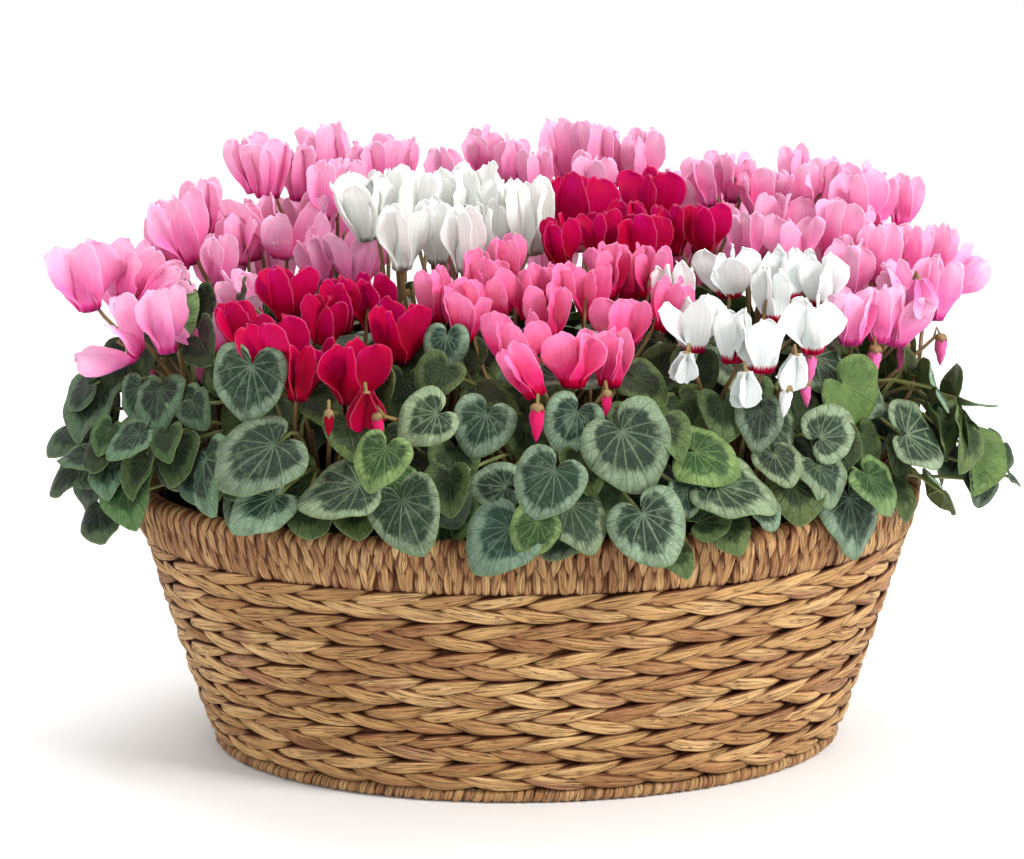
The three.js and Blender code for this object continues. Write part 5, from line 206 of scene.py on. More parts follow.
# ---------------------------------------------------------------- materials
class Net:
    """One node material with a Principled shader."""

    def __init__(self, name, rough=0.6, spec=0.35, **sockets):
        self.m = bpy.data.materials.new(name)
        self.m.use_nodes = True
        self.t = self.m.node_tree
        self.t.nodes.clear()
        out = self.t.nodes.new("ShaderNodeOutputMaterial")
        self.b = self.t.nodes.new("ShaderNodeBsdfPrincipled")
        self.t.links.new(self.b.outputs[0], out.inputs[0])
        self.b.inputs["Roughness"].default_value = rough
        self.b.inputs["Specular IOR Level"].default_value = spec
        for k, x in sockets.items():
            self.b.inputs[k.replace("_", " ")].default_value = x

    def put(self, socket, x):
        if isinstance(x, bpy.types.NodeSocket):
            self.t.links.new(x, socket)
        elif x is not None:
            socket.default_value = x

    def attr(self, name, out="Vector"):
        n = self.t.nodes.new("ShaderNodeAttribute")
        n.attribute_name = name
        return n.outputs[out]

    def where(self):
        return self.t.nodes.new("ShaderNodeTexCoord").outputs["Object"]

    def math(self, op, a, b=0.0, clamp=False):
        n = self.t.nodes.new("ShaderNodeMath")
        n.operation, n.use_clamp = op, clamp
        self.put(n.inputs[0], a)
        self.put(n.inputs[1], b)
        return n.outputs[0]

    def mul(self, a, b):
        return self.math("MULTIPLY", a, b)

    def addup(self, a, b):
        return self.math("ADD", a, b)

    def split(self, v):
        n = self.t.nodes.new("ShaderNodeSeparateXYZ")
        self.put(n.inputs[0], v)
        return n.outputs

    def join(self, x, y, z=0.0):
        n = self.t.nodes.new("ShaderNodeCombineXYZ")
        for i, c in enumerate((x, y, z)):
            self.put(n.inputs[i], c)
        return n.outputs[0]

    def scaled(self, v, xyz):
        n = self.t.nodes.new("ShaderNodeVectorMath")
        n.operation = "MULTIPLY"
        self.put(n.inputs[0], v)
        n.inputs[1].default_value = xyz
        return n.outputs[0]

    def noise(self, v, scale, detail=2.0, rough=0.5, bend=0.0):
        n = self.t.nodes.new("ShaderNodeTexNoise")
        self.put(n.inputs["Vector"], v)
        n.inputs["Scale"].default_value = scale
        n.inputs["Detail"].default_value = detail
        n.inputs["Roughness"].default_value = rough
        n.inputs["Distortion"].default_value = bend
        return n.outputs[0]

    def cells(self, v, scale, edge=True):
        n = self.t.nodes.new("ShaderNodeTexVoronoi")
        if edge:
            n.feature = "DISTANCE_TO_EDGE"
        self.put(n.inputs["Vector"], v)
        n.inputs["Scale"].default_value = scale
        return n.outputs["Distance"]

    def span(self, x, a, b, c=0.0, d=1.0, soft=True):
        n = self.t.nodes.new("ShaderNodeMapRange")
        n.interpolation_type = "SMOOTHSTEP" if soft else "LINEAR"
        for i, y in enumerate((x, a, b, c, d)):
            self.put(n.inputs[i], y)
        return n.outputs[0]

    def mix(self, f, a, b, mode="MIX"):
        n = self.t.nodes.new("ShaderNodeMix")
        n.data_type, n.blend_type, n.clamp_factor = "RGBA", mode, True
        self.put(n.inputs[0], f)
        self.put(n.inputs[6], rgba(a) if isinstance(a, (tuple, list, np.ndarray)) else a)
        self.put(n.inputs[7], rgba(b) if isinstance(b, (tuple, list, np.ndarray)) else b)
        return n.outputs[2]

    def ramp(self, f, *stops):
        n = self.t.nodes.new("ShaderNodeValToRGB")
        e = n.color_ramp.elements
        while len(e) < len(stops):
            e.new(0.5)
        for x, (at, c) in zip(e, stops):
            x.position, x.color = at, rgba(c)
        self.put(n.inputs[0], f)
        return n.outputs[0]

    def bright(self, colour, value):
        """colour times value."""
        n = self.t.nodes.new("ShaderNodeVectorMath")
        n.operation = "SCALE"
        self.put(n.inputs[0], colour)
        self.put(n.inputs["Scale"], value)
        return n.outputs[0]

    def finish(self, colour, rough=None, height=None, strength=0.3, distance=0.0005):
        self.put(self.b.inputs["Base Color"], colour)
        if rough is not None:
            self.put(self.b.inputs["Roughness"], rough)
        if height is not None:
            n = self.t.nodes.new("ShaderNodeBump")
            n.inputs["Strength"].default_value = strength
            n.inputs["Distance"].default_value = distance
            self.put(n.inputs["Height"], height)
            self.t.links.new(n.outputs[0], self.b.inputs["Normal"])
        return self.m


def fibre_material(name, dark=1.0, rosy=0.0):
    """Dried stalk: a tint for each stretch that shows, fine fibres and splits along it, and painted shade, a dark
    brown, in the creases and deep in the weave.
    """
    g = Net(name, 0.62, 0.3)
    fib, tint, deep = g.attr("fib"), g.attr("tint", "Fac"), g.attr("deep", "Fac")
    patch = g.noise(g.scaled(fib, (0.03, 0.15, 0.15)), 1.0, 2)
    pick = g.math("ADD", tint, g.mul(g.math("SUBTRACT", patch, 0.5), 1.1), clamp=True)
    base = g.ramp(pick, (0.0, lin(148, 100, 60) * dark), (0.2, lin(168, 124, 76) * dark), (0.42, lin(182, 140, 86) * dark), (0.6, lin(196, 154, 97) * dark), (0.78, lin(214, 176, 120) * dark), (0.9, lin(186, 146, 96) * dark), (1.0, lin(164, 117, 82) * dark))
    lines = g.noise(g.scaled(fib, (0.045, 1.15, 1.0)), 1.0, 4, 0.62, 0.15)
    fine = g.noise(g.scaled(fib, (0.12, 4.2, 4.2)), 1.0, 3, 0.6)
    crack = g.noise(g.scaled(fib, (0.035, 0.62, 1.0)), 1.0, 2, 0.55, 0.3)
    split = g.span(g.math("ABSOLUTE", g.math("SUBTRACT", crack, 0.5)), 0.034, 0.008)
    split = g.mul(split, g.span(lines, 0.66, 0.44))
    if rosy:
        base = g.mix(rosy, base, lin(170, 100, 96) * dark)
    col = g.mix(g.mul(g.span(lines, 0.54, 0.26), 0.85), base, lin(108, 66, 30) * dark)
    col = g.mix(g.mul(g.span(fine, 0.52, 0.72), 0.6), col, lin(224, 184, 132) * dark)
    col = g.mix(g.mul(g.span(fine, 0.44, 0.24), 0.55), col, lin(100, 60, 24) * dark)
    col = g.mix(g.mul(split, 0.8), col, lin(74, 40, 14) * dark)
    # painted shade: the deep value darkens the creases, the tucked ends and the hidden far side of the weave
    col = g.mix(g.mul(g.span(deep, 0.0, 0.9), 0.94), col, lin(92, 44, 20))
    height = g.addup(g.mul(lines, 1.0), g.mul(fine, 0.5))
    height = g.addup(height, g.mul(split, -0.5))
    return g.finish(col, g.span(fine, 0.2, 0.8, 0.70, 0.45), height, 0.85, 0.0010)


def leaf_material():
    """Heart leaf: veins fan out from the stalk, a dark middle, and a silvery margin with fine rays."""
    g = Net("cyclamen_leaf", 0.5, 0.3)
    lp, lr = g.attr("lp"), g.attr("lr")
    x, y, rho = g.split(lp)
    seed, wide, under = g.split(lr)
    ang = g.math("ABSOLUTE", g.math("ARCTAN2", y, x))
    dist = g.math("SQRT", g.addup(g.mul(x, x), g.mul(y, y)))
    bent = g.mul(ang, g.addup(g.mul(rho, 0.16), 0.94))
    vein = None
    for at, w in ((0.0, 0.036), (0.44, 0.026), (0.86, 0.026), (1.36, 0.024), (1.95, 0.020), (2.5, 0.016)):
        d = g.mul(g.math("ABSOLUTE", g.math("SUBTRACT", bent, at)), dist)
        one = g.span(d, w, 0.0)
        vein = one if vein is None else g.math("MAXIMUM", vein, one)
    flat = g.join(x, y, g.mul(seed, 40.0))
    # side veins fork off towards the margin
    fork = g.noise(g.join(g.mul(ang, 3.4), g.mul(rho, 1.3), g.mul(seed, 31.0)), 1.6, 2, 0.6, 0.6)
    fork = g.span(g.math("ABSOLUTE", g.math("SUBTRACT", fork, 0.5)), 0.022, 0.0)
    net = g.span(g.cells(flat, 9.0), 0.07, 0.0)
    streak = g.noise(g.join(g.mul(ang, 9.0), g.mul(rho, 1.1), g.mul(seed, 23.0)), 2.2, 3, 0.65)
    fur = g.noise(g.join(g.mul(ang, 30.0), g.mul(rho, 2.0), g.mul(seed, 11.0)), 2.0, 2, 0.6)
    blot = g.noise(flat, 3.2, 3, 0.55)
    # where the margin starts, from the stalk out: it is jagged, and follows the veins out
    edge = g.addup(rho, g.mul(g.math("SUBTRACT", streak, 0.5), 0.24))
    edge = g.addup(edge, g.mul(g.math("SUBTRACT", blot, 0.5), 0.44))
    edge = g.math("SUBTRACT", edge, g.mul(vein, 0.05))
    margin = g.span(g.math("SUBTRACT", edge, wide), -0.08, 0.09)
    mid, rim = g.attr("lc"), g.attr("lm")
    centre = g.bright(mid, g.span(blot, 0.3, 0.75, 0.72, 1.35))
    centre = g.mix(g.mul(net, 0.12), centre, rim)
    centre = g.mix(g.mul(g.mul(fork, g.span(rho, 0.06, 0.3)), 0.11), centre, rim)
    # soft grey clouding between the veins
    cloud = g.noise(flat, 5.5, 3, 0.6, 0.7)
    centre = g.mix(g.mul(g.span(cloud, 0.48, 0.72), 0.34), centre, rim)
    silver = g.bright(rim, g.span(fur, 0.25, 0.75, 0.76, 1.2))
    silver = g.mix(g.mul(g.span(streak, 0.54, 0.3), 0.36), silver, mid)
    silver = g.mix(g.mul(g.span(blot, 0.56, 0.36), 0.34), silver, mid)
    col = g.mix(margin, centre, silver)
    pale = g.bright(rim, 1.12)
    col = g.mix(g.mul(vein, g.span(margin, 0.0, 1.0, 0.46, 0.30)), col, pale)
    # the very edge is a thin green cord
    col = g.mix(g.mul(g.span(rho, 0.955, 0.985), 0.55), col, g.mix(0.5, mid, lin(150, 176, 110)))
    back = g.mix(g.mul(vein, 0.6), g.mix(g.span(blot, 0.3, 0.7), lin(74, 98, 54), lin(100, 122, 72)), lin(130, 144, 92))
    col = g.mix(under, col, back)
    height = g.addup(g.mul(vein, -1.0), g.mul(blot, 1.1))
    height = g.addup(height, g.mul(fur, 0.22))
    height = g.addup(height, g.mul(net, -0.35))
    height = g.addup(height, g.mul(cloud, 0.8))
    return g.finish(col, g.span(blot, 0.3, 0.7, 0.46, 0.6), height, 0.7, 0.0011)


def petal_material():
    """Petal: fine lengthwise veins, painted light that makes the tip and rim paler, painted shade low along the middle,
    and the coloured ring of the mouth.
    """
    g = Net("cyclamen_petal", 0.62, 0.05, Subsurface_Weight=0.42, Subsurface_Scale=0.005)
    g.b.inputs["Subsurface Radius"].default_value = (1.0, 0.62, 0.7)
    pp = g.attr("pp")
    u, v, seed = g.split(pp)
    body, tip, eye, eyew = g.attr("pc"), g.attr("pt"), g.attr("pe"), g.attr("pw", "Fac")
    lines = g.noise(g.join(g.mul(u, 5.0), g.mul(v, 0.9), g.mul(seed, 37.0)), 1.7, 3, 0.6, 0.2)
    fine = g.noise(g.join(g.mul(u, 14.0), g.mul(v, 1.6), g.mul(seed, 19.0)), 2.0, 2, 0.6)
    soft = g.noise(g.join(u, g.mul(v, 1.5), g.mul(seed, 53.0)), 1.6, 2)
    # painted light: paler towards the tip, where the light falls on the upper petal
    up = g.span(g.addup(v, g.mul(g.math("SUBTRACT", soft, 0.5), 0.5)), 0.25, 1.0)
    col = g.mix(up, body, tip)
    col = g.bright(col, g.span(lines, 0.25, 0.75, 0.89, 1.06))
    col = g.bright(col, g.span(fine, 0.25, 0.75, 0.95, 1.03))
    # painted light: a paler rim, where light shows through the thin edge
    edge = g.math("MAXIMUM", g.span(g.addup(g.math("ABSOLUTE", u), g.mul(fine, 0.04)), 0.93, 1.0), g.span(v, 0.965, 0.995))
    col = g.mix(g.mul(edge, 0.19), col, g.mix(0.10, tip, lin(255, 230, 242)))
    # painted shade: darker along the middle and low down, in the cup of the flower
    col = g.bright(col, g.span(g.addup(v, g.mul(g.math("ABSOLUTE", u), 0.35)), 0.05, 0.75, 0.86, 1.03))
    rag = g.addup(v, g.mul(g.math("SUBTRACT", lines, 0.5), -0.22))
    ring = g.math("MULTIPLY", g.span(g.math("SUBTRACT", rag, eyew), 0.035, -0.02), 1.0)
    col = g.mix(ring, col, eye)
    height = g.addup(g.mul(lines, 0.8), g.mul(fine, 0.3))
    return g.finish(col, g.span(lines, 0.2, 0.8, 0.44, 0.58), height, 0.25, 0.0005)


def stalk_material(name, low, high, blush):
    """Fleshy stalk: reddish brown at the foot, greener above, with fine lengthwise streaks."""
    g = Net(name, 0.42, 0.4)
    fib, share = g.attr("fib"), g.attr("share", "Fac")
    streak = g.noise(g.scaled(fib, (0.06, 1.6, 1.6)), 1.0, 3, 0.6)
    blot = g.noise(g.scaled(fib, (0.11, 0.3, 0.3)), 1.0, 2)
    col = g.mix(g.span(g.addup(share, g.mul(g.math("SUBTRACT", blot, 0.5), 0.8)), 0.15, 0.85), low, high)
    col = g.mix(g.mul(g.span(streak, 0.45, 0.7), 0.5), col, blush)
    col = g.bright(col, g.span(streak, 0.2, 0.8, 0.8, 1.15))
    return g.finish(col, g.span(streak, 0.2, 0.8, 0.36, 0.52), streak, 0.3, 0.0004)


def soil_material():
    g = Net("potting_soil", 0.95, 0.15)
    p = g.where()
    grain, clump = g.noise(p, 520.0, 4, 0.7), g.noise(p, 90.0, 3, 0.6)
    col = g.ramp(grain, (0.25, lin(24, 17, 13)), (0.5, lin(46, 33, 25)), (0.7, lin(74, 55, 41)), (0.85, lin(112, 92, 70)))
    col = g.bright(col, g.span(clump, 0.3, 0.7, 0.6, 1.1))
    return g.finish(col, g.span(grain, 0.3, 0.8, 1.0, 0.8), g.addup(grain, clump), 0.9, 0.0015)


def tuber_material():
    g = Net("tuber_skin", 0.85, 0.2)
    p = g.where()
    skin, crack = g.noise(p, 160.0, 4, 0.65), g.cells(p, 230.0)
    col = g.ramp(skin, (0.3, lin(48, 32, 22)), (0.55, lin(92, 66, 46)), (0.75, lin(128, 98, 70)))
    col = g.mix(g.span(crack, 0.08, 0.0), col, lin(30, 20, 14))
    return g.finish(col, g.span(skin, 0.3, 0.8, 0.95, 0.7), g.addup(skin, g.mul(crack, 2.0)), 0.7, 0.001)


def liner_material():
    g = Net("liner_plastic", 0.3, 0.5)
    p = g.where()
    crumple, dust = g.noise(p, 60.0, 3, 0.6, 0.8), g.noise(p, 300.0, 3, 0.7)
    col = g.ramp(dust, (0.3, lin(12, 13, 14)), (0.62, lin(24, 25, 26)), (0.85, lin(58, 54, 48)))
    return g.finish(col, g.span(dust, 0.3, 0.8, 0.22, 0.5), crumple, 0.5, 0.002)


def hoop_material():
    g = Net("hoop_cane", 0.7, 0.3)
    p = g.where()
    grain = g.noise(p, 260.0, 4, 0.6)
    return g.finish(g.ramp(grain, (0.3, lin(96, 66, 38)), (0.7, lin(160, 122, 78))), g.span(grain, 0.3, 0.7, 0.8, 0.6), grain, 0.5, 0.0008)

# One row per flower, as in the CAD source: plant, mouth x y z, axis x y z up to the petal tips, petal length, spread, spin,
# open or not, kind (0 flower, 1 bud, 2 hanging petals), how far the stalk bows aside, where it starts on the crown.
FLOWERS = [
    [5, -217.05, 0.85, 222.75, -0.139, -0.049, 0.989, 35.1, 1.03, 4.11, 0, 0, 7.55, -4.9, -0.07, -5.06, 0.64, 8],
    [5, -200.72, 11.79, 226.26, 0.258, -0.121, 0.958, 32.6, 0.81, 1.91, 0, 0, -1.47, 3.47, 0.81, 0.27, 2.59, 8],
    [5, -190.76, 7.07, 223.98, 0.766, 0.012, 0.643, 27, 0.74, 3.97, 0, 0, 9.35, 7.84, 6, -2.37, -1.06, 8],
    [5, -190.76, -29.77, 206.71, -0.818, -0.096, 0.568, 27, 1.5, 6.25, 1, 0, 1.72, 0.02, -1.07, -0.27, -2.59, 8],
    [6, -169.29, 38.6, 238.46, -0.292, 0.025, 0.956, 38, 0.7, 4.27, 0, 0, 0, 0, 0, -4.84, -1.6, 8],
    [6, -164.48, 68.71, 247.15, 0, -0.042, 0.999, 32.05, 0.7, 4.23, 0, 0, 0, 0, 0, -3.81, 3.39, 8],
    [6, -153.93, 24.21, 230.44, 0, -0.138, 0.99, 27, 0.7, 1.08, 0, 0, -10.14, 2.63, 1.63, -0.8, -2.47, 8],
    [6, -145.62, 43.04, 237.85, 0, 0.002, 1, 27, 0.79, 5.55, 0, 0, 0, 0, 0, -2.54, -0.54, 8],
    [6, -135.49, -1.71, 218.46, -0.423, -0.125, 0.898, 27.43, 0.7, 4.44, 0, 0, -0.14, -3.3, 6, -0.8, -5.04, 8],
    [6, -155.23, -25.03, 206.94, -0.173, -0.013, 0.985, 27.74, 1.5, 5.2, 1, 0, 2.47, 0.58, 6, -3.21, -3.96, 8],
    [6, -122.57, 48.13, 240.31, 0.087, -0.139, 0.987, 32.44, 1.5, 4.64, 1, 0, 0, 0, 0, 0, 0, 8],
    [6, -101.06, 28.91, 231.16, -0.375, -0.111, 0.921, 27, 0.7, 2.12, 0, 0, 0, 0, 0, 1.74, -1.93, 8],
    [6, -85.84, 28.93, 229.6, 0, -0.024, 1, 28.88, 1, 4.99, 0, 0, 0, 0, 0, 2.54, 0.54, 8],
    [7, -137.59, 99.64, 266.35, -0.258, 0.114, 0.959, 31.63, 0.7, 1.21, 0, 0, 1.81, 3.09, 1.87, -5.09, 0.26, 8],
    [7, -131.27, 87.81, 265.21, 0, -0.118, 0.993, 32.01, 0.7, 3.64, 0, 0, 0.62, 2.4, -3.37, -2.77, -4.28, 8],
    [7, -114.62, 94.95, 262.86, -0.087, -0.083, 0.993, 31.57, 0.7, 1.47, 0, 0, 1.64, 3.3, -0.25, -4.28, 2.77, 8],
    [7, -99.67, 57.43, 258.1, 0, 0.04, 0.999, 30.81, 0.7, 1.31, 0, 0, -11.23, 4.15, 5.06, 1.45, -2.16, 8],
    [7, -99.38, 102.3, 267.19, 0, 0.14, 0.99, 35.42, 0.7, 4.95, 0, 0, 0, 0, 0, -1.45, 2.16, 8],
    [7, -90.65, 69.57, 259.66, 0, 0.024, 1, 28.49, 0.7, 5.47, 0, 0, -5.43, 10.73, -2.06, -1.15, -2.33, 8],
    [7, -77.58, 95.56, 265.83, -0.087, -0.028, 0.996, 28.03, 0.75, 5.3, 0, 0, 3.6, 2.37, -1.88, 0, 0, 8],
    [7, -64.98, 102.46, 266.93, 0, 0.149, 0.989, 29.11, 0.73, 0.7, 0, 0, 0, 0, 0, 2.59, 0.17, 8],
    [3, -79.48, 14.75, 254.99, -0.139, -0.136, 0.981, 32.89, 0.7, 2.95, 0, 0, -2.21, -1.32, -1.21, -4.74, 1.89, 8],
    [3, -69.13, 24.31, 254.65, 0, 0.112, 0.994, 35.22, 0.7, 4.59, 0, 0, -2.5, 9.46, 0.51, -2.55, 0.49, 8],
    [3, -62.68, -19, 245.72, 0, -0.066, 0.998, 34.29, 0.7, 2.3, 0, 0, -0.68, -1.95, -0.64, -1.7, -1.96, 8],
    [3, -51.42, 17.39, 254.35, 0, -0.112, 0.994, 36.11, 0.7, 1.75, 0, 0, 7.81, -8.68, 5.71, 0, 0, 8],
    [3, -45.08, -9.82, 247.27, 0, -0.12, 0.993, 33.05, 0.7, 2.31, 0, 0, 7.25, 5.23, 1.07, 0.85, -2.46, 8],
    [3, -34.27, 23.48, 254.67, 0, -0.06, 0.998, 35.26, 0.7, 5.77, 0, 0, 8.13, 2.5, 2.95, 1.7, 1.96, 8],
    [3, -23.49, 35, 258.89, -0.052, 0.102, 0.993, 31.52, 0.7, 5.47, 0, 0, 0, 0, 0, 3.16, 4.01, 8],
    [3, -31.26, -21.88, 244.94, -0.07, -0.097, 0.993, 32.88, 0.7, 2.63, 0, 0, 2.38, 2.04, 2.76, 3.07, -4.07, 8],
    [3, -13.09, 17, 254.14, 0, 0.026, 1, 30.13, 0.7, 2.69, 0, 0, 0, 0, 0, 4.74, 1.89, 8],
    [3, 0.99, -2.2, 249.23, -0.035, 0.045, 0.998, 38, 0.7, 5.15, 0, 0, 0, 0, 0, 5.05, -0.73, 8],
    [3, -20.32, -1, 249.69, 0, -0.04, 0.999, 27, 0.7, 1.08, 0, 0, 0, 0, 0, 2.55, -0.49, 8],
    [8, -36.32, 83.21, 265.32, -0.208, 0.025, 0.978, 27, 0.7, 0.99, 0, 0, 8.4, 5.05, -0.07, -1.01, -2.39, 8],
    [8, -15.94, 112, 272.65, -0.174, -0.129, 0.976, 27, 0.83, 2, 0, 0, 2.82, -3.17, 0.49, 1.01, 2.39, 8],
    [8, -3.18, 99.69, 269.03, 0, -0.138, 0.99, 27, 0.7, 2.37, 0, 0, -4.37, 0.67, 4.25, 0, 0, 8],
    [8, 8.85, 86.17, 263.95, 0, -0.092, 0.996, 27, 0.7, 3.17, 0, 0, -2.93, 3.21, 3.17, 1.57, -2.08, 8],
    [9, 27.16, 110.33, 268.02, -0.139, 0.063, 0.988, 34.43, 0.7, 6.11, 0, 0, 0, 0, 0, -2.44, -0.9, 8],
    [9, 39.69, 100.78, 268.38, 0, -0.023, 1, 34.06, 0.7, 2.94, 0, 0, 0, 0, 0, -2, 1.66, 8],
    [9, 36.79, 80, 261.67, 0, -0.058, 0.998, 27, 0.87, 4.73, 0, 0, 0.37, 0.93, 1.05, 0, 0, 8],
    [9, 54.47, 108.15, 266.98, 0, 0.027, 1, 32.44, 0.7, 1.41, 0, 0, 0, 0, 0, 2.44, 0.9, 8],
    [9, 65.38, 96.82, 266.74, 0.052, -0.017, 0.998, 31.85, 0.7, 2.74, 0, 0, 0, 0, 0, 2, -1.66, 8],
    [9, 17.63, 75.29, 241.89, 0, -0.063, 0.998, 27, 0.72, 5.49, 0, 0, 1.6, 9.54, 1.54, -0.44, -2.56, 8],
    [4, 28.81, 17.87, 251.24, 0, 0.092, 0.996, 35.76, 0.93, 5.14, 0, 0, 4.97, -5.97, 4.54, -2.2, 1.38, 8],
    [4, 65.85, 42.11, 256.01, 0, 0.062, 0.998, 30.2, 1.12, 1.93, 0, 0, 0.75, -0.15, 0.98, 0.1, 2.6, 8],
    [4, 15.78, -20, 245.24, -0.104, -0.075, 0.992, 27, 0.7, 3.36, 0, 0, 0, 0, 0, -3.56, -3.65, 8],
    [4, 35.03, -12.78, 246.29, 0, 0.023, 1, 27, 0.7, 5.32, 0, 0, 0, 0, 0, -2.3, -1.21, 8],
    [4, 51.11, 1.67, 248.65, -0.052, 0.01, 0.999, 27, 0.7, 4.4, 0, 0, -2.52, 1.21, 1.19, 0, 0, 8],
    [4, 55.36, -16.51, 244.89, 0, 0.118, 0.993, 27, 1.02, 0.7, 0, 0, -6.5, 2.67, 5.62, -0.1, -2.6, 8],
    [4, 72.83, 1.62, 247.9, -0.035, 0.074, 0.997, 27, 0.7, 3.7, 0, 0, -0.72, 3.51, -2.76, 2.3, 1.21, 8],
    [4, 87.71, 1.67, 248.35, 0.035, -0.068, 0.997, 27, 0.94, 0.58, 0, 0, 0, 0, 0, 5.01, -0.98, 8],
    [10, 101.85, 87.9, 258.52, -0.258, 0.162, 0.953, 28.52, 0.7, 4.34, 0, 0, -4.12, 13.15, 0.8, -2.6, 0, 8],
    [10, 113.79, 94.24, 260.56, 0, -0.12, 0.993, 27, 0.73, 2.51, 0, 0, -12.89, 10.3, -0.15, -1.3, 2.25, 8],
    [10, 127.25, 82.75, 253.7, 0, -0.026, 1, 27, 0.72, 4.39, 0, 0, 9.22, 1.41, 3, 1.3, 2.25, 8],
    [10, 148.72, 106.16, 262.31, 0, 0.081, 0.997, 27, 0.7, 1.6, 0, 0, 5.26, -5.64, -0.43, 2.14, 4.63, 8],
    [10, 157.03, 74.99, 251.21, 0, -0.109, 0.994, 36.14, 0.7, 2.4, 0, 0, 1.4, 3.49, 3.45, 5.03, 0.87, 8],
    [10, 173.27, 57.74, 249.57, 0, -0.003, 1, 35.38, 0.88, 2.51, 0, 0, -3.33, -11.69, 1.08, -0.97, -5.01, 8],
    [10, 186.54, 72.98, 250.33, 0, -0.144, 0.99, 27, 0.7, 2.63, 0, 0, -6.36, 4.97, 6, 3.57, -3.64, 8],
    [10, 199.58, 74.82, 249.87, 0.174, 0.045, 0.984, 27, 0.7, 5.93, 0, 0, -8.44, 3.31, 5.49, 4.85, -1.56, 8],
    [10, 143.17, 81.32, 252.21, 0, 0.083, 0.997, 27, 0.7, 2.7, 0, 0, 2.57, 1.06, 2.52, 2.6, 0, 8],
    [10, 112.72, 32, 239.25, 0, 0.023, 1, 27, 0.7, 0.14, 0, 0, 7.72, -0.73, 5.99, -1.3, -2.25, 8],
    [10, 137.45, 32, 234.9, 0, 0.118, 0.993, 27, 1.14, 1.58, 0, 0, 0, 0, 0, -3.18, -3.98, 8],
    [11, 162.83, 10.63, 222.49, 0, -0.058, 0.998, 32.37, 0.78, 0.83, 0, 0, 10.63, -3.52, 4.83, 0, 0, 8],
    [11, 155.11, -45.55, 211.38, 0, 0.061, 0.998, 27, 0.81, 4.19, 0, 0, 2.96, -0.57, 2.74, -3.9, -3.28, 8],
    [11, 170.13, -40.93, 211.54, 0, 0.03, 1, 28.38, 0.78, 0.03, 0, 0, -4.93, -4.29, -1.18, 0.48, -5.08, 8],
    [11, 179.21, 18.02, 228.79, 0, 0.025, 1, 32.25, 0.7, 1.8, 0, 0, 1, -0.62, -0.1, 2.6, 0.07, 8],
    [11, 199.5, 43.52, 229.07, 0.087, -0.018, 0.996, 27.35, 0.7, 1.76, 0, 0, 2.29, 17.23, 3.84, -1.68, 4.81, 8],
    [11, 212.49, 48.35, 228.1, 0.259, 0.095, 0.961, 27, 0.7, 2.62, 0, 0, -4.13, 9.61, -1.72, 0.75, 5.05, 8],
    [11, 215.95, 28.71, 222.99, 0.706, 0.106, 0.7, 27, 0.81, 1.37, 0, 0, 7.71, 10.79, -3.81, 3, 4.12, 8],
    [11, 192.04, -6.3, 221.32, -0.5, 0.015, 0.866, 27, 0.7, 5.04, 0, 0, -9.28, -17.27, -3.94, 1.36, -2.22, 8],
    [2, 68.63, -53.5, 228.48, -0.087, 0.056, 0.995, 27, 0.7, 3.01, 0, 0, -12.17, -0.81, 0.02, -2.34, 1.13, 8],
    [2, 98.03, -29.78, 232.96, -0.139, -0.131, 0.982, 27, 1.12, 3.38, 0, 0, -10.59, 3.16, 2.8, -0.19, 2.59, 8],
    [2, 74.3, -81.4, 216.16, 0, 0.063, 0.998, 27, 1.11, 5.33, 0, 0, -5.65, 3.04, 4.19, -2.15, -1.46, 8],
    [2, 91.51, -89.22, 212.41, 0, 0.046, 0.999, 27, 0.7, 3.85, 0, 0, -7.64, 0.39, 6, 0.19, -2.59, 8],
    [2, 104.43, -100.77, 209.7, 0, 0.154, 0.988, 27, 0.95, 4.39, 0, 0, -6.98, -6.52, 2.17, 0.49, -5.08, 8],
    [2, 126.57, -34.32, 232.01, -0.087, 0.105, 0.991, 27, 0.7, 0.13, 0, 0, 0, 0, 0, 2.15, 1.46, 8],
    [2, 130.69, -81.62, 215.21, 0, -0.068, 0.998, 27.03, 1, 3.48, 0, 0, 2.38, 6, 6, 2.34, -1.13, 8],
    [2, 142.12, -35.21, 228.77, 0, -0.036, 0.999, 27, 0.87, 2.82, 0, 0, -8.83, 4.3, 5.78, 4.63, 2.14, 8],
    [2, 115.3, -53.31, 224.92, 0, 0.053, 0.999, 27, 0.7, 3.21, 0, 0, 6.07, 6.09, 5.1, 0, 0, 8],
    [1, -34.04, -68.98, 220.42, 0, -0.149, 0.989, 27, 0.7, 4.17, 0, 0, -4.01, -3.9, 3.47, -5.1, -0.01, 8],
    [1, -45.76, -59.13, 226.81, -0.104, -0.007, 0.995, 27, 0.7, 1.83, 0, 0, 3.9, -8.41, 3.17, -4.6, 2.2, 8],
    [1, -25.01, -41.08, 232.24, 0, -0.104, 0.995, 27, 0.7, 3.06, 0, 0, 2.32, -7.19, 6, -3.19, 3.98, 8],
    [1, -12.33, -28.93, 238.05, 0, -0.12, 0.993, 27, 0.7, 5.99, 0, 0, -6.58, -5.55, 1.71, -1.15, 4.97, 8],
    [1, -16.61, -56.26, 226.06, -0.104, -0.133, 0.986, 27, 0.75, 1.27, 0, 0, -2.15, -5.66, -4.57, -2.58, -0.28, 8],
    [1, -1.96, -55.25, 227.02, 0, 0.084, 0.996, 27, 0.7, 3.26, 0, 0, -9.3, -3.26, 3.91, -1.53, 2.1, 8],
    [1, -9.78, -94.17, 210.7, -0.052, -0.114, 0.992, 27, 1.15, 5.69, 0, 0, -2.62, 7.73, 3.8, -1.05, -2.38, 8],
    [1, 5.82, -69.69, 219.58, 0, -0.079, 0.997, 27, 0.74, 3.83, 0, 0, -9.91, 0.4, 5.62, 0, 0, 8],
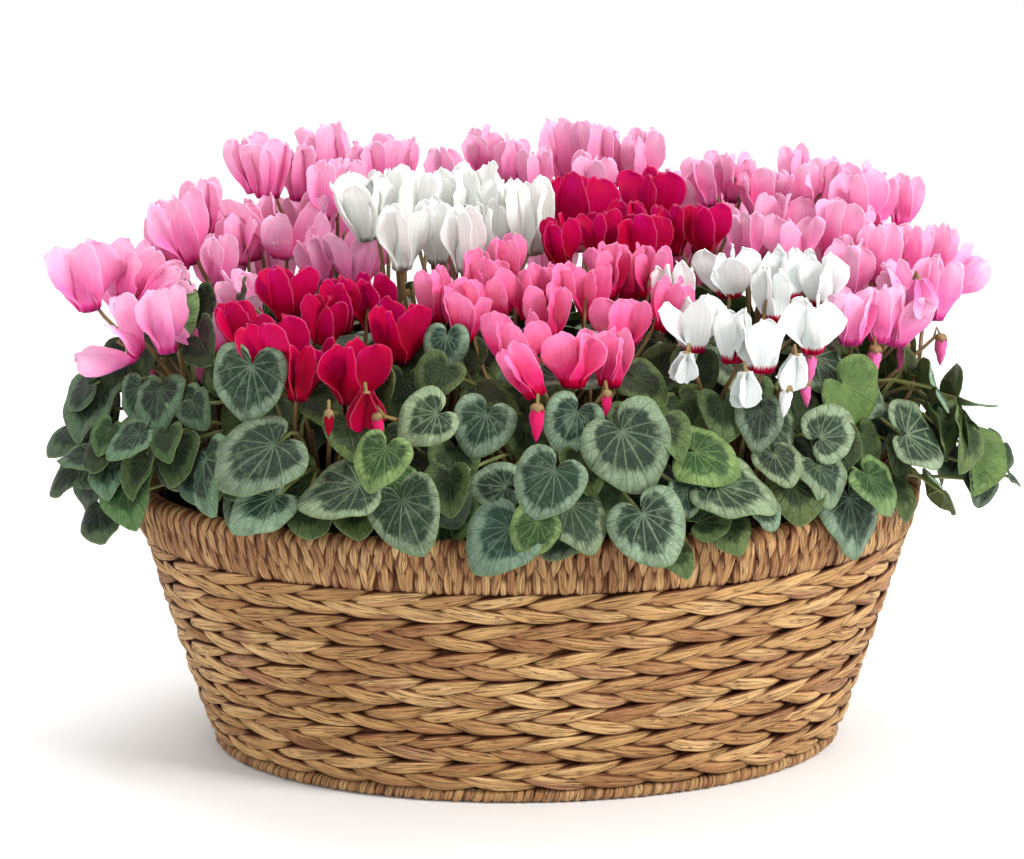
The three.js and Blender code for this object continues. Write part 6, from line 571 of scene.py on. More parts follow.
    [1, 11.23, -56.6, 228.55, 0, -0.034, 0.999, 27, 0.7, 0.09, 0, 0, -6.3, -7.27, 4.45, 1.05, 2.38, 8],
    [1, 27.55, -53.52, 226.51, 0, 0.116, 0.993, 27, 0.71, 4.02, 0, 0, 10.61, -7.51, -0.17, 2.58, 0.28, 8],
    [1, 36.29, -38.05, 234.45, 0, -0.131, 0.991, 27, 0.7, 4.08, 0, 0, 5.83, 6.18, 6, 1.12, 4.98, 8],
    [1, 47.74, -30.93, 232.32, 0, -0.016, 1, 27, 0.7, 2.51, 0, 0, 0, 0, 0, 3.17, 4, 8],
    [1, 57.73, -39.25, 233.66, 0.104, 0.011, 0.994, 27, 0.7, 5.05, 0, 0, 3.99, 5.36, 6, 4.59, 2.23, 8],
    [1, 40.8, -78, 215.95, 0, 0.12, 0.993, 27, 1.15, 4.31, 0, 0, -3.11, 10.14, 6, 1.53, -2.1, 8],
    [1, 15.92, -109.9, 205.73, 0, 0.1, 0.995, 27, 1.1, 1.78, 0, 0, 4.49, -2.63, 6, 1.15, -4.97, 8],
    [1, -1.21, -115.47, 203.1, -0.421, 0.133, 0.897, 27, 0.73, 4.98, 0, 0, 7.13, 4.34, 3.37, -1.12, -4.98, 8],
    [1, 32.96, -105.54, 205.56, 0.07, -0.073, 0.995, 27, 0.7, 6.25, 0, 0, 6.45, 5.99, -1.88, 4.6, -2.2, 8],
    [1, 61.4, -65.35, 223.32, 0.208, -0.036, 0.978, 27, 0.7, 3.09, 0, 0, 0.19, -9.69, 1.44, 5.1, 0.01, 8],
    [0, -119.32, -81.09, 204.91, -0.208, -0.035, 0.978, 31.27, 1.13, 1.2, 0, 0, 0, 0, 0, -0.85, -2.46, 8],
    [0, -88.3, -99.8, 196.6, 0, 0.12, 0.993, 30.31, 1.15, 3.57, 0, 0, 0, 0, 0, 1.8, -4.77, 8],
    [0, -118.46, -45.68, 225.57, -0.052, 0.146, 0.988, 27, 1.15, 4.23, 0, 0, -3.27, -8.73, 1.57, -1.7, 1.96, 8],
    [0, -100.76, -64.82, 216.07, 0, -0.109, 0.994, 27, 0.7, 5.42, 0, 0, 1.16, -4.37, 0.93, 0, 0, 8],
    [0, -92.05, -55.15, 221.68, -0.052, -0.099, 0.994, 27.4, 0.7, 3.59, 0, 0, 3.83, -11.55, 0.92, 0.85, 2.46, 8],
    [0, -77.24, -47.99, 221.16, 0, -0.084, 0.996, 27.88, 0.84, 4.35, 0, 0, 5.24, -0.47, 2.08, 2.55, 0.49, 8],
    [0, -64.44, -71.35, 210.8, 0, -0.084, 0.996, 29.44, 0.97, 0.54, 0, 0, 0, 0, 0, 1.7, -1.96, 8],
    [0, -112.04, -98.65, 198.68, 0.087, -0.009, 0.996, 27, 0.7, 5.87, 0, 0, -7.03, -4.12, 6, -3.24, -3.94, 8],
    [0, -135.64, -64.93, 215.01, -0.422, 0.048, 0.905, 27, 0.74, 0.55, 0, 0, 0.66, 1.9, -0.33, -2.55, -0.49, 8],
    [7, -149.05, 80.53, 226.32, -0.099, 0.048, 0.994, 31.09, 0.82, 1.53, 0, 0, 7.64, -0.63, 6, -0.26, -5.09, 8],
    [7, -118.28, 103.49, 232.19, -0.115, 0.217, 0.969, 32.45, 0.85, 2.85, 0, 0, 5.81, 6.74, 1.35, -2.32, 4.54, 8],
    [7, -87.68, 117.29, 228.07, -0.09, 0.191, 0.977, 29.27, 0.93, 5.05, 0, 0, -7.62, -1.7, 2.27, 1.15, 2.33, 8],
    [7, -61.83, 124.68, 236.89, -0.075, 0.24, 0.968, 32.99, 0.83, 1.95, 0, 0, 6.11, 4, 6, 4.54, 2.32, 8],
    [7, -99.55, 81.88, 238.98, -0.097, 0.075, 0.992, 32.17, 0.76, 5.41, 0, 0, -6.56, 4.83, 3.82, -2.59, -0.17, 8],
    [7, -44.82, 110.86, 243.43, -0.022, 0.11, 0.994, 29.81, 0.82, 1.47, 0, 0, 5.16, -5.96, 1.15, 5.09, -0.26, 8],
    [7, -127.64, 90.39, 210.86, -0.055, 0.053, 0.997, 29.76, 0.77, 5.05, 0, 0, 3.87, -4.53, 6, -4.54, -2.32, 8],
    [7, -78.93, 139.69, 214.01, -0.051, 0.073, 0.996, 33.37, 0.87, 2.57, 0, 0, -12.37, 3.13, 2.51, 2.77, 4.28, 8],
    [8, -24.95, 129.11, 230.65, -0.013, 0.122, 0.992, 30.74, 0.82, 2.7, 0, 0, -11.56, 2.4, 3.05, -1.57, 2.08, 8],
    [8, -1.3, 136.34, 223.66, 0.001, 0.245, 0.97, 33.97, 0.84, 0.06, 0, 0, 10.78, 8.43, -1.77, 1.9, 4.73, 8],
    [8, 10.68, 114.95, 239.57, 0.01, 0.087, 0.996, 29.51, 0.82, 2.03, 0, 0, -5.75, -5.98, 5.21, 2.58, 0.32, 8],
    [8, -37.46, 136.64, 212.64, -0.023, 0.238, 0.971, 29.81, 0.75, 4.45, 0, 0, -6.76, -4.02, 6, -3.15, 4.01, 8],
    [8, 19.32, 135.17, 204.74, 0.027, 0.177, 0.984, 29.73, 0.86, 5.19, 0, 0, -2.84, -0.2, 0.43, 4.01, 3.15, 8],
    [9, 37.22, 129.8, 227.31, 0.014, 0.176, 0.984, 33.89, 0.92, 4.99, 0, 0, -7.59, -2.74, 5.56, -4.29, 2.75, 8],
    [9, 59.94, 125.4, 233.93, 0.069, 0.114, 0.991, 30.83, 0.78, 6.26, 0, 0, 6.49, -4.47, 3.77, 2.75, 4.29, 8],
    [9, 47.57, 143.2, 216.2, 0.057, 0.172, 0.983, 32.9, 0.82, 3.71, 0, 0, -11.97, -1.9, 6, -2.34, 4.53, 8],
    [9, 79.83, 119.56, 239.86, 0.048, 0.215, 0.975, 33.92, 0.92, 5.4, 0, 0, -9.4, 2.25, 4.36, 5.09, -0.23, 8],
    [9, 88, 132, 218, 0.098, 0.213, 0.972, 32.7, 0.8, 1.93, 0, 0, 3.35, -0.23, 0.48, 4.53, 2.34, 8],
    [9, 38.73, 113.41, 245.32, 0.038, 0.139, 0.99, 29.14, 0.76, 0.04, 0, 0, 0, 0, 0, 0.44, 2.56, 8],
    [10, 99.2, 112.58, 233.08, 0.067, 0.103, 0.992, 32.46, 0.94, 1.6, 0, 0, -9.34, -2.5, 6, -5.09, 0.36, 8],
    [10, 125.38, 99.03, 227.5, 0.105, 0.197, 0.975, 33.94, 0.94, 3.32, 0, 0, 8.14, -0.95, 6, -2.6, 4.39, 8],
    [10, 148.1, 84.95, 220.33, 0.112, 0.069, 0.991, 30.13, 0.79, 4.06, 0, 0, -3.08, -2.8, 3.51, 4.04, 3.11, 8],
    [10, 116.16, 125.69, 205.32, 0.06, 0.167, 0.984, 33.5, 0.92, 4.31, 0, 0, 6.05, 13.28, -0.5, -4.34, 2.68, 8],
    [10, 161.06, 61.28, 211.48, 0.148, 0.094, 0.985, 33, 0.77, 4.22, 0, 0, 3.57, -11.17, -3.35, 1.47, -4.88, 8],
    [10, 134.8, 61.56, 238.36, 0.169, 0.141, 0.975, 32.91, 0.9, 3.07, 0, 0, 0, 0, 0, 1.3, -2.25, 8],
    [10, 84.05, 100.5, 242.85, 0.09, 0.087, 0.992, 32.95, 0.82, 4.12, 0, 0, 0.9, 6.29, 6, -4.67, -2.05, 8],
    [11, 182.18, 35.1, 210.48, 0.227, 0.06, 0.972, 30.98, 0.83, 5.77, 0, 0, 1.8, 14.87, 6, -3.73, 3.48, 8],
    [11, 168.45, 42, 228.75, 0.244, 0.077, 0.967, 29.85, 0.78, 4.28, 0, 0, 13.34, 10.24, 2.45, -1.36, 2.22, 8],
    [11, 205.56, 8.75, 212.63, 0.101, 0.011, 0.995, 33.03, 0.78, 0.82, 0, 0, 17.6, -14.67, 1.99, 4.58, 2.25, 8],
    [11, 157.33, 32.54, 239.29, 0.231, 0.068, 0.971, 32.29, 0.82, 3.58, 0, 0, -7.91, -3.2, 6, -2.6, -0.07, 8],
    [11, 178.29, -30.02, 207.75, 0.176, -0.008, 0.984, 29.07, 0.94, 1.34, 0, 0, 5.27, -8.82, 6, 4.45, -2.49, 8],
    [5, -199.26, 28.66, 213.25, -0.202, 0.036, 0.979, 33.67, 0.84, 4.25, 0, 0, 0, 0, 0, -4.06, 3.08, 8],
    [5, -183.54, 38.91, 205.64, -0.239, 0.082, 0.968, 30.06, 0.8, 2.78, 0, 0, 8.72, -10.42, 6, 2.37, 1.06, 8],
    [5, -176.15, -40.36, 209.65, -0.125, 0.006, 0.992, 31.93, 0.8, 2.01, 0, 0, -8.53, 5.97, 2.02, 2.11, -1.52, 8],
    [6, -154.36, 54.12, 217.33, -0.138, 0.053, 0.989, 33.55, 0.82, 4.3, 0, 0, 0, 0, 0, -1.74, 1.93, 8],
    [6, -176.97, 55.39, 231.09, -0.153, 0.077, 0.985, 33.52, 0.83, 2.23, 0, 0, 4.74, 0.43, 0.58, -4.99, 1.03, 8],
    [6, -138.77, 63.37, 235.83, -0.216, 0.106, 0.971, 31.66, 0.85, 2.36, 0, 0, -1.99, -1.08, 2.29, 0.8, 2.47, 8],
    [1, -2.83, -129.6, 184.75, 0.029, 0.058, 1, 17.86, 0.42, 1.54, 0, 1, 8.2, -4.93, -2.11, -3.17, -4, 8],
    [1, 29.29, -126.52, 195.77, 0.071, 0.106, 1, 12.22, 0.42, 2.08, 0, 1, -2.12, -6.1, 1.91, 3.19, -3.98, 8],
    [11, 130.64, -72, 196.59, 0.058, 0.101, 1, 17.63, 0.42, 0.75, 0, 1, -16.97, -7.31, -2.16, -4.98, -1.09, 8],
    [11, 128.44, -85.34, 189.56, -0.113, -0.008, 1, 13.61, 0.42, 3.41, 0, 1, -5.63, 15.61, 6, -4.92, 1.35, 8],
    [2, 113.29, -112.62, 191.24, 0.106, 0.036, 1, 15.74, 0.42, 6.09, 0, 1, 8.67, 2.58, 5.53, 2.97, -4.15, 8],
    [11, 165.2, -48, 194.58, 0.096, -0.093, 1, 17.44, 0.42, 4.4, 0, 1, 0, 0, 0, -1.93, -4.72, 8],
    [11, 206.93, -8, 192.59, -0.007, -0.061, 1, 16.4, 0.42, 3.25, 0, 1, 0, 0, 0, 5.1, -0.13, 8],
    [0, -97.64, -123.63, 187.32, 0.011, 0.018, 1, 12.23, 0.42, 5.19, 0, 1, 1.44, -7.55, 6, -0.83, -5.03, 8],
    [1, -74.16, -122.2, 184.82, -0.117, -0.068, 1, 13.21, 0.42, 5.02, 0, 1, 3.87, 7.69, 2.63, -4.59, -2.23, 8],
    [2, 95.98, -114, 197.88, -0.053, 0.1, 1, 15.67, 0.55, 2.01, 0, 2, 1.84, 1.59, -0.9, -2.11, -4.64, 8],
    [2, 117.94, -110.25, 205.05, 0.064, -0.082, 1, 16.16, 0.55, 3, 0, 2, 3.45, 6.26, -7.83, 4.64, -2.11, 8],
    [2, 67.12, -108, 208.26, 0.071, -0.087, 1, 13.77, 0.55, 3.01, 0, 2, 0, 0, 0, -4.15, -2.97, 8],
    [0, -80.74, -118.36, 189.45, 0.028, -0.09, 1, 17.93, 0.55, 0.85, 0, 2, 0.66, 4.11, -2.11, 3.94, -3.24, 8],
    [11, 191.55, -38.53, 224.79, -0.12, 0.089, 1, 17.94, 0.55, 5.57, 0, 2, 9.43, 15.21, 6, 2.79, -4.27, 8],
    [7, -96, 122, 196, -0.116, -0.114, 1, 19.89, 0.42, 2.17, 0, 1, 0, 0, 0, 0.26, 5.09, 8],
    [8, -5.12, 140.12, 188.18, 0.149, -0.084, 1, 19.77, 0.42, 0.05, 0, 1, 3.05, 14.04, 5.54, -0.72, 5.05, 8],
    [9, 55.62, 135.2, 195.03, 0.016, 0.071, 1, 15.23, 0.42, 3.82, 0, 1, -16.31, 3.02, 6, 0.23, 5.09, 8],
    [10, 131.44, 99.17, 196.75, 0.176, 0.076, 1, 19.8, 0.42, 2.45, 0, 1, 1.7, -9.06, 5.23, -0.26, 5.09, 8],
    [11, 185.64, -11.21, 190.52, 0.157, -0.08, 1, 16.17, 0.42, 0.61, 0, 1, -1.82, -7.95, 6, -1.24, -2.29, 8],
    [5, -186.71, 5.59, 185.76, -0.134, -0.142, 1, 14.39, 0.42, 0.82, 0, 1, -2.55, 8.52, 1.39, -2.11, 1.52, 8],
    [6, -148, 72, 194, -0.079, 0.041, 1, 14.02, 0.42, 0.76, 0, 1, 3.32, -3.05, -0.47, -1.6, 4.84, 8],
    [3, -59.61, 20.64, 212.68, 0.071, -0.065, 1, 15.86, 0.42, 0.78, 0, 1, 1.96, 12.03, 0.43, -0.85, 2.46, 8],
    [4, 60.97, 2.83, 212.41, 0.127, -0.008, 1, 15.89, 0.42, 4.84, 0, 1, -3.77, 4.86, 6, 2.2, -1.38, 8],
    [8, -39.82, 115.98, 207.02, -0.008, 0.082, 1, 14.34, 0.42, 4.46, 0, 1, -4.35, 1.54, -1.17, -2.58, -0.32, 8],
    [10, 93.41, 84.18, 214.09, 0.19, -0.191, 1, 18.5, 0.42, 4.41, 0, 1, -1.51, 14.29, 2.58, 0, 0, 8],
    [11, 167.35, 24.49, 206.45, 0.138, -0.193, 1, 18.73, 0.42, 2.23, 0, 1, 9.62, 1.49, 4.2, 1.24, 2.29, 8],
    [5, -161.72, -21.91, 190.26, -0.054, 0.031, 1, 14.05, 0.42, 1.37, 0, 1, -2.54, 9.89, 6, 0, 0, 8],
]

# One row per leaf: plant, middle x y z, tip direction, face direction, whole length, width, pattern, droop of the tip,
# droop of the sides, how far its stalk bows aside, where it starts on the crown.
LEAVES = [
    [5, -217.89, -10, 175.97, -0.505, -0.403, -0.763, -0.656, -0.396, 0.643, 32.7, 39.3, 2, 0.072, 0.077, -0.52, -1.39, -0.87, -7.6, 0.06, 2],
    [5, -221.15, -28.26, 157.3, -0.775, 0.617, -0.138, -0.234, -0.36, 0.938, 30.8, 24.9, 0, 0.12, 0.112, 11.53, 1.54, 6, -7.53, -1.06, 4.3],
    [5, -191.15, -43.29, 186.21, -0.187, -0.285, -0.94, -0.605, -0.721, 0.339, 24, 24, 0, 0.168, 0.117, 0, 0, 0, -5.88, -4.81, 4.3],
    [5, -180.83, -57.36, 188.08, -0.108, -0.657, -0.746, -0.558, -0.586, 0.623, 27.4, 25.6, 0, 0.143, 0.091, 3.9, -5.66, -0.2, -2.52, -7.17, 4.3],
    [5, -148.4, -43.29, 195.02, 0.115, -0.711, -0.694, -0.363, -0.551, 0.6, 23.5, 22.5, 4, 0.127, 0.099, 17.31, -1.28, 6, -0.5, -7.58, 4.3],
    [0, -167.56, -61.5, 190.26, 0.207, -0.842, -0.498, -0.337, -0.454, 0.713, 18, 17.1, 0, 0.2, 0.158, -5.42, 2.5, 2.48, -7.16, 2.55, 2],
    [0, -160.99, -72.72, 187.88, 0.34, -0.805, -0.485, -0.536, -0.61, 0.639, 18.9, 18, 0, 0.141, 0.108, 3.81, -1.38, 1.61, -7.57, -0.65, 4.3],
    [0, -175.02, -79.34, 173.59, -0.032, -0.676, -0.736, -0.517, -0.654, 0.595, 18, 17.1, 4, 0.073, 0.117, -7.93, 4.23, 0.43, -7.44, -1.54, 2],
    [5, -195.36, -66, 172.58, -0.872, -0.129, -0.473, -0.374, -0.45, 0.811, 23.5, 22.5, 2, 0.11, 0.063, 0, 0, 0, -4.37, -6.22, 4.3],
    [5, -207.25, -48, 169.68, -0.51, -0.207, -0.835, -0.574, -0.64, 0.51, 18, 17.1, 1, 0.113, 0.129, 0, 0, 0, -6.53, -3.9, 2],
    [5, -206.19, -44.97, 152.04, -0.164, -0.835, -0.526, -0.602, -0.429, 0.814, 28.2, 24.1, 2, 0.074, 0.16, 3.63, 1.15, 6, -6.96, -3.05, 4.3],
    [5, -196.15, -58, 143.65, -0.035, -0.756, -0.654, -0.552, -0.531, 0.643, 30.3, 31.5, 1, 0.177, 0.113, 0, 0, 0, -5.23, -5.51, 2],
    [0, -172.37, -74.43, 165.2, -0.187, -0.286, -0.94, -0.62, -0.708, 0.339, 25.4, 28.3, 4, 0.052, 0.149, 0, 0, 0, -7.58, 0.52, 2],
    [0, -157.1, -98.76, 163, 0.022, -0.849, -0.528, -0.815, -0.254, 0.547, 37.5, 27.2, 0, 0.176, 0.136, -6.59, 6.72, -2.74, -6.75, -3.49, 2],
    [5, -176.64, -5.7, 221.31, 0.341, 0.573, 0.745, -0.527, -0.435, 0.631, 33.5, 34.8, 1, 0.061, 0.161, -2.39, 5.92, 1.43, -6.98, 3.01, 4.3],
    [0, -149.35, -61.14, 204.54, -0.336, -0.605, -0.722, -0.54, -0.52, 0.729, 25, 27, 4, 0.145, 0.096, 5.57, 6.6, -2.53, -7.47, 1.42, 4.3],
    [0, -135.44, -94.07, 204.43, -0.187, -0.29, -0.938, -0.362, -0.947, 0.285, 35.7, 36.6, 0, 0.071, 0.151, -5.97, -7.49, 2.07, -5.56, -5.18, 2],
    [0, -133.28, -118.67, 176.56, -0.86, -0.283, -0.425, -0.188, -0.598, 0.779, 42, 42.4, 0, 0.114, 0.152, 0, 0, 0, -3.95, -6.49, 2],
    [0, -131.7, -118.54, 153.03, -0.867, -0.227, -0.444, -0.206, -0.689, 0.747, 31.8, 32.6, 2, 0.094, 0.154, 6.63, 2.42, -3.86, -2.91, -7.02, 4.3],
    [0, -75.22, -151.06, 180.64, -0.354, -0.28, -0.892, -0.329, -0.675, 0.477, 27.5, 28, 1, 0.07, 0.114, 4.86, 12.92, 4.77, 3.15, -6.92, 4.3],
    [0, -95.08, -134, 164.65, -0.976, 0.101, -0.191, -0.215, -0.553, 0.805, 39.1, 37.3, 0, 0.133, 0.171, 0.19, 1.15, 0.8, 1.17, -7.51, 4.3],
    [0, -101.97, -87.33, 193.23, 0.288, -0.879, -0.38, -0.221, -0.469, 0.798, 25.9, 24.1, 4, 0.098, 0.141, -9.63, -6.09, -0.41, -0.9, -7.55, 4.3],
    [0, -107.74, -122.67, 150.1, 0.09, -0.829, -0.553, -0.184, -0.559, 0.808, 23.9, 23.8, 4, 0.088, 0.17, 0, 0, 0, -0.01, -7.6, 2],
    [1, -61.51, -147.59, 154.14, 0.33, -0.535, -0.778, -0.219, -0.778, 0.48, 34.9, 33.2, 0, 0.084, 0.15, -6.72, -5.79, -1.5, -7.36, -1.91, 2],
    [0, -65.09, -132.33, 166.42, 0.695, -0.661, -0.281, -0.229, -0.566, 0.877, 23.5, 22.5, 1, 0.11, 0.143, 0.65, -6.53, 5.72, 4.9, -5.81, 4.3],
    [1, -54.91, -122.88, 193.32, -0.872, -0.122, -0.475, -0.16, -0.709, 0.512, 27.8, 28.2, 0, 0.138, 0.147, 1.83, -12.45, -3.26, -7.55, -0.86, 4.3],
    [1, -48.2, -103.55, 208.34, -0.643, -0.369, -0.671, -0.237, -0.712, 0.593, 24, 24, 4, 0.204, 0.155, 5.52, -2.99, -7.96, -7.5, 1.21, 4.3],
    [1, -43.45, -83.49, 218.9, -0.189, -0.487, -0.853, -0.318, -0.916, 0.437, 23.5, 22.5, 2, 0.131, 0.083, -5.93, 1.44, -10.98, -7.28, 2.19, 2],
    [1, -27.94, -121.33, 189.04, -0.355, -0.303, -0.885, 0.028, -1.016, 0.43, 28.2, 28.5, 0, 0.195, 0.09, -4.68, -10.94, 2.7, -5.3, -5.45, 2],
    [1, -20.74, -98.84, 199.95, 0.863, -0.447, -0.234, 0.048, -0.386, 0.729, 26.6, 23.5, 4, 0.205, 0.167, -4.92, -13.35, -11.98, -6.57, -3.82, 2],
    [1, 13.06, -123.62, 190.51, -0.434, -0.343, -0.833, 0.043, -0.932, 0.361, 27.6, 27.2, 2, 0.07, 0.168, 0, 0, 0, 1.37, -7.47, 4.3],
    [1, -6.07, -107.02, 181.5, -0.016, -0.339, -0.941, 0.053, -0.857, 0.386, 23.5, 22.5, 4, 0.205, 0.085, 6.35, -17.11, -6.87, -1.69, -7.41, 2],
    [1, -0.04, -152, 169.1, -0.481, -0.297, -0.825, 0, -0.941, 0.339, 31.8, 31.7, 0, 0.114, 0.16, 0, 0, 0, 0.37, -7.59, 2],
    [1, 20.06, -131.2, 170.96, 0.3, -0.531, -0.793, 0.094, -0.792, 0.575, 23.8, 23.5, 4, 0.101, 0.143, -1.14, -0.67, 0.57, 3.34, -6.83, 4.3],
    [1, -23.58, -134.65, 166.02, -0.992, 0.104, 0.076, -0.072, -0.938, 0.339, 23.5, 22.5, 0, 0.201, 0.059, 0, 0, 0, -3.63, -6.68, 2],
    [1, -22.35, -150.11, 142.94, -0.709, -0.314, -0.631, -0.197, -0.765, 0.533, 34.6, 35, 2, 0.056, 0.092, 5.89, -14.29, 6, -2.71, -7.1, 4.3],
    [1, -6.21, -155.22, 148.01, -0.433, -0.354, -0.829, 0.038, -0.995, 0.312, 23.5, 22.5, 1, 0.113, 0.089, -2.84, 5.55, 6, -0.69, -7.57, 4.3],
    [1, 16.34, -145.41, 151.46, 0.456, -0.495, -0.74, 0.148, -0.777, 0.611, 31.8, 30.9, 0, 0.189, 0.165, 0, 0, 0, 2.4, -7.21, 2],
    [1, 41.44, -140.58, 182.49, 0.521, -0.194, -0.831, 0.198, -0.92, 0.339, 40.4, 41.1, 0, 0.159, 0.1, 0, 0, 0, 5.06, -5.67, 4.3],
    [1, 50.58, -100.3, 204.99, 0.846, -0.282, -0.452, 0.116, -0.627, 0.74, 23.8, 23.5, 4, 0.108, 0.167, 6.25, 10.46, 0.62, 7.55, 0.89, 2],
    [2, 60.86, -74.96, 209.72, 0.506, 0.389, 0.77, 0.192, -0.921, 0.339, 23.5, 22.5, 4, 0.055, 0.142, 0, 0, 0, -6.81, -3.38, 4.3],
    [1, 58.76, -127.19, 185.95, 0.403, -0.677, -0.616, 0.078, -0.526, 0.721, 24, 22.7, 4, 0.087, 0.06, 11.59, 1.68, -2.04, 7.51, -1.18, 2],
    [1, 49.35, -149.08, 146.85, 0.457, -0.273, -0.847, -0.011, -0.869, 0.373, 34.8, 35, 0, 0.058, 0.121, 0.81, 1.72, -1.33, 5.8, -4.91, 2],
    [1, 66.75, -134.39, 158.53, 0.11, -0.737, -0.667, 0.152, -0.774, 0.677, 18.3, 17.4, 2, 0.154, 0.058, -6.46, 7.81, 3.03, 7.6, -0.18, 4.3],
    [2, 77.3, -132.42, 149.31, 0.89, 0.398, 0.221, 0.258, -0.761, 0.444, 23.5, 22.5, 4, 0.062, 0.11, -0.43, 7.61, 2.72, -4.38, -6.21, 4.3],
    [2, 91.7, -128.58, 161.46, 0.983, -0.068, -0.173, 0.121, -0.475, 0.872, 41.9, 38.9, 0, 0.126, 0.176, 0, 0, 0, -0.51, -7.58, 4.3],
    [2, 79.29, -124.34, 174.96, 0.936, -0.086, -0.341, 0.214, -0.616, 0.777, 31.5, 31.9, 1, 0.115, 0.154, 2.11, -1.95, -1.16, -3.45, -6.77, 2],
    [2, 86.38, -104.8, 190.08, -0.034, -0.735, -0.677, 0.18, -0.671, 0.72, 24.5, 25.5, 4, 0.166, 0.085, -1.49, -0.81, 1.83, -2.54, -7.16, 4.3],
    [2, 105.2, -122.22, 148.2, 0.46, -0.475, -0.75, 0.338, -0.687, 0.643, 18, 17.1, 0, 0.134, 0.111, 0, 0, 0, 0.57, -7.58, 2],
    [2, 112.54, -98.68, 179.89, 0.565, -0.079, -0.821, 0.347, -0.728, 0.356, 25.2, 26.8, 0, 0.054, 0.129, -2.73, -8.5, 6, 3.5, -6.74, 4.3],
    [2, 112.7, -112.25, 168.33, 0.389, -0.711, -0.586, 0.177, -0.575, 0.767, 23.6, 22.8, 0, 0.096, 0.084, 5.22, -10.12, 0.52, 2.6, -7.14, 2],
    [2, 140.12, -91.6, 180.23, 0.805, 0.486, 0.34, 0.331, -0.906, 0.36, 28.4, 27.1, 0, 0.087, 0.118, 4.57, -1.93, -1.37, 5.93, -4.75, 2],
    [2, 134.9, -104.86, 160.15, 0.427, -0.606, -0.671, 0.357, -0.569, 0.741, 25.2, 27.7, 0, 0.208, 0.177, 0, 0, 0, 5.19, -5.55, 4.3],
    [2, 121.05, -112.67, 152.01, 0.127, -0.636, -0.761, 0.277, -0.714, 0.643, 27.1, 28.9, 4, 0.051, 0.121, 0, 0, 0, 4.43, -6.18, 2],
    [2, 151.52, -92.19, 136.78, 0.248, -0.237, -0.939, 0.595, -0.729, 0.351, 36.2, 40.3, 0, 0.194, 0.149, -10.53, 7.78, 6, 6.5, -3.94, 4.3],
    [2, 153.33, -68.08, 189.98, 0.619, 0.086, -0.78, 0.535, -0.774, 0.339, 32.2, 34, 3, 0.1, -0.12, 0, 0, 0, 7.6, 0.01, 4.3],
    [11, 164.74, -49.14, 190.1, 0.81, 0.586, -0.006, 0.549, -0.64, 0.522, 35, 29.1, 2, 0.2, 0.14, -4.34, -11.21, -6.79, 2.47, -7.19, 2],
    [11, 189.53, -61.68, 167.98, 0.799, 0.495, -0.34, 0.592, -0.666, 0.528, 41.4, 37.4, 0, 0.185, 0.084, -10.91, 1.81, 5.8, 2.96, -7, 4.3],
    [2, 163.67, -91.26, 151.45, 0.752, -0.267, -0.603, 0.515, -0.37, 0.647, 28.5, 33.9, 1, 0.068, 0.053, -6.06, 9.78, 6, 7.32, -2.04, 4.3],
    [11, 198.71, -34.77, 189.8, 0.071, 0.993, -0.093, 0.944, -0.063, 0.534, 41.5, 28.5, 2, 0.187, 0.077, -5.76, -5.16, 2.19, 6.17, -4.44, 4.3],
    [11, 214.46, -12.32, 178.3, 0.059, 0.985, -0.162, 0.865, 0.031, 0.5, 39.3, 27.8, 3, 0.1, -0.12, 0, 0, 0, 7.58, -0.59, 4.3],
    [11, 227.66, -16.9, 145.56, 0.105, -0.761, -0.64, 0.616, -0.455, 0.643, 42.7, 39.1, 3, 0.1, -0.12, 0, 0, 0, 7.53, -1.06, 2],
    [11, 201.46, -44.78, 138.1, 0.046, 0.968, -0.245, 0.835, 0.091, 0.602, 36.4, 26.8, 0, 0.107, 0.14, -16.1, 12.1, 6, 4.74, -5.94, 4.3],
    [11, 215.47, -34.25, 159.33, -0.036, -0.77, -0.637, 0.531, -0.333, 0.462, 30.1, 28.1, 4, 0.187, 0.088, 10.41, 9.85, 2.78, 7.14, -2.61, 4.3],
    [11, 187.34, -22.18, 201.12, 0.023, 0.49, 0.872, 0.601, -0.586, 0.333, 18, 17.1, 4, 0.121, 0.098, 1.48, -11.18, -7.96, 6.96, -3.05, 2],
    [5, -186.86, -16.75, 205.74, -0.352, -0.429, -0.832, -0.875, -0.625, 0.67, 25.1, 27.2, 4, 0.164, 0.115, -11.91, -5.05, -1.33, -7.33, -1.99, 2],
    [5, -183.22, -3.13, 209.61, -0.659, 0.538, -0.526, -0.856, -0.438, 0.72, 23.9, 22.9, 4, 0.16, 0.097, -13.8, 1.23, -10.69, -7.3, 2.11, 2],
    [0, -123.76, -98.12, 165.33, -0.034, -0.729, -0.683, -0.387, -0.626, 0.686, 24.1, 24.4, 4, 0.17, 0.169, -2.18, -1.38, 1.91, -4.69, -5.98, 4.3],
    [0, -87.53, -119.99, 186.26, 0.117, -0.698, -0.707, -0.124, -0.668, 0.553, 23.7, 23.2, 4, 0.175, 0.164, 3.34, -13.7, -3.79, 3.94, -6.5, 2],
    [1, -40.12, -120.28, 171.12, -0.024, -0.508, -0.861, -0.044, -0.933, 0.625, 23.8, 23.5, 4, 0.218, 0.156, -9.77, -10.36, 3.23, -7.04, -2.87, 4.3],
    [0, -70.43, -116.26, 179.81, 0.283, -0.616, -0.735, -0.237, -0.714, 0.681, 23.5, 22.5, 4, 0.201, 0.09, 7.83, 5.21, 4.89, 5.55, -5.19, 2],
    [1, -8.21, -95.19, 191.96, -0.187, -0.577, -0.795, 0.017, -0.795, 0.59, 23.5, 22.5, 4, 0.194, 0.117, 3.73, -6.04, -0.74, -4.52, -6.11, 4.3],
    [1, 41, -117.29, 186.82, -0.187, -0.588, -0.787, 0.031, -0.884, 0.537, 23.5, 22.5, 4, 0.165, 0.055, 6.84, -11.5, -10.49, 6.91, -3.16, 2],
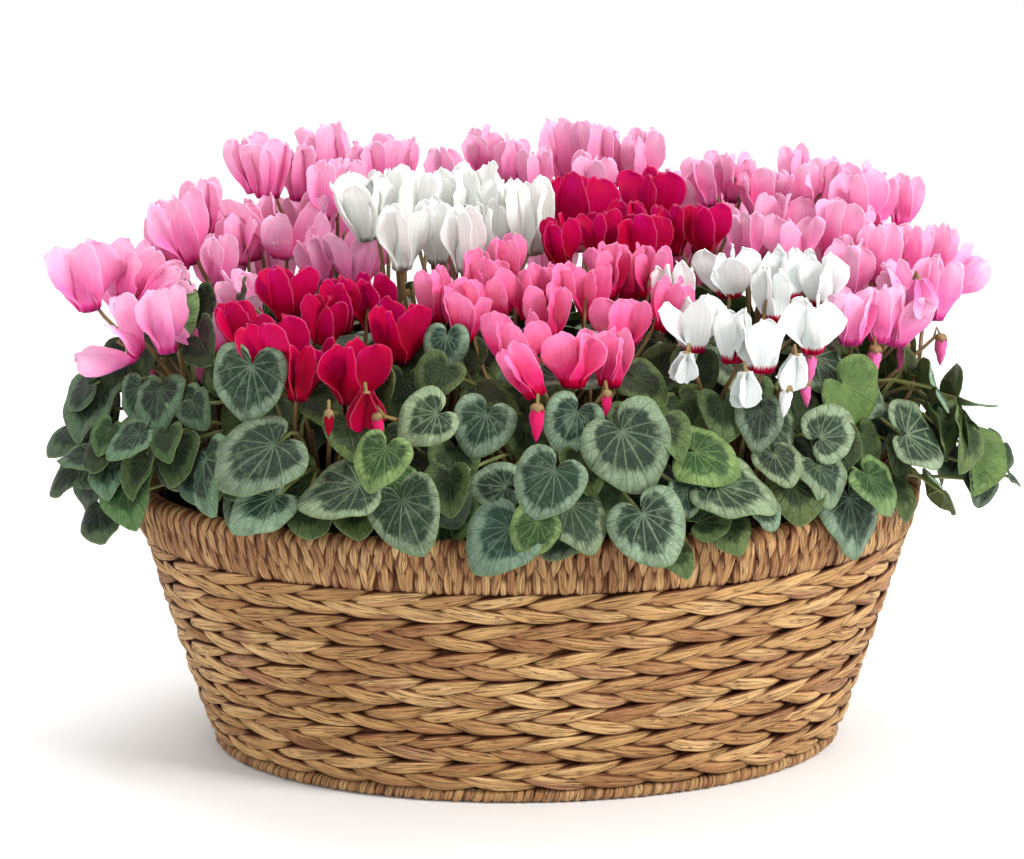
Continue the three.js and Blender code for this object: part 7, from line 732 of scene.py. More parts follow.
    [2, 70.22, -97.04, 190.41, 0.467, -0.437, -0.768, 0.304, -0.767, 0.585, 23.8, 23.5, 4, 0.156, 0.104, -5.4, -0.89, 6, -5.15, -5.59, 2],
    [2, 102.85, -81.01, 192.1, 0.286, -0.601, -0.747, 0.175, -0.628, 0.615, 23.5, 22.5, 4, 0.132, 0.095, 1.52, -1.14, -11.24, 1.55, -7.44, 4.3],
    [2, 124.31, -78.33, 187.19, 0.12, -0.678, -0.725, 0.375, -0.454, 0.647, 23.8, 23.5, 4, 0.118, 0.146, 9.18, -11.11, -2.36, 6.99, -2.98, 2],
    [1, 29.01, -131.36, 158.11, -0.016, -0.339, -0.941, 0.066, -0.943, 0.397, 23.5, 22.5, 4, 0.168, 0.083, 4.27, -3.54, 6, 4.26, -6.29, 2],
    [1, -42.64, -133.84, 163.06, -0.016, -0.34, -0.94, -0.286, -1.012, 0.452, 23.5, 22.5, 4, 0.158, 0.098, 16.15, 0.83, -1.03, -6, -4.66, 4.3],
    [2, 160.59, -74.5, 167.53, 0.486, -0.284, -0.826, 0.447, -0.744, 0.47, 25, 27, 4, 0.166, 0.074, -0.03, 0.38, -0.1, 7.54, -0.98, 2],
    [2, 177.98, -66, 139.9, 0.431, -0.592, -0.681, 0.394, -0.555, 0.732, 23.7, 23.2, 4, 0.196, 0.077, 0, 0, 0, 7.52, 1.09, 2],
    [2, 87.8, -128.01, 141.28, 0.387, -0.714, -0.583, 0.225, -0.54, 0.811, 23.5, 22.5, 4, 0.146, 0.067, 0, 0, 0, -1.49, -7.45, 2],
    [1, 62.45, -142.04, 131.44, 0.441, -0.558, -0.703, 0.062, -0.621, 0.672, 18, 17.1, 4, 0.217, 0.133, -5.67, 8.3, 6, 7.27, -2.22, 4.3],
    [0, -86.32, -129.34, 149.39, 0.09, -0.829, -0.552, -0.182, -0.558, 0.81, 23.5, 22.5, 4, 0.071, 0.146, 0, 0, 0, 2.05, -7.32, 2],
    [0, -141.8, -100.43, 162.6, -0.337, -0.598, -0.727, -0.213, -0.648, 0.694, 24.1, 24.2, 4, 0.096, 0.071, -4.75, 7.92, -2.37, -6.13, -4.49, 4.3],
    [5, -214.39, -4.69, 160.52, -0.653, 0.373, -0.659, -0.813, -0.301, 0.504, 24.8, 26.3, 4, 0.084, 0.131, 10.19, -7.26, 3.53, -7.53, 1.01, 4.3],
    [5, -189.3, -63.68, 155.42, -0.349, -0.484, -0.803, -0.57, -0.654, 0.57, 24.9, 26.7, 4, 0.1, 0.135, -3.13, -4.51, -0.33, -3.55, -6.72, 2],
    [11, 201.52, -38.17, 167.15, 0.48, -0.349, -0.805, 0.712, -0.455, 0.548, 27.1, 33.4, 4, 0.216, 0.111, 5.96, -6.53, -1.7, 5.88, -4.82, 2],
    [11, 211.5, 14.2, 144.1, 0.484, -0.363, -0.796, 0.861, 0.033, 0.508, 33.9, 30.9, 2, 0.168, 0.153, 0, 0, 0, 7.49, 1.28, 2],
    [11, 190.37, 51.84, 148.46, -0.163, 0.61, -0.776, 0.801, 0.54, 0.255, 34.6, 33, 4, 0.208, 0.085, 1.92, 0.53, -0.86, 4.78, 5.91, 2],
    [10, 180.21, 76.05, 143.56, -0.482, 0.603, -0.636, 0.58, 0.763, 0.285, 35.4, 36.5, 1, 0.096, 0.083, 0, 0, 0, 7.1, 2.7, 2],
    [10, 148.49, 96.41, 142.88, 0.119, 0.644, -0.756, 0.591, 0.566, 0.575, 36.1, 36.6, 2, 0.163, 0.1, 0, 0, 0, 5.79, 4.92, 4.3],
    [10, 122.4, 118.71, 152.73, -0.146, 0.353, -0.924, 0.439, 0.86, 0.259, 40.4, 36.8, 0, 0.165, 0.068, 0, 0, 0, 1.87, 7.37, 2],
    [9, 88.43, 122.83, 148.65, 0.654, -0.096, -0.75, 0.551, 0.74, 0.386, 37.4, 36.7, 0, 0.077, 0.18, 0, 0, 0, 5.62, 5.12, 2],
    [9, 51.52, 140.18, 140.64, -0.676, 0.468, -0.569, 0.13, 0.774, 0.468, 40.1, 41.3, 1, 0.198, 0.075, 3.02, 3.27, -3.5, 0.28, 7.59, 2],
    [9, 34.86, 141.26, 144.75, -0.39, 0.45, -0.803, 0.002, 0.872, 0.49, 36.8, 38.3, 0, 0.111, 0.12, 1.73, 5.76, 6, -2.03, 7.32, 2],
    [8, -6.7, 140.9, 153.46, -0.665, 0.509, -0.547, 0.233, 0.837, 0.495, 37.1, 33.8, 1, 0.186, 0.103, 8.71, 3.69, 5.41, 0.82, 7.56, 2],
    [8, -34.11, 138.99, 147.97, -0.336, 0.469, -0.817, -0.22, 0.939, 0.667, 37.6, 36.9, 2, 0.204, 0.158, 2.5, -11.34, -3.74, -3.28, 6.86, 4.3],
    [7, -70.86, 131.74, 150.35, -0.76, 0.186, -0.623, -0.081, 0.924, 0.374, 41.3, 39.8, 1, 0.195, 0.072, 0, 0, 0, 0.61, 7.58, 2],
    [7, -120.42, 124.41, 143.32, 0.327, 0.537, -0.778, -0.287, 0.939, 0.322, 41.4, 40.1, 2, 0.061, 0.107, -8.7, 4.33, 1.26, -5.23, 5.51, 4.3],
    [7, -133.55, 108.16, 141.12, -0.178, 0.201, -0.963, -0.671, 0.873, 0.366, 42, 39.9, 1, 0.198, 0.134, 10.07, -10.55, -0.66, -6.63, 3.71, 4.3],
    [6, -156.85, 94.66, 144.44, -0.608, -0.117, -0.785, -0.719, 0.518, 0.352, 35.4, 32.9, 0, 0.088, 0.144, 10.44, -1.33, 1.23, -4.39, 6.2, 4.3],
    [6, -182.19, 66.5, 145.18, -0.607, -0.16, -0.779, -0.695, 0.288, 0.564, 44.4, 41.7, 0, 0.119, 0.068, -2.33, 6.86, -0.49, -6.72, 3.54, 2],
    [6, -197.63, 50.1, 150.97, -0.45, -0.14, -0.882, -0.837, 0.412, 0.361, 41.6, 42.3, 2, 0.148, 0.138, 0, 0, 0, -7.43, 1.6, 2],
    [0, -113.81, -90.82, 151.14, -0.623, 0.049, -0.781, -0.233, -0.973, 0.4, 33.1, 32, 4, 0.087, 0.087, -0.04, -12.83, -2.12, -2.06, -7.32, 2],
    [1, -51.27, -105.83, 141.02, -0.519, -0.447, -0.729, -0.009, -0.736, 0.556, 37.9, 38.9, 1, 0.197, 0.107, 0.92, 10.51, -6.84, -7.6, 0.15, 2],
    [11, 204.62, 16.08, 174.71, 0.706, -0.404, -0.582, 0.649, 0.332, 0.547, 35.7, 34.7, 0, 0.192, 0.122, 8.33, -10.84, 4.82, 7.25, 2.26, 4.3],
    [11, 194.5, 55.79, 168.12, 0.507, 0.525, -0.683, 0.68, 0.244, 0.692, 44.5, 45.4, 2, 0.202, 0.164, 0, 0, 0, 4.84, 5.86, 4.3],
    [10, 176.12, 74.57, 169.09, 0.478, 0.34, -0.81, 0.708, 0.39, 0.577, 39, 38.4, 0, 0.124, 0.07, -3.19, 4.04, -5.33, 7.3, 2.13, 4.3],
    [10, 141.3, 102.02, 173.85, 0.835, -0.239, -0.496, 0.549, 0.431, 0.716, 35, 36.1, 1, 0.2, 0.085, 0, 0, 0, 4.86, 5.84, 2],
    [9, 85.09, 133.55, 179.01, 0.537, 0.499, -0.68, 0.238, 0.684, 0.69, 35.3, 34.8, 0, 0.147, 0.086, 0, 0, 0, 4.67, 5.99, 4.3],
    [9, 64.17, 139.84, 167.88, 0.362, 0.412, -0.836, 0.181, 0.939, 0.545, 37.3, 36.8, 0, 0.118, 0.092, 10.75, 11.06, -4.96, 2.32, 7.24, 2],
    [9, 27.47, 141.46, 171.18, -0.699, 0.421, -0.579, -0.047, 0.779, 0.631, 33.3, 32.9, 2, 0.064, 0.076, 2.77, 1.38, 0.48, -2.64, 7.13, 4.3],
    [8, -38.3, 138.48, 174.92, -0.399, 0.268, -0.877, -0.445, 0.85, 0.449, 37.2, 34.4, 2, 0.144, 0.123, -10.08, 2.53, -4.68, -3.54, 6.73, 2],
    [7, -68.18, 126.11, 176.32, 0.497, 0.588, -0.639, 0.058, 0.728, 0.746, 41.7, 39.1, 0, 0.076, 0.051, 10.56, 10.09, 0.16, 1.95, 7.35, 4.3],
    [7, -101.76, 119.45, 169.62, -0.657, 0.083, -0.75, -0.453, 0.861, 0.466, 34.2, 33.5, 0, 0.179, 0.137, -4.8, -2.99, 5.89, -4.07, 6.42, 2],
    [7, -135.48, 103.54, 167.56, -0.619, 0.323, -0.716, -0.409, 0.645, 0.645, 35.3, 32.1, 0, 0.051, 0.094, 0, 0, 0, -7.23, 2.34, 2],
    [6, -159.89, 80.35, 173.5, 0.431, 0.66, -0.616, -0.354, 0.784, 0.466, 35.1, 32.3, 0, 0.074, 0.153, -9.89, -3.19, 2.12, -4.61, 6.04, 2],
    [6, -192.09, 53.85, 175.92, -0.36, 0.494, -0.792, -0.779, 0.309, 0.546, 38.6, 37.5, 1, 0.219, 0.103, 0, 0, 0, -7.27, 2.22, 4.3],
    [11, 184.09, 12.56, 197.06, 0.708, 0.166, -0.687, 0.734, 0.632, 0.687, 44.6, 45.5, 2, 0.055, 0.096, 10.92, 7.44, 6, 6.87, 3.25, 2],
    [10, 164.73, 56.97, 189.01, 0.738, 0.216, -0.639, 0.619, 0.204, 0.765, 36.4, 36.1, 2, 0.145, 0.122, -1.05, -11.44, 6, 7.47, -1.38, 2],
    [10, 153.32, 69.07, 181.23, 0.281, 0.778, -0.561, 0.213, 0.41, 0.908, 37.9, 37.7, 0, 0.087, 0.13, 11.49, 5.91, -1.4, 7.57, 0.69, 2],
    [10, 123.03, 97.71, 196.71, -0.009, 0.929, -0.37, 0.501, 0.422, 0.805, 38.2, 36.9, 0, 0.191, 0.083, 8.67, 0.52, 6, 3.14, 6.92, 4.3],
    [9, 102.5, 106.74, 206.22, 0.497, 0.537, -0.681, 0.096, 1.005, 0.475, 41.5, 37.6, 1, 0.082, 0.088, 17.28, 11.53, 6, 6.99, 2.99, 4.3],
    [9, 58.84, 116.62, 197.01, -0.142, 0.661, -0.737, 0.082, 0.833, 0.606, 38.5, 36, 2, 0.092, 0.155, 10.12, 5.95, 6, 2.28, 7.25, 4.3],
    [8, 16.64, 108.5, 201.12, 0.753, 0.3, -0.586, 0.18, 0.619, 0.673, 38.8, 37.6, 0, 0.147, 0.172, 9.97, 11.99, 4.39, 5.95, 4.73, 4.3],
    [8, -10.63, 114, 196.28, -0.244, 0.762, -0.6, -0.049, 0.714, 0.701, 40.6, 40.8, 0, 0.058, 0.161, 9.86, 13.78, 1.41, 0.01, 7.6, 4.3],
    [8, -20.5, 121.1, 183.86, 0.654, 0.666, -0.359, -0.111, 0.651, 0.917, 36.1, 32.6, 0, 0.211, 0.12, 0.8, 1.98, 6, -1.27, 7.49, 2],
    [7, -117.12, 105.94, 186.8, 0.127, 0.753, -0.646, -0.227, 0.39, 0.639, 41.9, 42.7, 0, 0.165, 0.085, -8.22, 10.29, -4.12, -6.33, 4.21, 2],
    [7, -140.33, 88.91, 196.38, -0.788, 0.334, -0.517, -0.389, 0.447, 0.799, 37.7, 34.7, 0, 0.054, 0.122, -0.77, -3.21, -3.78, -7.51, 1.14, 4.3],
    [6, -158.97, 60.78, 185.18, -0.696, 0.418, -0.583, -0.593, 0.122, 0.831, 37.4, 34.2, 0, 0.061, 0.111, -0.35, 7.06, 6, -6.39, 4.11, 4.3],
    [6, -186.25, 35.84, 183.95, -0.85, -0.024, -0.526, -0.539, 0.089, 0.945, 33.9, 31.5, 4, 0.201, 0.058, -13.44, -2.6, -11.68, -7.59, -0.47, 2],
    [0, -132.76, -72.1, 179.37, -0.271, -0.703, -0.658, -0.214, -0.589, 0.677, 35.7, 36.9, 4, 0.112, 0.15, -4.11, -7.37, 4.98, -7.12, -2.67, 4.3],
    [11, 154.42, 28.2, 204.27, 0.596, 0.753, -0.278, 0.39, -0.034, 0.838, 41, 41.8, 1, 0.095, 0.082, -2.76, 12.93, -5.38, 1.92, 7.35, 4.3],
    [10, 149.75, 68.29, 188.12, 0.021, 0.911, -0.411, 0.24, 0.241, 0.882, 38.1, 36.5, 0, 0.207, 0.114, 5.62, -9.93, 6, 7.6, 0.08, 4.3],
    [10, 106.71, 65.95, 207.65, 0.486, 0.669, -0.563, 0.442, 0.508, 0.85, 36.3, 37.2, 1, 0.102, 0.119, 6.24, 17.7, -4.89, 0.8, 7.56, 4.3],
    [9, 79.24, 92.29, 208.46, 0.583, 0.538, -0.61, 0.386, 0.355, 0.696, 40, 41.1, 0, 0.163, 0.154, 20.38, 3.1, -10.21, 7.09, 2.75, 2],
    [9, 52.51, 122.28, 181.04, 0.191, 0.865, -0.463, -0.051, 0.375, 0.897, 38.3, 39.3, 1, 0.181, 0.172, 7.89, 15.15, 5.01, 0.24, 7.6, 4.3],
    [8, 17.58, 97.45, 197.85, 0.51, 0.79, -0.341, -0.05, 0.349, 0.926, 43.6, 44.9, 0, 0.132, 0.159, 8.68, -4.37, 1.27, 7.39, 1.77, 2],
    [8, -49.53, 113.28, 193.45, 0.71, 0.573, -0.409, 0.058, 0.583, 0.916, 42.6, 44.1, 2, 0.119, 0.167, -6.81, 6.78, 0.01, -6.79, 3.42, 4.3],
    [7, -73.29, 108.63, 199.73, -0.95, 0.185, -0.25, -0.177, 0.295, 0.93, 38.4, 35.9, 1, 0.156, 0.051, 8.81, 4.73, 1.22, -0.11, 7.6, 4.3],
    [7, -78.47, 69.42, 210.1, -0.569, 0.579, -0.584, -0.444, 0.369, 0.811, 40.6, 42.2, 0, 0.074, 0.092, -20.41, 4.83, -1.09, -5.79, -4.93, 2],
    [6, -126.23, 70.59, 198.91, -0.187, 0.862, -0.471, -0.498, 0.314, 0.813, 34.5, 32.8, 2, 0.173, 0.116, -0.12, -2.94, 2.69, -0.93, 7.54, 2],
    [6, -164.48, 37.15, 193.45, -0.942, -0.222, -0.253, -0.485, 0.253, 0.632, 36.6, 37, 1, 0.097, 0.179, -12.92, -6.62, 6, -7.6, 0.18, 4.3],
    [6, -140.62, 21.5, 205.87, -0.723, 0.212, -0.657, -0.609, 0.287, 0.56, 44.4, 45.9, 0, 0.157, 0.108, -9.54, -6.2, 0.67, -6.11, -4.52, 2],
    [5, -150.15, -21.05, 187.72, -0.774, -0.496, -0.393, -0.322, 0.219, 0.586, 34.3, 32.7, 1, 0.103, 0.059, -1, -14.87, -11.13, -1.61, -7.43, 2],
    [2, 145.37, -52.79, 202.08, 0.923, 0.072, -0.378, 0.527, -0.468, 0.782, 38.2, 38.5, 0, 0.161, 0.127, -1.85, -13.79, 6, 7.32, 2.06, 4.3],
    [11, 155.38, -15.8, 205.51, 0.918, -0.069, -0.391, 0.472, 0.115, 0.952, 37, 35.4, 0, 0.095, 0.078, 14.01, -18.71, -2.44, 4.36, -6.22, 2],
    [10, 118.49, 28.54, 202.94, 0.995, 0.003, -0.099, 0.099, 0.05, 0.994, 35.3, 33.3, 1, 0.081, 0.056, 0, 0, 0, 2.27, -7.25, 4.3],
    [10, 96.76, 49.41, 208.56, 0.965, 0.223, -0.14, 0.107, 0.175, 1.102, 42.2, 43.3, 2, 0.072, 0.09, -8.41, -1.32, 6, -3.38, -6.81, 2],
    [9, 73.34, 70.38, 207.41, -0.754, 0.61, -0.246, 0.048, 0.424, 0.905, 41.5, 42.8, 2, 0.085, 0.095, 0, 0, 0, 6.47, -3.99, 4.3],
    [9, 29.85, 78.11, 198.97, -0.277, 0.883, -0.38, -0.032, 0.419, 0.946, 37, 38.1, 0, 0.076, 0.098, -2.61, -8.89, -0.22, -7.14, -2.6, 2],
    [8, 4.79, 81.06, 200.88, -0.12, 0.904, -0.409, 0.014, 0.461, 0.935, 33.8, 34.7, 0, 0.081, 0.053, 4.49, -6.5, 4.31, 6.87, -3.25, 4.3],
    [8, -29.34, 84.23, 206.43, -0.018, 0.908, -0.418, -0.144, 0.405, 0.866, 43.8, 40.9, 2, 0.118, 0.057, -1.06, 6.24, -0.62, -7.03, -2.88, 2],
    [7, -72.77, 56.21, 204.08, -0.749, 0.601, -0.28, -0.074, 0.282, 0.804, 44.2, 45.9, 0, 0.066, 0.174, -14.38, 4.03, 3.75, -0.92, -7.54, 2],
    [7, -91.06, 54.34, 203.99, 0.033, 0.986, -0.163, -0.212, 0.173, 0.922, 35.4, 34.2, 0, 0.193, 0.149, 10.96, -16.8, 2.33, -4.96, -5.75, 4.3],
    [6, -122.8, 23.39, 203.77, -0.922, -0.239, -0.305, -0.436, 0.211, 0.907, 33.6, 34, 4, 0.054, 0.073, 2.83, -6.72, 4.99, -0.17, -7.6, 4.3],
    [5, -124.47, -20.68, 205.93, -0.889, -0.334, -0.312, -0.319, -0.035, 0.947, 41.3, 41.5, 0, 0.061, 0.127, 0, 0, 0, 6.81, -3.38, 2],
    [0, -102.67, -26.98, 205.52, -0.691, -0.636, -0.342, -0.266, -0.099, 0.806, 43.9, 42.7, 2, 0.148, 0.092, -11.36, 2.69, 3.04, -0.7, 7.57, 2],
    [0, -101.12, -46.65, 211.35, -0.523, -0.76, -0.386, -0.116, -0.199, 0.724, 37.5, 35.5, 0, 0.13, 0.172, 12.07, 5.41, 3.94, 4.41, 6.19, 4.3],
    [1, 19.79, -87.08, 206.88, 0.966, -0.248, -0.074, -0.078, 0.005, 1.012, 41.8, 42.7, 0, 0.135, 0.151, 1.73, -6.48, 6, 6.4, -4.1, 4.3],
    [2, 92.89, -61.49, 208.76, 0.342, -0.92, -0.19, 0.133, -0.171, 0.895, 44.4, 40, 0, 0.201, 0.156, -9.41, -3.82, -8.11, -7.52, -1.11, 2],
    [2, 105.02, -27.19, 208.87, 0.224, -0.941, -0.254, 0.247, -0.137, 0.998, 41.3, 38.5, 0, 0.062, 0.101, 9.93, 2.22, 2.97, 1.69, 7.41, 4.3],
    [2, 134.3, -28.11, 200.64, 0.99, 0.053, -0.132, 0.131, 0.014, 0.991, 35.5, 33.4, 4, 0.207, 0.165, 0, 0, 0, 6.05, 4.6, 2],
    [4, 83.64, 26.07, 205.06, -0.313, 0.933, -0.178, 0.186, 0.244, 0.952, 30.5, 30.1, 0, 0.182, 0.118, 0, 0, 0, 7.02, 2.92, 4.3],
    [4, 46.17, 56.09, 201.68, 0.419, 0.907, -0.038, 0.03, 0.039, 1.03, 32.7, 33.5, 0, 0.052, 0.145, -0.1, 2.63, 2.5, 0.27, 7.6, 2],
    [8, 14.01, 60.86, 200.4, -0.185, 0.947, -0.263, 0.064, 0.279, 0.958, 30.4, 28.1, 0, 0.163, 0.168, 0, 0, 0, 4.87, -5.83, 2],
    [8, -25.46, 57.21, 207.66, 0.078, 0.983, -0.163, 0.018, 0.163, 0.987, 38.5, 39.4, 0, 0.059, 0.13, 0, 0, 0, -2.74, -7.09, 4.3],
    [3, -62.01, 46.6, 199.08, -0.529, 0.848, 0.028, 0.013, -0.024, 1, 33.9, 30.7, 2, 0.109, 0.107, 0, 0, 0, -2.02, 7.33, 2],
    [3, -84.71, 19.49, 204.82, -0.728, 0.636, -0.256, -0.308, 0.03, 0.951, 30.2, 30.3, 0, 0.171, 0.105, 0, 0, 0, -6.86, 3.26, 2],
    [3, -84.35, -7.47, 199.63, -0.96, -0.211, -0.185, -0.171, -0.081, 0.982, 38, 36.8, 0, 0.215, 0.17, 0, 0, 0, -7.27, -2.22, 2],
    [3, -68.17, -34.88, 200.31, -0.979, -0.117, -0.166, -0.156, -0.09, 0.984, 36.9, 36.5, 2, 0.071, 0.146, 0, 0, 0, -3.29, -6.85, 4.3],
    [1, -27.72, -56.19, 203.07, 0.07, -0.947, -0.314, -0.201, -0.359, 0.965, 34, 31.9, 4, 0.177, 0.107, -3.49, -9.1, 1, -6.41, 4.08, 2],
    [1, 8.74, -55.05, 198.66, -0.732, -0.676, -0.088, -0.11, -0.266, 1.001, 34.5, 34.5, 2, 0.129, 0.159, 5.11, 8.44, 6, -1.58, 7.43, 2],
    [1, 46.23, -57.18, 203.97, 0.542, -0.831, -0.129, 0.03, -0.126, 0.947, 35.8, 36.6, 0, 0.135, 0.099, 5.87, -2.62, 1.76, 7.26, 2.24, 4.3],
    [2, 72.19, -38.67, 203.81, -0.198, -0.979, -0.041, 0.024, -0.046, 0.999, 31.6, 28.6, 0, 0.142, 0.056, 0, 0, 0, -5.8, 4.91, 2],
    [4, 91.65, 2.69, 205.8, 0.974, 0.147, -0.174, 0.173, 0.022, 0.985, 32.3, 30.2, 1, 0.206, 0.119, 0, 0, 0, 7.51, -1.18, 2],
    [4, 41.07, 23.19, 204.36, -0.047, 0.992, -0.121, 0.186, 0.092, 1.041, 28.8, 27.9, 2, 0.127, 0.087, 6.08, 3.9, 5.38, -1.71, 7.4, 4.3],
    [4, 1.83, 36.18, 207.34, -0.481, 0.843, -0.239, 0.083, 0.316, 0.945, 29.8, 28.5, 0, 0.058, 0.057, 0, 0, 0, -6.5, 3.94, 2],
    [3, -20.73, 36.13, 204.14, -0.788, 0.614, -0.048, -0.031, 0.037, 0.999, 31.4, 28.8, 0, 0.105, 0.12, 0, 0, 0, 5.03, 5.7, 4.3],
    [3, -53.37, 7.43, 204.16, -0.782, 0.623, 0.041, 0.105, -0.038, 0.937, 30, 29.5, 0, 0.106, 0.083, -11.73, 3.19, 1.03, -4.37, 6.22, 4.3],
    [3, -39.89, -22.44, 208.22, -0.228, -0.973, 0.029, 0.086, -0.026, 0.935, 38, 35.4, 1, 0.156, 0.074, 2.2, -8.19, -3.01, 2.83, -7.06, 2],
    [1, -5.22, -38.33, 199.79, -0.793, -0.6, -0.1, 0.049, -0.187, 0.921, 30.6, 29.5, 0, 0.13, 0.122, -5.8, 0.46, 6, -2.6, 7.14, 4.3],
    [4, 24.11, -31.82, 200.18, 0.199, -0.97, -0.143, 0.051, -0.135, 0.99, 28.9, 27.1, 0, 0.059, 0.176, 0, 0, 0, -3.4, -6.8, 2],
    [4, 53.62, -8.82, 202.39, 0.697, -0.711, -0.095, 0.054, 0.031, 1.073, 29.4, 26.7, 4, 0.178, 0.167, -2.9, -7.46, -4.11, 2.99, -6.99, 4.3],
    [4, -1.77, 12.34, 207.88, 0.19, 0.937, -0.294, -0.01, 0.301, 0.954, 29.2, 29.9, 0, 0.069, 0.074, 0, 0, 0, -7.59, 0.38, 4.3],
    [5, -213.29, 0.65, 179.72, -0.301, -0.772, -0.56, -0.651, -0.228, 0.954, 24, 22, 0, 0.158, 0.139, -4.17, 2.35, -4.19, -7.42, 1.64, 4.3],
    [5, -231.05, -1.77, 160.34, -0.752, -0.393, -0.53, -0.284, -0.382, 1.103, 25.3, 26.2, 2, 0.146, 0.165, -9.32, 5.49, 3.5, -7.3, -2.1, 2],
    [0, -164.5, -57.31, 180.77, 0.348, -0.792, -0.502, -0.332, -0.374, 0.834, 24, 23, 0, 0.127, 0.085, 6.44, 7.98, 6.35, -6.62, 3.74, 4.3],
    [0, -173.47, -54.97, 158.16, -0.105, -0.787, -0.608, -0.597, -0.713, 0.94, 24, 22, 0, 0.146, 0.126, 8.92, 9.16, 8.87, -6.97, -3.02, 2],
    [0, -138.46, -100.95, 173.28, -0.3, -0.776, -0.556, -0.076, -0.36, 0.615, 24, 22, 2, 0.067, 0.07, -6.17, -10.27, -1.23, -7.06, -2.81, 2],
    [5, -177.89, 19.46, 222.55, -0.032, -0.694, -0.72, -1.078, -0.43, 0.652, 26, 27.6, 4, 0.195, 0.08, -8.86, 10.34, 8.52, -3.53, 6.73, 2],
    [0, -141.64, -33.82, 229.72, -0.037, -0.799, -0.6, -0.747, -0.219, 0.366, 24, 22, 4, 0.178, 0.073, -3.31, -1.9, 10.9, -5.04, 5.69, 2],
    [0, -64.26, -91.58, 198.95, -0.188, -0.573, -0.798, -0.15, -0.608, 0.487, 24.6, 24.2, 4, 0.176, 0.059, 6.83, 0.15, -4.18, 7.14, -2.59, 4.3],
    [0, -59.5, -67.7, 211.98, 0.133, -0.591, -0.795, -0.133, -0.625, 0.41, 24, 22, 4, 0.15, 0.157, 4.23, 2.93, 9.34, 7.58, -0.53, 2],
    [2, 74.62, -86.08, 204.93, -0.023, -0.492, -0.87, 0.239, -0.735, 0.243, 24, 22, 4, 0.183, 0.154, -8.89, -8.81, 7.04, -2.15, -7.29, 2],
    [2, 103.15, -106.95, 186.69, -0.021, -0.454, -0.891, 0.376, -0.988, 0.401, 24, 22, 0, 0.173, 0.168, 0.96, -4.7, -4.42, -0.84, -7.55, 4.3],
    [11, 126.39, -72.78, 176.52, 0.148, -0.457, -0.877, 0.007, -0.712, 0.358, 24, 22.5, 4, 0.152, 0.075, 2.56, 7.03, -4.3, 0.31, -7.59, 2],
    [0, -76.28, -90.68, 201.49, -0.5, -0.064, -0.863, -0.652, -0.594, 0.079, 24, 22, 4, 0.166, 0.165, -2.69, -5.97, 9.63, 6.82, -3.36, 2],
    [5, -112.75, -72.86, 209.56, -0.501, -0.443, -0.743, -0.202, -0.769, 0.524, 24.7, 24.3, 4, 0.135, 0.105, -1.8, 1.06, 0.37, 4.36, -6.22, 2],
    [5, -159.2, -47.72, 214.38, 0.311, -0.85, -0.425, -0.878, -0.619, 0.819, 24, 22, 4, 0.105, 0.162, -8.47, -1.76, 5.41, -4.71, -5.97, 2],
    [5, -205.42, -10.93, 196.55, -0.491, 0.011, -0.871, -0.436, -0.951, 0.638, 24, 22, 4, 0.086, 0.163, -1.98, -10.36, 1.82, -7.14, 2.6, 4.3],
    [5, -223.89, -7.1, 183.65, -0.71, 0.458, -0.534, -0.586, -0.355, 0.476, 24, 22, 0, 0.097, 0.16, 3.4, 9.12, 12.51, -7.6, -0.02, 4.3],
    [5, -210.74, -44.76, 162.59, -0.322, -0.687, -0.652, -0.735, -0.633, 0.851, 24, 22, 4, 0.055, 0.06, -2.25, 1.19, 8.55, -4.94, -5.78, 4.3],
    [5, -229.7, -15.65, 142.9, -0.773, -0.2, -0.602, -0.385, -0.388, 0.75, 24, 23.5, 0, 0.069, 0.052, 0.43, 8.23, -6.79, -7.56, 0.74, 2],
    [2, 169.58, -47.32, 167.62, 0.316, -0.418, -0.852, 0.468, -0.974, 0.269, 24, 22, 0, 0.176, 0.118, -3.53, -3.68, -6.41, 7.21, 2.39, 2],
    [11, 204.12, -21.02, 157.45, 0.579, 0.28, -0.766, 0.522, -0.453, 0.356, 24, 22, 4, 0.073, 0.108, -5.21, -5.5, 7.07, 7.14, -2.61, 2],
    [11, 217.99, -7.61, 166.92, 0.865, 0.303, -0.4, 0.501, -0.079, 0.621, 26.6, 29.8, 4, 0.117, 0.095, 0.29, 10.51, 6.49, 7.14, 2.61, 4.3],
    [2, 181.5, -49.81, 155.57, 0.335, -0.078, -0.939, 0.698, -0.976, 0.327, 24, 22, 4, 0.193, 0.16, -6.74, -10.07, 11.02, 7.37, 1.86, 4.3],
    [2, 141.38, -88.48, 167.25, 0.156, -0.355, -0.922, 0.419, -0.777, 0.348, 24, 22, 4, 0.102, 0.134, 3.71, -4.53, 5.51, 4.67, -6, 4.3],
    [2, 122.11, -85.71, 160.85, 0.492, -0.101, -0.865, -0.02, -0.808, 0.428, 24, 22, 0, 0.104, 0.163, 0.01, -8.67, 10.86, 6.03, -4.63, 2],
    [0, -201.75, -32.51, 145.23, 0.388, -0.834, -0.392, -0.682, -0.316, 0.473, 24, 23.4, 1, 0.103, 0.169, -10.96, -2.69, 11.06, -6.4, 4.09, 2],
    [11, 144.52, -61.84, 166.2, 0.333, -0.495, -0.802, 0.401, -0.48, 0.594, 24, 22, 0, 0.111, 0.055, 3.46, 7.31, -6.03, -2.68, -7.11, 4.3],
    [0, -212.54, -34.16, 126.08, -0.012, -0.922, -0.386, -0.452, -0.392, 0.825, 25.7, 23.7, 0, 0.185, 0.157, -10.63, -8, -0.92, -7.6, -0.12, 2],
    [2, 8.06, -138.57, 142.67, -0.64, -0.463, -0.613, -0.087, -0.645, 0.69, 24.7, 24.3, 0, 0.085, 0.167, -1.17, 0.21, 1.12, -6, -4.67, 2],
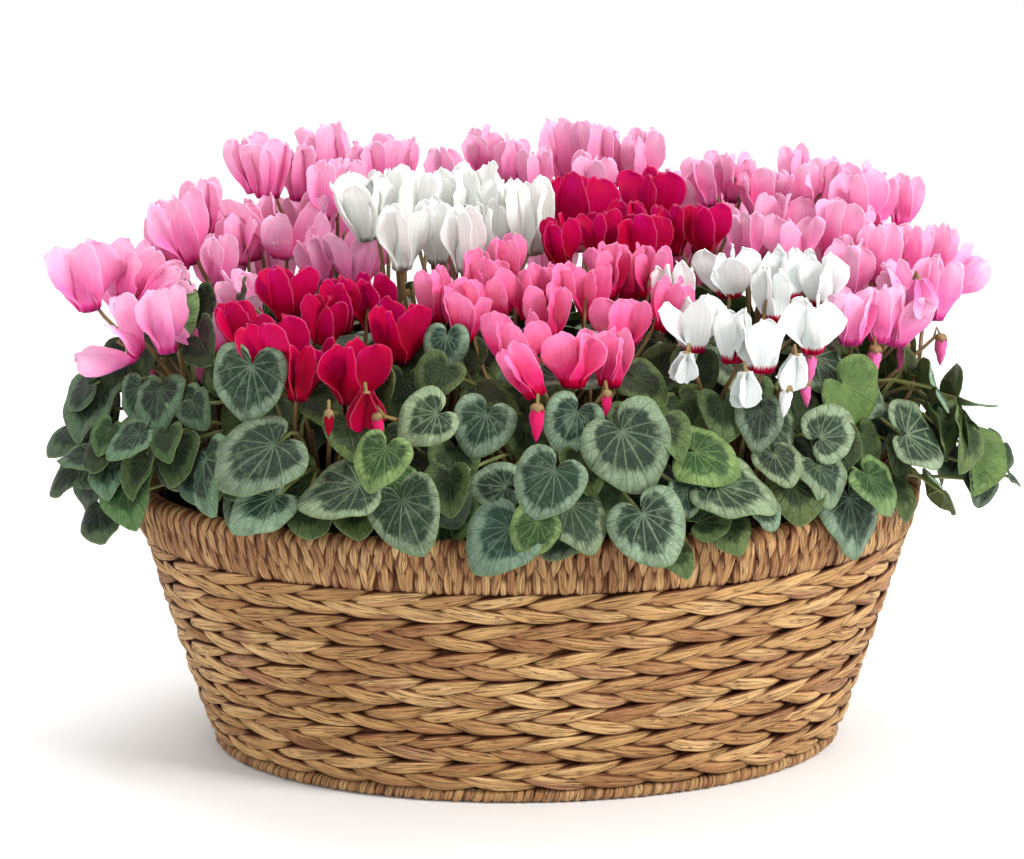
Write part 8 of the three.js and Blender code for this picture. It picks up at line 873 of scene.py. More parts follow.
    [0, -34.06, -54.66, 216.22, 0.614, -0.655, -0.441, -0.039, -0.822, 0.462, 24, 22.2, 2, 0.135, 0.118, 9.9, 0.08, 2.92, 6.42, 4.07, 2],
    [0, -44.17, -115.71, 152.77, 0.458, -0.407, -0.791, -0.032, -0.793, 0.527, 24.7, 24.3, 0, 0.102, 0.093, -2.36, -2.51, -1.64, 6.58, -3.8, 2],
    [2, 38.2, -114.89, 173.25, 0.097, -0.688, -0.719, -0.004, -0.669, 0.976, 24, 23.4, 0, 0.077, 0.088, 0.01, 8.85, 7.26, -7.1, -2.72, 2],
    [2, 45.99, -92.75, 146.02, 0.638, -0.182, -0.748, 0.243, -1.1, 0.068, 24, 23.3, 2, 0.137, 0.07, -3.38, 7.55, -5.8, -5.86, -4.84, 4.3],
    [2, 65.8, -114.53, 159.93, 0.343, -0.549, -0.762, -0.182, -0.62, 0.532, 24.4, 24, 0, 0.087, 0.158, -7.54, -9.42, 6.31, -4.93, -5.79, 2],
    [5, -147.77, -70.46, 160.79, -0.728, -0.322, -0.605, -0.035, -0.619, 0.457, 24, 22, 1, 0.124, 0.056, 5.17, 3.63, -6.72, 1.92, -7.35, 4.3],
    [5, -162.93, 7.63, 218.91, -0.525, -0.006, -0.851, -1.027, -0.313, 0.631, 25.4, 27.2, 1, 0.146, 0.166, 2, 7.11, -4.7, -5.54, 5.21, 2],
    [0, -137.89, -95, 148.12, -0.626, -0.348, -0.698, -0.384, -0.787, 0.716, 24.4, 24, 2, 0.107, 0.082, -5.73, -1.4, -3.49, -5.69, -5.04, 2],
    [2, 43.48, -64.61, 214.33, -0.852, -0.318, -0.417, -0.075, -0.765, 0.459, 24.6, 24.5, 0, 0.072, 0.163, -2.71, -3.21, -0.42, -7.12, 2.67, 2],
    [0, -48.01, -96.5, 168.82, 0.783, -0.354, -0.511, -0.158, -0.756, 0.833, 24, 23.6, 4, 0.129, 0.163, 6.09, -9.38, 4.78, 7.41, -1.7, 2],
    [2, 99.03, -50.88, 190.38, 0.665, 0.057, -0.745, 0.376, -0.841, 0.095, 24, 22.4, 0, 0.059, 0.084, -7.07, 10.99, -8.16, 0.61, 7.58, 4.3],
    [5, -160.23, -82.78, 157.23, 0.393, -0.778, -0.491, -0.686, -0.511, 0.504, 25.3, 24.5, 2, 0.196, 0.119, 1.55, 0.96, -2.44, 1.11, -7.52, 2],
    [0, -39.18, -69.55, 212.41, -0.498, -0.392, -0.773, 0.2, -0.726, 0.234, 24.3, 23.9, 4, 0.104, 0.052, 5.47, -1.46, 8.85, 7.38, 1.83, 2],
    [2, 250.78, -0.32, 130.63, 0.667, 0.418, -0.616, 0.684, -0.142, 0.814, 25.3, 26.2, 2, 0.135, 0.138, -7.81, -7.74, 10.72, 4.84, 5.86, 2],
    [3, -104.97, -55.77, 184.87, 0.321, -0.732, -0.601, -0.543, -0.71, 0.229, 24, 22.7, 1, 0.128, 0.167, 7.29, -1.92, 6.31, -5.87, -4.83, 2],
    [2, 141.95, -57.31, 183.79, -0.732, -0.613, -0.296, 0.487, -0.698, 0.577, 27.8, 25.9, 4, 0.108, 0.169, -5.52, -4.79, 3.36, 6.85, 3.29, 2],
    [0, -44.25, -47.47, 217.45, 0.307, -0.41, -0.859, -0.159, -1.148, 0.436, 24.1, 23.7, 0, 0.055, 0.135, -10.14, 7.68, 8.56, 7.58, 0.48, 4.3],
    [11, 157.55, -53.48, 151.82, 0.668, -0.205, -0.715, 0.722, -0.837, 0.882, 24, 24.5, 2, 0.077, 0.161, 5.58, -10.12, -0.39, -1.19, -7.51, 2],
    [5, -214.62, 18.72, 171.11, 0.265, -0.946, -0.185, -0.494, -0.537, 0.804, 28, 24.1, 4, 0.115, 0.152, -0.24, 6.42, 7.27, -6.17, 4.44, 4.3],
    [6, -223.8, -1.4, 144.49, 0.393, -0.884, -0.253, -0.673, -0.409, 0.668, 26.8, 22.5, 2, 0.173, 0.078, -6.98, 9.72, 4.43, -7.18, -2.49, 2],
    [2, 215.31, -9.93, 145.5, -0.297, -0.785, -0.544, 0.39, -0.54, 0.564, 24, 22, 0, 0.09, 0.119, -1.06, -3.97, 1.98, 4.68, 5.99, 4.3],
    [10, 240.82, 1.21, 145.39, -0.38, -0.867, -0.323, 0.624, -0.458, 0.612, 33.8, 28.4, 1, 0.061, 0.073, -2.45, 0.58, 2.56, 7.6, 0.02, 2],
    [0, -67.18, -126.53, 151.56, -0.076, -0.659, -0.748, -0.175, -0.71, 0.696, 24.7, 24.3, 0, 0.156, 0.091, 4.23, -0.18, 1.01, 5.32, -5.43, 2],
    [2, 227.19, -22.85, 132.66, 0.223, -0.642, -0.733, 0.658, -0.671, 0.59, 24.7, 28, 0, 0.106, 0.118, -10.36, -9.76, -8.18, 5.83, 4.88, 2],
    [6, -220.45, -1.89, 133.31, -0.395, -0.163, -0.904, -0.749, -0.717, 0.37, 25.5, 26.4, 2, 0.125, 0.116, 1.9, 5.72, 3.41, -7.4, -1.75, 4.3],
    [11, 183.18, 53.97, 193.05, 0.806, -0.216, -0.55, 0.631, 0.34, 0.505, 30.7, 28.8, 0, 0.099, 0.137, 10.56, 10.45, -3.43, 2.38, 7.22, 2],
    [9, 39.51, 133.56, 144.82, 0.005, 0.231, -0.973, 0.027, 0.978, 0.446, 30, 28.4, 0, 0.141, 0.129, -7.81, 10.81, -5.38, -3.75, 6.61, 2],
    [9, 94.97, 128.02, 158.12, -0.551, 0.583, -0.597, 0.408, 0.518, 0.198, 31.9, 28.8, 0, 0.156, 0.069, -8.98, 1.39, 6.76, 6.39, 4.12, 4.3],
    [5, -207.84, 17.63, 154.6, -0.244, 0.571, -0.784, -0.559, 0.35, 0.829, 31.8, 30.3, 1, 0.171, 0.063, -9.34, 8.99, 5.3, -5.48, 5.27, 2],
    [8, -3.45, 141.99, 169.58, 0.421, 0.439, -0.793, -0.051, 0.748, 0.634, 36, 34.3, 2, 0.109, 0.165, 5.29, 5.68, 1.93, 4.74, 5.94, 2],
    [7, -147.93, 89.17, 180.62, -0.59, 0.32, -0.741, -0.306, 0.649, 0.59, 29.6, 29.2, 0, 0.065, 0.157, -9.19, -0.42, -8.23, -7.01, -2.93, 2],
    [7, -24.09, 147.97, 148.62, 0.002, 0.38, -0.925, 0.073, 0.703, 0.37, 30.3, 29.1, 2, 0.121, 0.11, 6.35, 1.47, 12.06, 5.68, 5.05, 2],
    [8, -80.81, 125.84, 139.36, 0.223, 0.416, -0.882, -0.275, 0.902, 0.679, 35.3, 32, 0, 0.163, 0.098, -3.36, -1.89, 1.64, -5.03, 5.7, 2],
    [7, -104.97, 124.82, 144.5, -0.842, -0.263, -0.472, -0.494, 0.729, 0.548, 37.6, 35.2, 0, 0.11, 0.151, 2.94, -2.94, 1.29, -1.92, 7.35, 4.3],
    [6, -119.19, 68.83, 184.41, -0.92, -0.186, -0.344, -0.265, 0.739, 0.626, 31.5, 32.2, 0, 0.137, 0.065, 5.09, -1.28, 8.96, 1.55, 7.44, 2],
    [9, 9.2, 134.73, 147.04, 0.62, 0.204, -0.758, -0.025, 0.865, 0.495, 29.4, 26.6, 1, 0.183, 0.062, -4.07, -7.29, 8.5, -6.79, 3.41, 2],
    [10, 123.03, 115.11, 142.58, -0.313, 0.637, -0.704, 0.353, 0.787, 0.527, 38.5, 38.8, 0, 0.148, 0.103, -2.89, -0.97, -2.35, -1.55, 7.44, 2],
    [9, 153.77, 96.41, 151.06, -0.388, 0.738, -0.553, 0.57, 0.36, 0.795, 37, 37.2, 4, 0.198, 0.137, 7.83, 1.39, 12.42, 7.55, 0.91, 4.3],
    [5, -184.06, 78.92, 174.38, 0.185, 0.683, -0.707, -1.067, 0.588, 0.194, 27.5, 27.2, 1, 0.097, 0.157, 4.8, 7.14, -6.01, -2.38, 7.22, 4.3],
    [10, 194.57, 58.41, 155.77, 0.67, -0.394, -0.629, 0.807, 0.346, 0.584, 39.8, 41, 1, 0.196, 0.086, -1.72, -0.94, 2.37, 6.76, -3.47, 2],
    [6, -133.73, 106.92, 155.33, -0.668, -0.109, -0.737, -0.49, 0.829, 0.607, 24, 22, 1, 0.162, 0.102, 10.69, -7, 2.81, -0.63, 7.57, 2],
    [9, 24.6, 124.26, 168.12, -0.395, 0.808, -0.436, 0.052, 0.445, 0.875, 29.8, 27.3, 2, 0.09, 0.094, -9.41, -6.45, 3.94, -5.13, 5.61, 2],
    [7, -166.24, 97.9, 147.66, -0.816, -0.029, -0.578, -0.418, 0.905, 0.177, 33.2, 33.9, 0, 0.127, 0.079, -6.02, 3.55, 1.24, -7.56, 0.79, 2],
    [3, -58.57, 45.78, 186.8, -0.2, 0.922, -0.332, -0.155, 0.341, 0.865, 35.7, 36.9, 0, 0.064, 0.12, 0.08, 3.49, -0.88, -0.38, 7.59, 2],
    [11, 119.75, -9.2, 167.68, 0.902, -0.125, -0.414, 0.368, 0.079, 0.876, 35.3, 34.6, 0, 0.059, 0.054, -0.3, 2.88, -0.76, -6.95, -3.07, 2],
    [8, -35.58, 82.34, 170.17, 0.302, 0.802, -0.515, -0.508, 0.537, 1.054, 32.7, 32.1, 2, 0.084, 0.147, 6.39, 3.85, -2.53, -6.48, -3.97, 2],
    [0, -113.56, -31.99, 169.55, -0.441, -0.578, -0.687, -0.398, -0.511, 0.67, 34, 31.9, 0, 0.173, 0.148, -3.34, 4.38, 3.21, -2.71, 7.1, 4.3],
    [4, 60.92, 52.17, 189.46, -0.548, 0.795, -0.261, 0.274, 0.407, 0.806, 34.6, 34.3, 1, 0.064, 0.073, -1.26, 0.09, 1.21, 1.43, 7.46, 4.3],
    [6, -97.83, 63.12, 192.33, -0.82, 0.523, -0.232, -0.169, 0.566, 1.006, 31.8, 29.9, 0, 0.087, 0.155, 9.44, 5.83, 11.08, 6.43, 4.05, 4.3],
    [2, 79.05, -30.32, 189.36, 0.714, -0.504, -0.485, 0.21, -0.429, 0.851, 38.1, 35.4, 2, 0.102, 0.158, 0.44, -2.17, 0.07, -2.54, 7.16, 4.3],
    [3, -15.34, 42.11, 184.18, 0.14, 0.983, -0.12, -0.027, 0.193, 0.964, 34.4, 35.4, 0, 0.155, 0.104, 1.08, 2.17, -2.22, 2.99, 6.99, 2],
    [11, 128.9, 10.22, 194.53, 0.564, 0.748, -0.348, 0.292, 0.203, 0.934, 38.4, 38.8, 0, 0.172, 0.122, -1.83, -2.91, 4.58, -7.57, 0.63, 2],
    [9, 20.74, 120.81, 163.17, 0.792, 0.432, -0.432, 0.33, 0.378, 0.902, 30.4, 28.9, 2, 0.129, 0.087, -2.06, -3.71, 0.23, -4.4, 6.2, 4.3],
    [10, 98.97, 53.15, 186.08, 0.629, 0.351, -0.694, 0.78, 0.564, 0.464, 34.3, 32.9, 0, 0.132, 0.122, -10.06, -0.23, 2.38, -7.03, -2.89, 4.3],
    [3, -96.88, -10.32, 179.12, -0.99, -0.07, -0.121, -0.072, -0.039, 0.93, 33.4, 34.3, 2, 0.081, 0.069, 2.55, 1.26, 0.26, -6.62, -3.73, 2],
    [9, 73, 71.38, 168.86, -0.222, 0.908, -0.355, 0.099, 0.572, 0.924, 28.5, 27.8, 2, 0.192, 0.105, -9.26, 3.13, -5.68, 5.91, -4.77, 2],
    [4, 8.75, 19.84, 190.16, 0.647, 0.674, -0.357, 0.062, 0.122, 0.787, 31.2, 30.5, 0, 0.092, 0.148, 4.04, -10.28, 1.26, -7.41, -1.7, 4.3],
    [4, 95.91, -5.85, 175.8, 0.917, 0.179, -0.357, 0.293, 0.032, 0.976, 32.4, 33.2, 4, 0.136, 0.087, -1.17, -2.69, 2.25, 6.96, -3.06, 4.3],
    [8, -16.84, 60.52, 183.67, -0.729, 0.622, -0.285, -0.006, 0.426, 0.889, 33.4, 31.6, 0, 0.082, 0.073, -0.91, 1.39, -3.78, 0.2, -7.6, 2],
    [5, -126.59, -2.91, 168.75, -0.844, 0.427, -0.324, -0.389, -0.194, 0.925, 37.3, 38.4, 2, 0.153, 0.057, -1.3, -0.27, -0.73, 6.82, 3.35, 2],
]


# ---------------------------------------------------------------- the basket's wall
def wall_at(z):
    s = z / RIM_H
    k = s + BULGE * 4 * s * (1 - s)
    return FOOT_A + (RIM_A - FOOT_A) * k, FOOT_B + (RIM_B - FOOT_B) * k


def even_angles(a, b, n):
    """n parameter values evenly spaced round an oval, from the back, and its length."""
    tt = math.pi / 2 + np.linspace(0, TAU, 6001)
    ds = np.hypot(a * np.sin(tt), b * np.cos(tt))
    cum = np.concatenate([[0], np.cumsum((ds[1:] + ds[:-1]) / 2) * (tt[1] - tt[0])])
    return np.interp(np.arange(n) / n * cum[-1], cum, tt), cum[-1]


def wall_frames(t, z):
    """Place on the wall, and the directions along it, up it and out of it."""
    z = np.broadcast_to(np.asarray(z, float), t.shape)
    s = z / RIM_H
    k, dk = s + BULGE * 4 * s * (1 - s), (1 + BULGE * 4 * (1 - 2 * s)) / RIM_H
    a, b = FOOT_A + (RIM_A - FOOT_A) * k, FOOT_B + (RIM_B - FOOT_B) * k
    p = np.stack([a * np.cos(t), b * np.sin(t), z], -1)
    along_ = unit(np.stack([-a * np.sin(t), b * np.cos(t), 0 * t], -1))
    up = unit(np.stack([(RIM_A - FOOT_A) * dk * np.cos(t), (RIM_B - FOOT_B) * dk * np.sin(t), 1 + 0 * t], -1))
    return p, along_, up, unit(np.cross(along_, up))


def plaited(shape, place, half, periods, key, steps=22, m=14, lift=-2.6, swing=2.1, fat=1.0):
    """A flat braid of three strands round the basket. place(share of the way round) gives the frame."""
    n = periods * steps
    for j in range(3):
        rng = dice(key, j)
        s = np.arange(n) / steps
        ph = TAU * (s + j / 3) + wobble(s, rng, 0.2, 0.9, 4, periods) * 0.16
        p, al, up, out = place(s / periods)
        over = np.clip(np.sin(2 * ph), 0, 1)
        height = half * 0.575 * (1 + 0.06 * wobble(s, rng, 0.6, 2.2, 4, periods)) * np.sin(ph)
        bulge = lift + swing * np.sin(2 * ph) + 0.28 * wobble(s, rng, 0.6, 2.2, 4, periods)
        c = p + up * height[:, None] + out * bulge[:, None]
        d = along(c, True)
        e = unit(np.cross(out, d))
        f = np.cross(d, e)
        w = half * (0.43 + 0.17 * over**0.7) * (1 + 0.09 * wobble(s, rng, 0.8, 2.5, 4, periods)) * fat
        h = (1.75 + 0.55 * over) * (1 + 0.1 * wobble(s, rng, 0.8, 2.5, 4, periods)) * fat
        k = np.arange(m) / m * TAU
        r1, r2 = wobble(s, rng, 0.3, 1.6, 4, periods) * 1.4, wobble(s, rng, 0.3, 1.8, 4, periods) * 1.7
        ridge = 1 + 0.055 * np.cos(4 * k[None] + r1[:, None]) + 0.045 * np.cos(6 * k[None] + r2[:, None])
        cs, sn = np.cos(k)[None] * ridge, np.sin(k)[None] * ridge
        v = c[:, None] + e[:, None] * (w[:, None] * cs)[..., None] + f[:, None] * (h[:, None] * sn)[..., None]
        length = np.cumsum(np.linalg.norm(np.roll(c, -1, 0) - c, axis=1))
        fib = np.stack([np.broadcast_to(length[:, None], (n, m)), w[:, None] * cs + 0 * sn, h[:, None] * sn + 29.0 * j + 7.0 * key], -1)
        seg = np.floor((ph + math.pi / 4) / math.pi).astype(int)
        tints = rng.uniform(0.06, 0.94, seg.max() + 3)
        # painted shade: the parts of a strand that lie back in the weave are marked darker
        depth = ((v - p[:, None]) * out[:, None]).sum(-1)
        deep = smooth(depth, lift + swing * 0.72, lift - swing * 0.75)
        # the far braid behind is painted almost all in shade
        if lift < -4:
            deep = 0.8 + 0.2 * deep
        shape.add(v.reshape(-1, 3), ring_quads(n, m, True), fib=fib.reshape(-1, 3), tint=np.repeat(tints[seg], m), deep=deep.ravel())


def strip(shape, c, out, w, full, tuck, rng, offset, tint, front=17, crown=1.15, under=0.9, cuts=(3, 6), edge_shade=0.95):
    """A flattened stalk along c: a crowned face split lengthwise by creases, and a plain back. full is how far it has
    swelled at each point, tuck how far it has gone under its neighbours; there, along its edges and low in its creases
    it is painted in shade."""
    n, back = len(c), 4
    x = np.concatenate([np.linspace(-1, 1, front), np.linspace(0.72, -0.72, back)])
    face = np.arange(front + back) < front
    m = front + back
    s = np.linspace(0, 1, n)
    d = along(c)
    e = unit(np.cross(out, d))
    f = np.cross(d, e)
    top = crown * (1 - np.abs(x) ** 2.6)[None] * np.ones((n, 1))
    for _ in range(rng.integers(*cuts)):
        at = rng.uniform(-0.8, 0.8) + rng.uniform(-0.18, 0.18) * wobble(s, rng, 0.4, 1.0, 2)
        cut = crown * rng.uniform(0.2, 0.6) * np.clip(0.5 + wobble(s, rng, 0.5, 1.4, 3), 0, 1)
        top = top - cut[:, None] * np.exp(-(((x[None] - at[:, None]) / rng.uniform(0.09, 0.16)) ** 2))
    top = top + 0.2 * crown * np.sin(x[None] * rng.uniform(2.5, 5) + rng.uniform(0, TAU) + 1.5 * s[:, None])
    lift = np.where(face[None], top, -under)
    lift = np.where(np.abs(x)[None] > 0.99, -0.5 * under, lift) * full[:, None]
    v = c[:, None] + e[:, None] * (w[:, None] * x[None])[..., None] + f[:, None] * lift[..., None]
    length = np.concatenate([[0], np.cumsum(np.linalg.norm(np.diff(c, axis=0), axis=1))])
    fib = np.stack([np.broadcast_to(length[:, None], (n, m)), np.broadcast_to(x[None] * w.max(), (n, m)), np.full((n, m), offset)], -1)
    # painted shade: darker along the edges, where it has tucked under, and low in the creases of its face
    edge = np.broadcast_to(smooth(np.abs(x), 0.67 if front > 12 else 0.55, 0.96)[None] * edge_shade, (n, m))
    deep = np.clip(edge + tuck[:, None] + 0.35 * smooth(lift, 0.45 * crown, -0.2), 0, 1)
    tips = np.vstack([c[0] - d[0] * 0.5, c[-1] + d[-1] * 0.5])
    k = np.arange(m)
    tris = np.vstack([np.stack([np.full(m, n * m), (k + 1) % m, k], 1), np.stack([np.full(m, n * m + 1), (n - 1) * m + k, (n - 1) * m + (k + 1) % m], 1)])
    shape.add(np.vstack([v.reshape(-1, 3), tips]), ring_quads(n, m, False), tris, fib=np.vstack([fib.reshape(-1, 3), fib[0, front // 2], fib[-1, front // 2]]), tint=tint, deep=np.concatenate([deep.ravel(), [1, 1]]))


def showing(shape, place, total, half, key, pitch=28.0):
    """The stretches of a flat braid that show: in its upper half they rise past the edge, in its lower half they fall
    past it, and each comes out from under the ones before it, swells, and tucks in again."""
    n = 17
    count = round(total / pitch)
    s = np.linspace(0, 1, n)
    for side in (1, -1):
        for k in range(count):
            rng = dice(key, 50 + side, k)
            length = 1.56 * total / count * rng.uniform(0.93, 1.08)
            mid = (k + (0.25 if side > 0 else 0.75) + rng.uniform(-0.07, 0.07)) / count
            p, al, up, out = place(mid + (s - 0.5) * length / total)
            swell = np.maximum(np.sin(math.pi * s**0.92), 0.02)
            y = half * (-0.06 + 0.90 * s + 0.08 * np.sin(math.pi * s) + 0.03 * wobble(s, rng, 0.4, 1.2, 3)) + rng.uniform(-0.25, 0.25)
            w = half * 0.53 * swell**0.66 * (1 + 0.06 * wobble(s, rng, 0.5, 2.2, 3)) * rng.uniform(0.93, 1.06)
            depth = -3.4 + 0.6 * s + 3.2 * swell**0.75 + 0.25 * wobble(s, rng, 0.5, 1.5, 3)
            c = p + up * (side * y)[:, None] + out * depth[:, None]
            # where it goes under its neighbours at each end it is painted in shade
            tuck = smooth(s, 0.18, 0.0) + 0.85 * smooth(s, 0.84, 1.0)
            strip(shape, c, out, w, 0.35 + 0.65 * np.minimum(1, 1.6 * swell), tuck, rng, 7.0 * k + 3.0 * side + 13.0 * (key % 7), rng.uniform(0.08, 0.95))


def wall_place(zc, turn):
    a, b = wall_at(zc)
    even, total = even_angles(a, b, 4096)
    even = np.concatenate([even, [even[0] + TAU]])

    def place(share):
        x = (share + turn) % 1.0
        t = np.interp(x * 4096, np.arange(4097), even)
        return wall_frames(t, zc)

    return place, total


def floor_place(a, b, z, turn):
    even, total = even_angles(a, b, 4096)
    even = np.concatenate([even, [even[0] + TAU]])

    def place(share):
        x = (share + turn) % 1.0
        t = np.interp(x * 4096, np.arange(4097), even)
        p = np.stack([a * np.cos(t), b * np.sin(t), z + 0 * t], -1)
        al = unit(np.stack([-a * np.sin(t), b * np.cos(t), 0 * t], -1))
        out = np.broadcast_to(np.array([0, 0, -1.0]), p.shape)
        return p, al, unit(np.cross(out, al)), out

    return place, total


# ---------------------------------------------------------------- camera, at the photograph's viewing angle
eye, look, focal = np.array([-73.6, -1404.3, 494.2]), np.array([-7.85, 0.0, 160.3]), 2866.6
fwd = unit(look - eye)
side = unit(np.cross(fwd, [0, 0, 1]))
over_ = np.cross(side, fwd)
cam_data = bpy.data.cameras.new("camera")
cam_data.sensor_fit, cam_data.sensor_width = "HORIZONTAL", 36.0
cam_data.lens = focal * 36 / 1024
cam_data.clip_start, cam_data.clip_end = 0.05, 60
cam = bpy.data.objects.new("camera", cam_data)
bpy.context.scene.collection.objects.link(cam)
mat = Matrix([[side[i], over_[i], -fwd[i], eye[i] * 0.001] for i in range(3)] + [[0, 0, 0, 1]])
cam.matrix_world = mat
bpy.context.scene.camera = cam
bpy.context.scene.view_settings.view_transform = "Standard"

# ---------------------------------------------------------------- floor and light
floor_mesh = bpy.data.meshes.new("floor")
floor_mesh.from_pydata([(-9, -9, 0), (9, -9, 0), (9, 9, 0), (-9, 9, 0)], [], [(0, 1, 2, 3)])
floor = bpy.data.objects.new("floor", floor_mesh)
bpy.context.scene.collection.objects.link(floor)
g = Net("pale_floor", 0.8, 0.2)
floor_mesh.materials.append(g.finish(g.ramp(g.noise(g.where(), 3.0, 3), (0.3, (0.88, 0.88, 0.88)), (0.7, (0.91, 0.91, 0.91)))))

world = bpy.data.worlds.new("studio")
bpy.context.scene.world = world
world.use_nodes = True
bg = world.node_tree.nodes.get("Background") or world.node_tree.nodes.new("ShaderNodeBackground")
bg.inputs["Color"].default_value = (1.0, 1.0, 1.0, 1.0)
bg.inputs["Strength"].default_value = 0.84


def lamp(name, at, to, size, power, tone=(1, 1, 1)):
    d = bpy.data.lights.new(name, "AREA")
    d.shape, d.size, d.energy, d.color = "DISK", size, power, tone
    o = bpy.data.objects.new(name, d)
    bpy.context.scene.collection.objects.link(o)
    o.location = at
    o.rotation_mode = "QUATERNION"
    o.rotation_quaternion = (Vector(to) - Vector(at)).to_track_quat("-Z", "Y")
    return o


lamp("key", (1.5, -1.1, 1.4), (0, 0, 0.14), 0.7, 42.0, (1.0, 0.985, 0.965))
lamp("fill", (-1.5, -1.2, 0.9), (0, 0, 0.14), 1.4, 4.0, (0.97, 0.985, 1.0))
lamp("top", (-0.1, 0.4, 1.9), (0, 0, 0.2), 1.1, 17.0)
lamp("far_floor", (0.0, 5.0, 3.5), (0, 5.0, 0), 4.0, 60.0)

# ---------------------------------------------------------------- basket pieces
braid_mat = fibre_material("braided_stalks", 1.13, 0.04)
cord_mat = fibre_material("corded_stalks", 1.02, 0.10)
STEP = (BAND_Z - FOOT_H) / BRAIDS
for i in range(BRAIDS):
    zc = FOOT_H + (i + 0.5) * STEP
    place, total = wall_place(zc, dice(3, i).uniform(0, 0.08))
    s = Shape()
    # the far side of the braid, painted dark as the shade between the stretches that show
    plaited(s, place, STEP / 2, round(total / 79), 100 + i, 12, 8, -5.3, 0.9, 0.9)
    showing(s, place, total, STEP / 2, 100 + i)
    s.build("woven_row_%d" % (i + 1), braid_mat, "braided_fibre", ["wall_braid_%d" % (i + 1)])

# the woven floor, under the basket
s = Shape()
a, b = 141.0, 87.0
i = 0
while b > 9:
    place, total = floor_place(a, b, 3.9, 0.3 * i)
    plaited(s, place, 7.3, max(3, round(total / 80)), 140 + i, 16, 10, 0.0, 1.1, 0.72)
    a, b, i = a - 14.6, b - 14.6, i + 1
s.build("woven_floor", braid_mat, "floor_fibre", ["basket_base"])

# the rim band: flattened stalks looped over the hoop in three tiers, each tier showing between the points of the one above
CORDS = 178
a, b = wall_at(126)
even, total = even_angles(a, b, CORDS * 2)
path = np.array([(0.6, 112.5), (0.5, 118), (0.1, 124), (-0.4, 130), (-1.5, 134.4), (-4.0, 136.9), (-7.4, 137.0), (-10.0, 134.4), (-10.6, 129.0), (-10.3, 122.0)])
fine = spline(np.column_stack([path, np.zeros(len(path))]), 200)[:, :2]
run = np.concatenate([[0], np.cumsum(np.linalg.norm(np.diff(fine, axis=0), axis=1))])
s = Shape()
for i in range(CORDS * 2):
    for tier in ((1, 3) if i % 2 == 0 else (0, 2)):
        rng = dice(200, i, tier)
        lo = (rng.normal(17.5, 1.5), rng.normal(8.6, 1.4), rng.normal(0.5, 0.4), rng.normal(0.0, 0.3))[tier]
        hi = (run[-1], 27.0, 18.5, 10.5)[tier]
        n = (19, 14, 13, 9)[tier]
        at = np.linspace(max(lo, 0), hi, n)
        low_ = at - at[0]
        # the stalks lean over at the left, where the band turns away
        lean = rng.normal(0, 0.09) - 0.34 * smooth(-math.cos(even[i]), 0.3, 0.9) * (math.sin(even[i]) < 0.4) + (0.07 if tier < 2 else 0.0) * (1 if i % 4 < 2 else -1)
        sway = lean * np.minimum(at - 14, 6) + 0.4 * wobble(at / 20, rng, 0.4, 1.2, 3)
        t = even[i] + (sway + rng.normal(0, 0.22)) / np.hypot(a * math.sin(even[i]), b * math.cos(even[i]))
        o_ = np.interp(at, run, fine[:, 0]) + (0.65, 0.25, -0.1, -0.5)[tier] + 0.55 * np.sin(np.clip(low_ / 9, 0, 1) * math.pi)
        z = np.interp(at, run, fine[:, 1])
        aa, bb = wall_at(z)
        c = np.stack([(aa + o_) * np.cos(t), (bb + o_) * np.sin(t), z], -1)
        side_ = unit(np.stack([-a * np.sin(t), b * np.cos(t), 0 * t], -1))
        d = along(c)
        out = unit(np.cross(d, side_))
        if (out[0] * [math.cos(even[i]), math.sin(even[i]), 0]).sum() < 0:
            out = -out
        point = smooth(low_, -0.6 if tier < 2 else -2.0, (7.0, 7.0, 4.0, 3.0)[tier])
        w = (2.95, 2.9, 2.7, 2.3)[tier] * rng.uniform(0.9, 1.1) * ((0.16 + 0.84 * point) if tier < 2 else (0.6 + 0.4 * point)) * (1 + 0.05 * wobble(at / 20, rng, 0.5, 2.0, 3))
        if tier == 0:
            w = w * (1 - 0.10 * smooth(at, 20, 27))
        # painted shade at both ends, where the stalk goes under its neighbours
        gone = ((34.0, 44.0), (17.0, 25.0), (8.5, 16.5), (3.5, 10.0))[tier]
        tuck = 0.5 * smooth(low_, 1.8, 0.0) + 0.85 * smooth(at, *gone)
        strip(s, c, out, w, 0.45 + 0.55 * point, tuck, rng, 5.3 * i + 2.1 * tier, rng.uniform(0.05, 0.95), 11, 1.2, 0.8, (2, 4), 1.1)
# what shows between the stalks of the band, painted half in shade
for i in range(CORDS):
    rng = dice(201, i)
    at = np.linspace(0, min(27.0, run[-1]), 7)
    t = np.full(7, even[2 * i])
    o_, z = np.interp(at, run, fine[:, 0]) - 1.7, np.interp(at, run, fine[:, 1])
    aa, bb = wall_at(z)
    c = np.stack([(aa + o_) * np.cos(t), (bb + o_) * np.sin(t), z], -1)
    side_ = unit(np.stack([-a * np.sin(t), b * np.cos(t), 0 * t], -1))
    out = unit(np.cross(along(c), side_))
    if (out[0] * [math.cos(t[0]), math.sin(t[0]), 0]).sum() < 0:
        out = -out
    strip(s, c, out, np.full(7, 3.7), np.full(7, 1.0), np.full(7, 0.55), rng, 3.1 * i, rng.uniform(0.1, 0.5), 7, 0.5, 0.5, (1, 2), 0.6)
s.build("wrapped_rim", cord_mat, "corded_fibre", ["rim_wrap"])

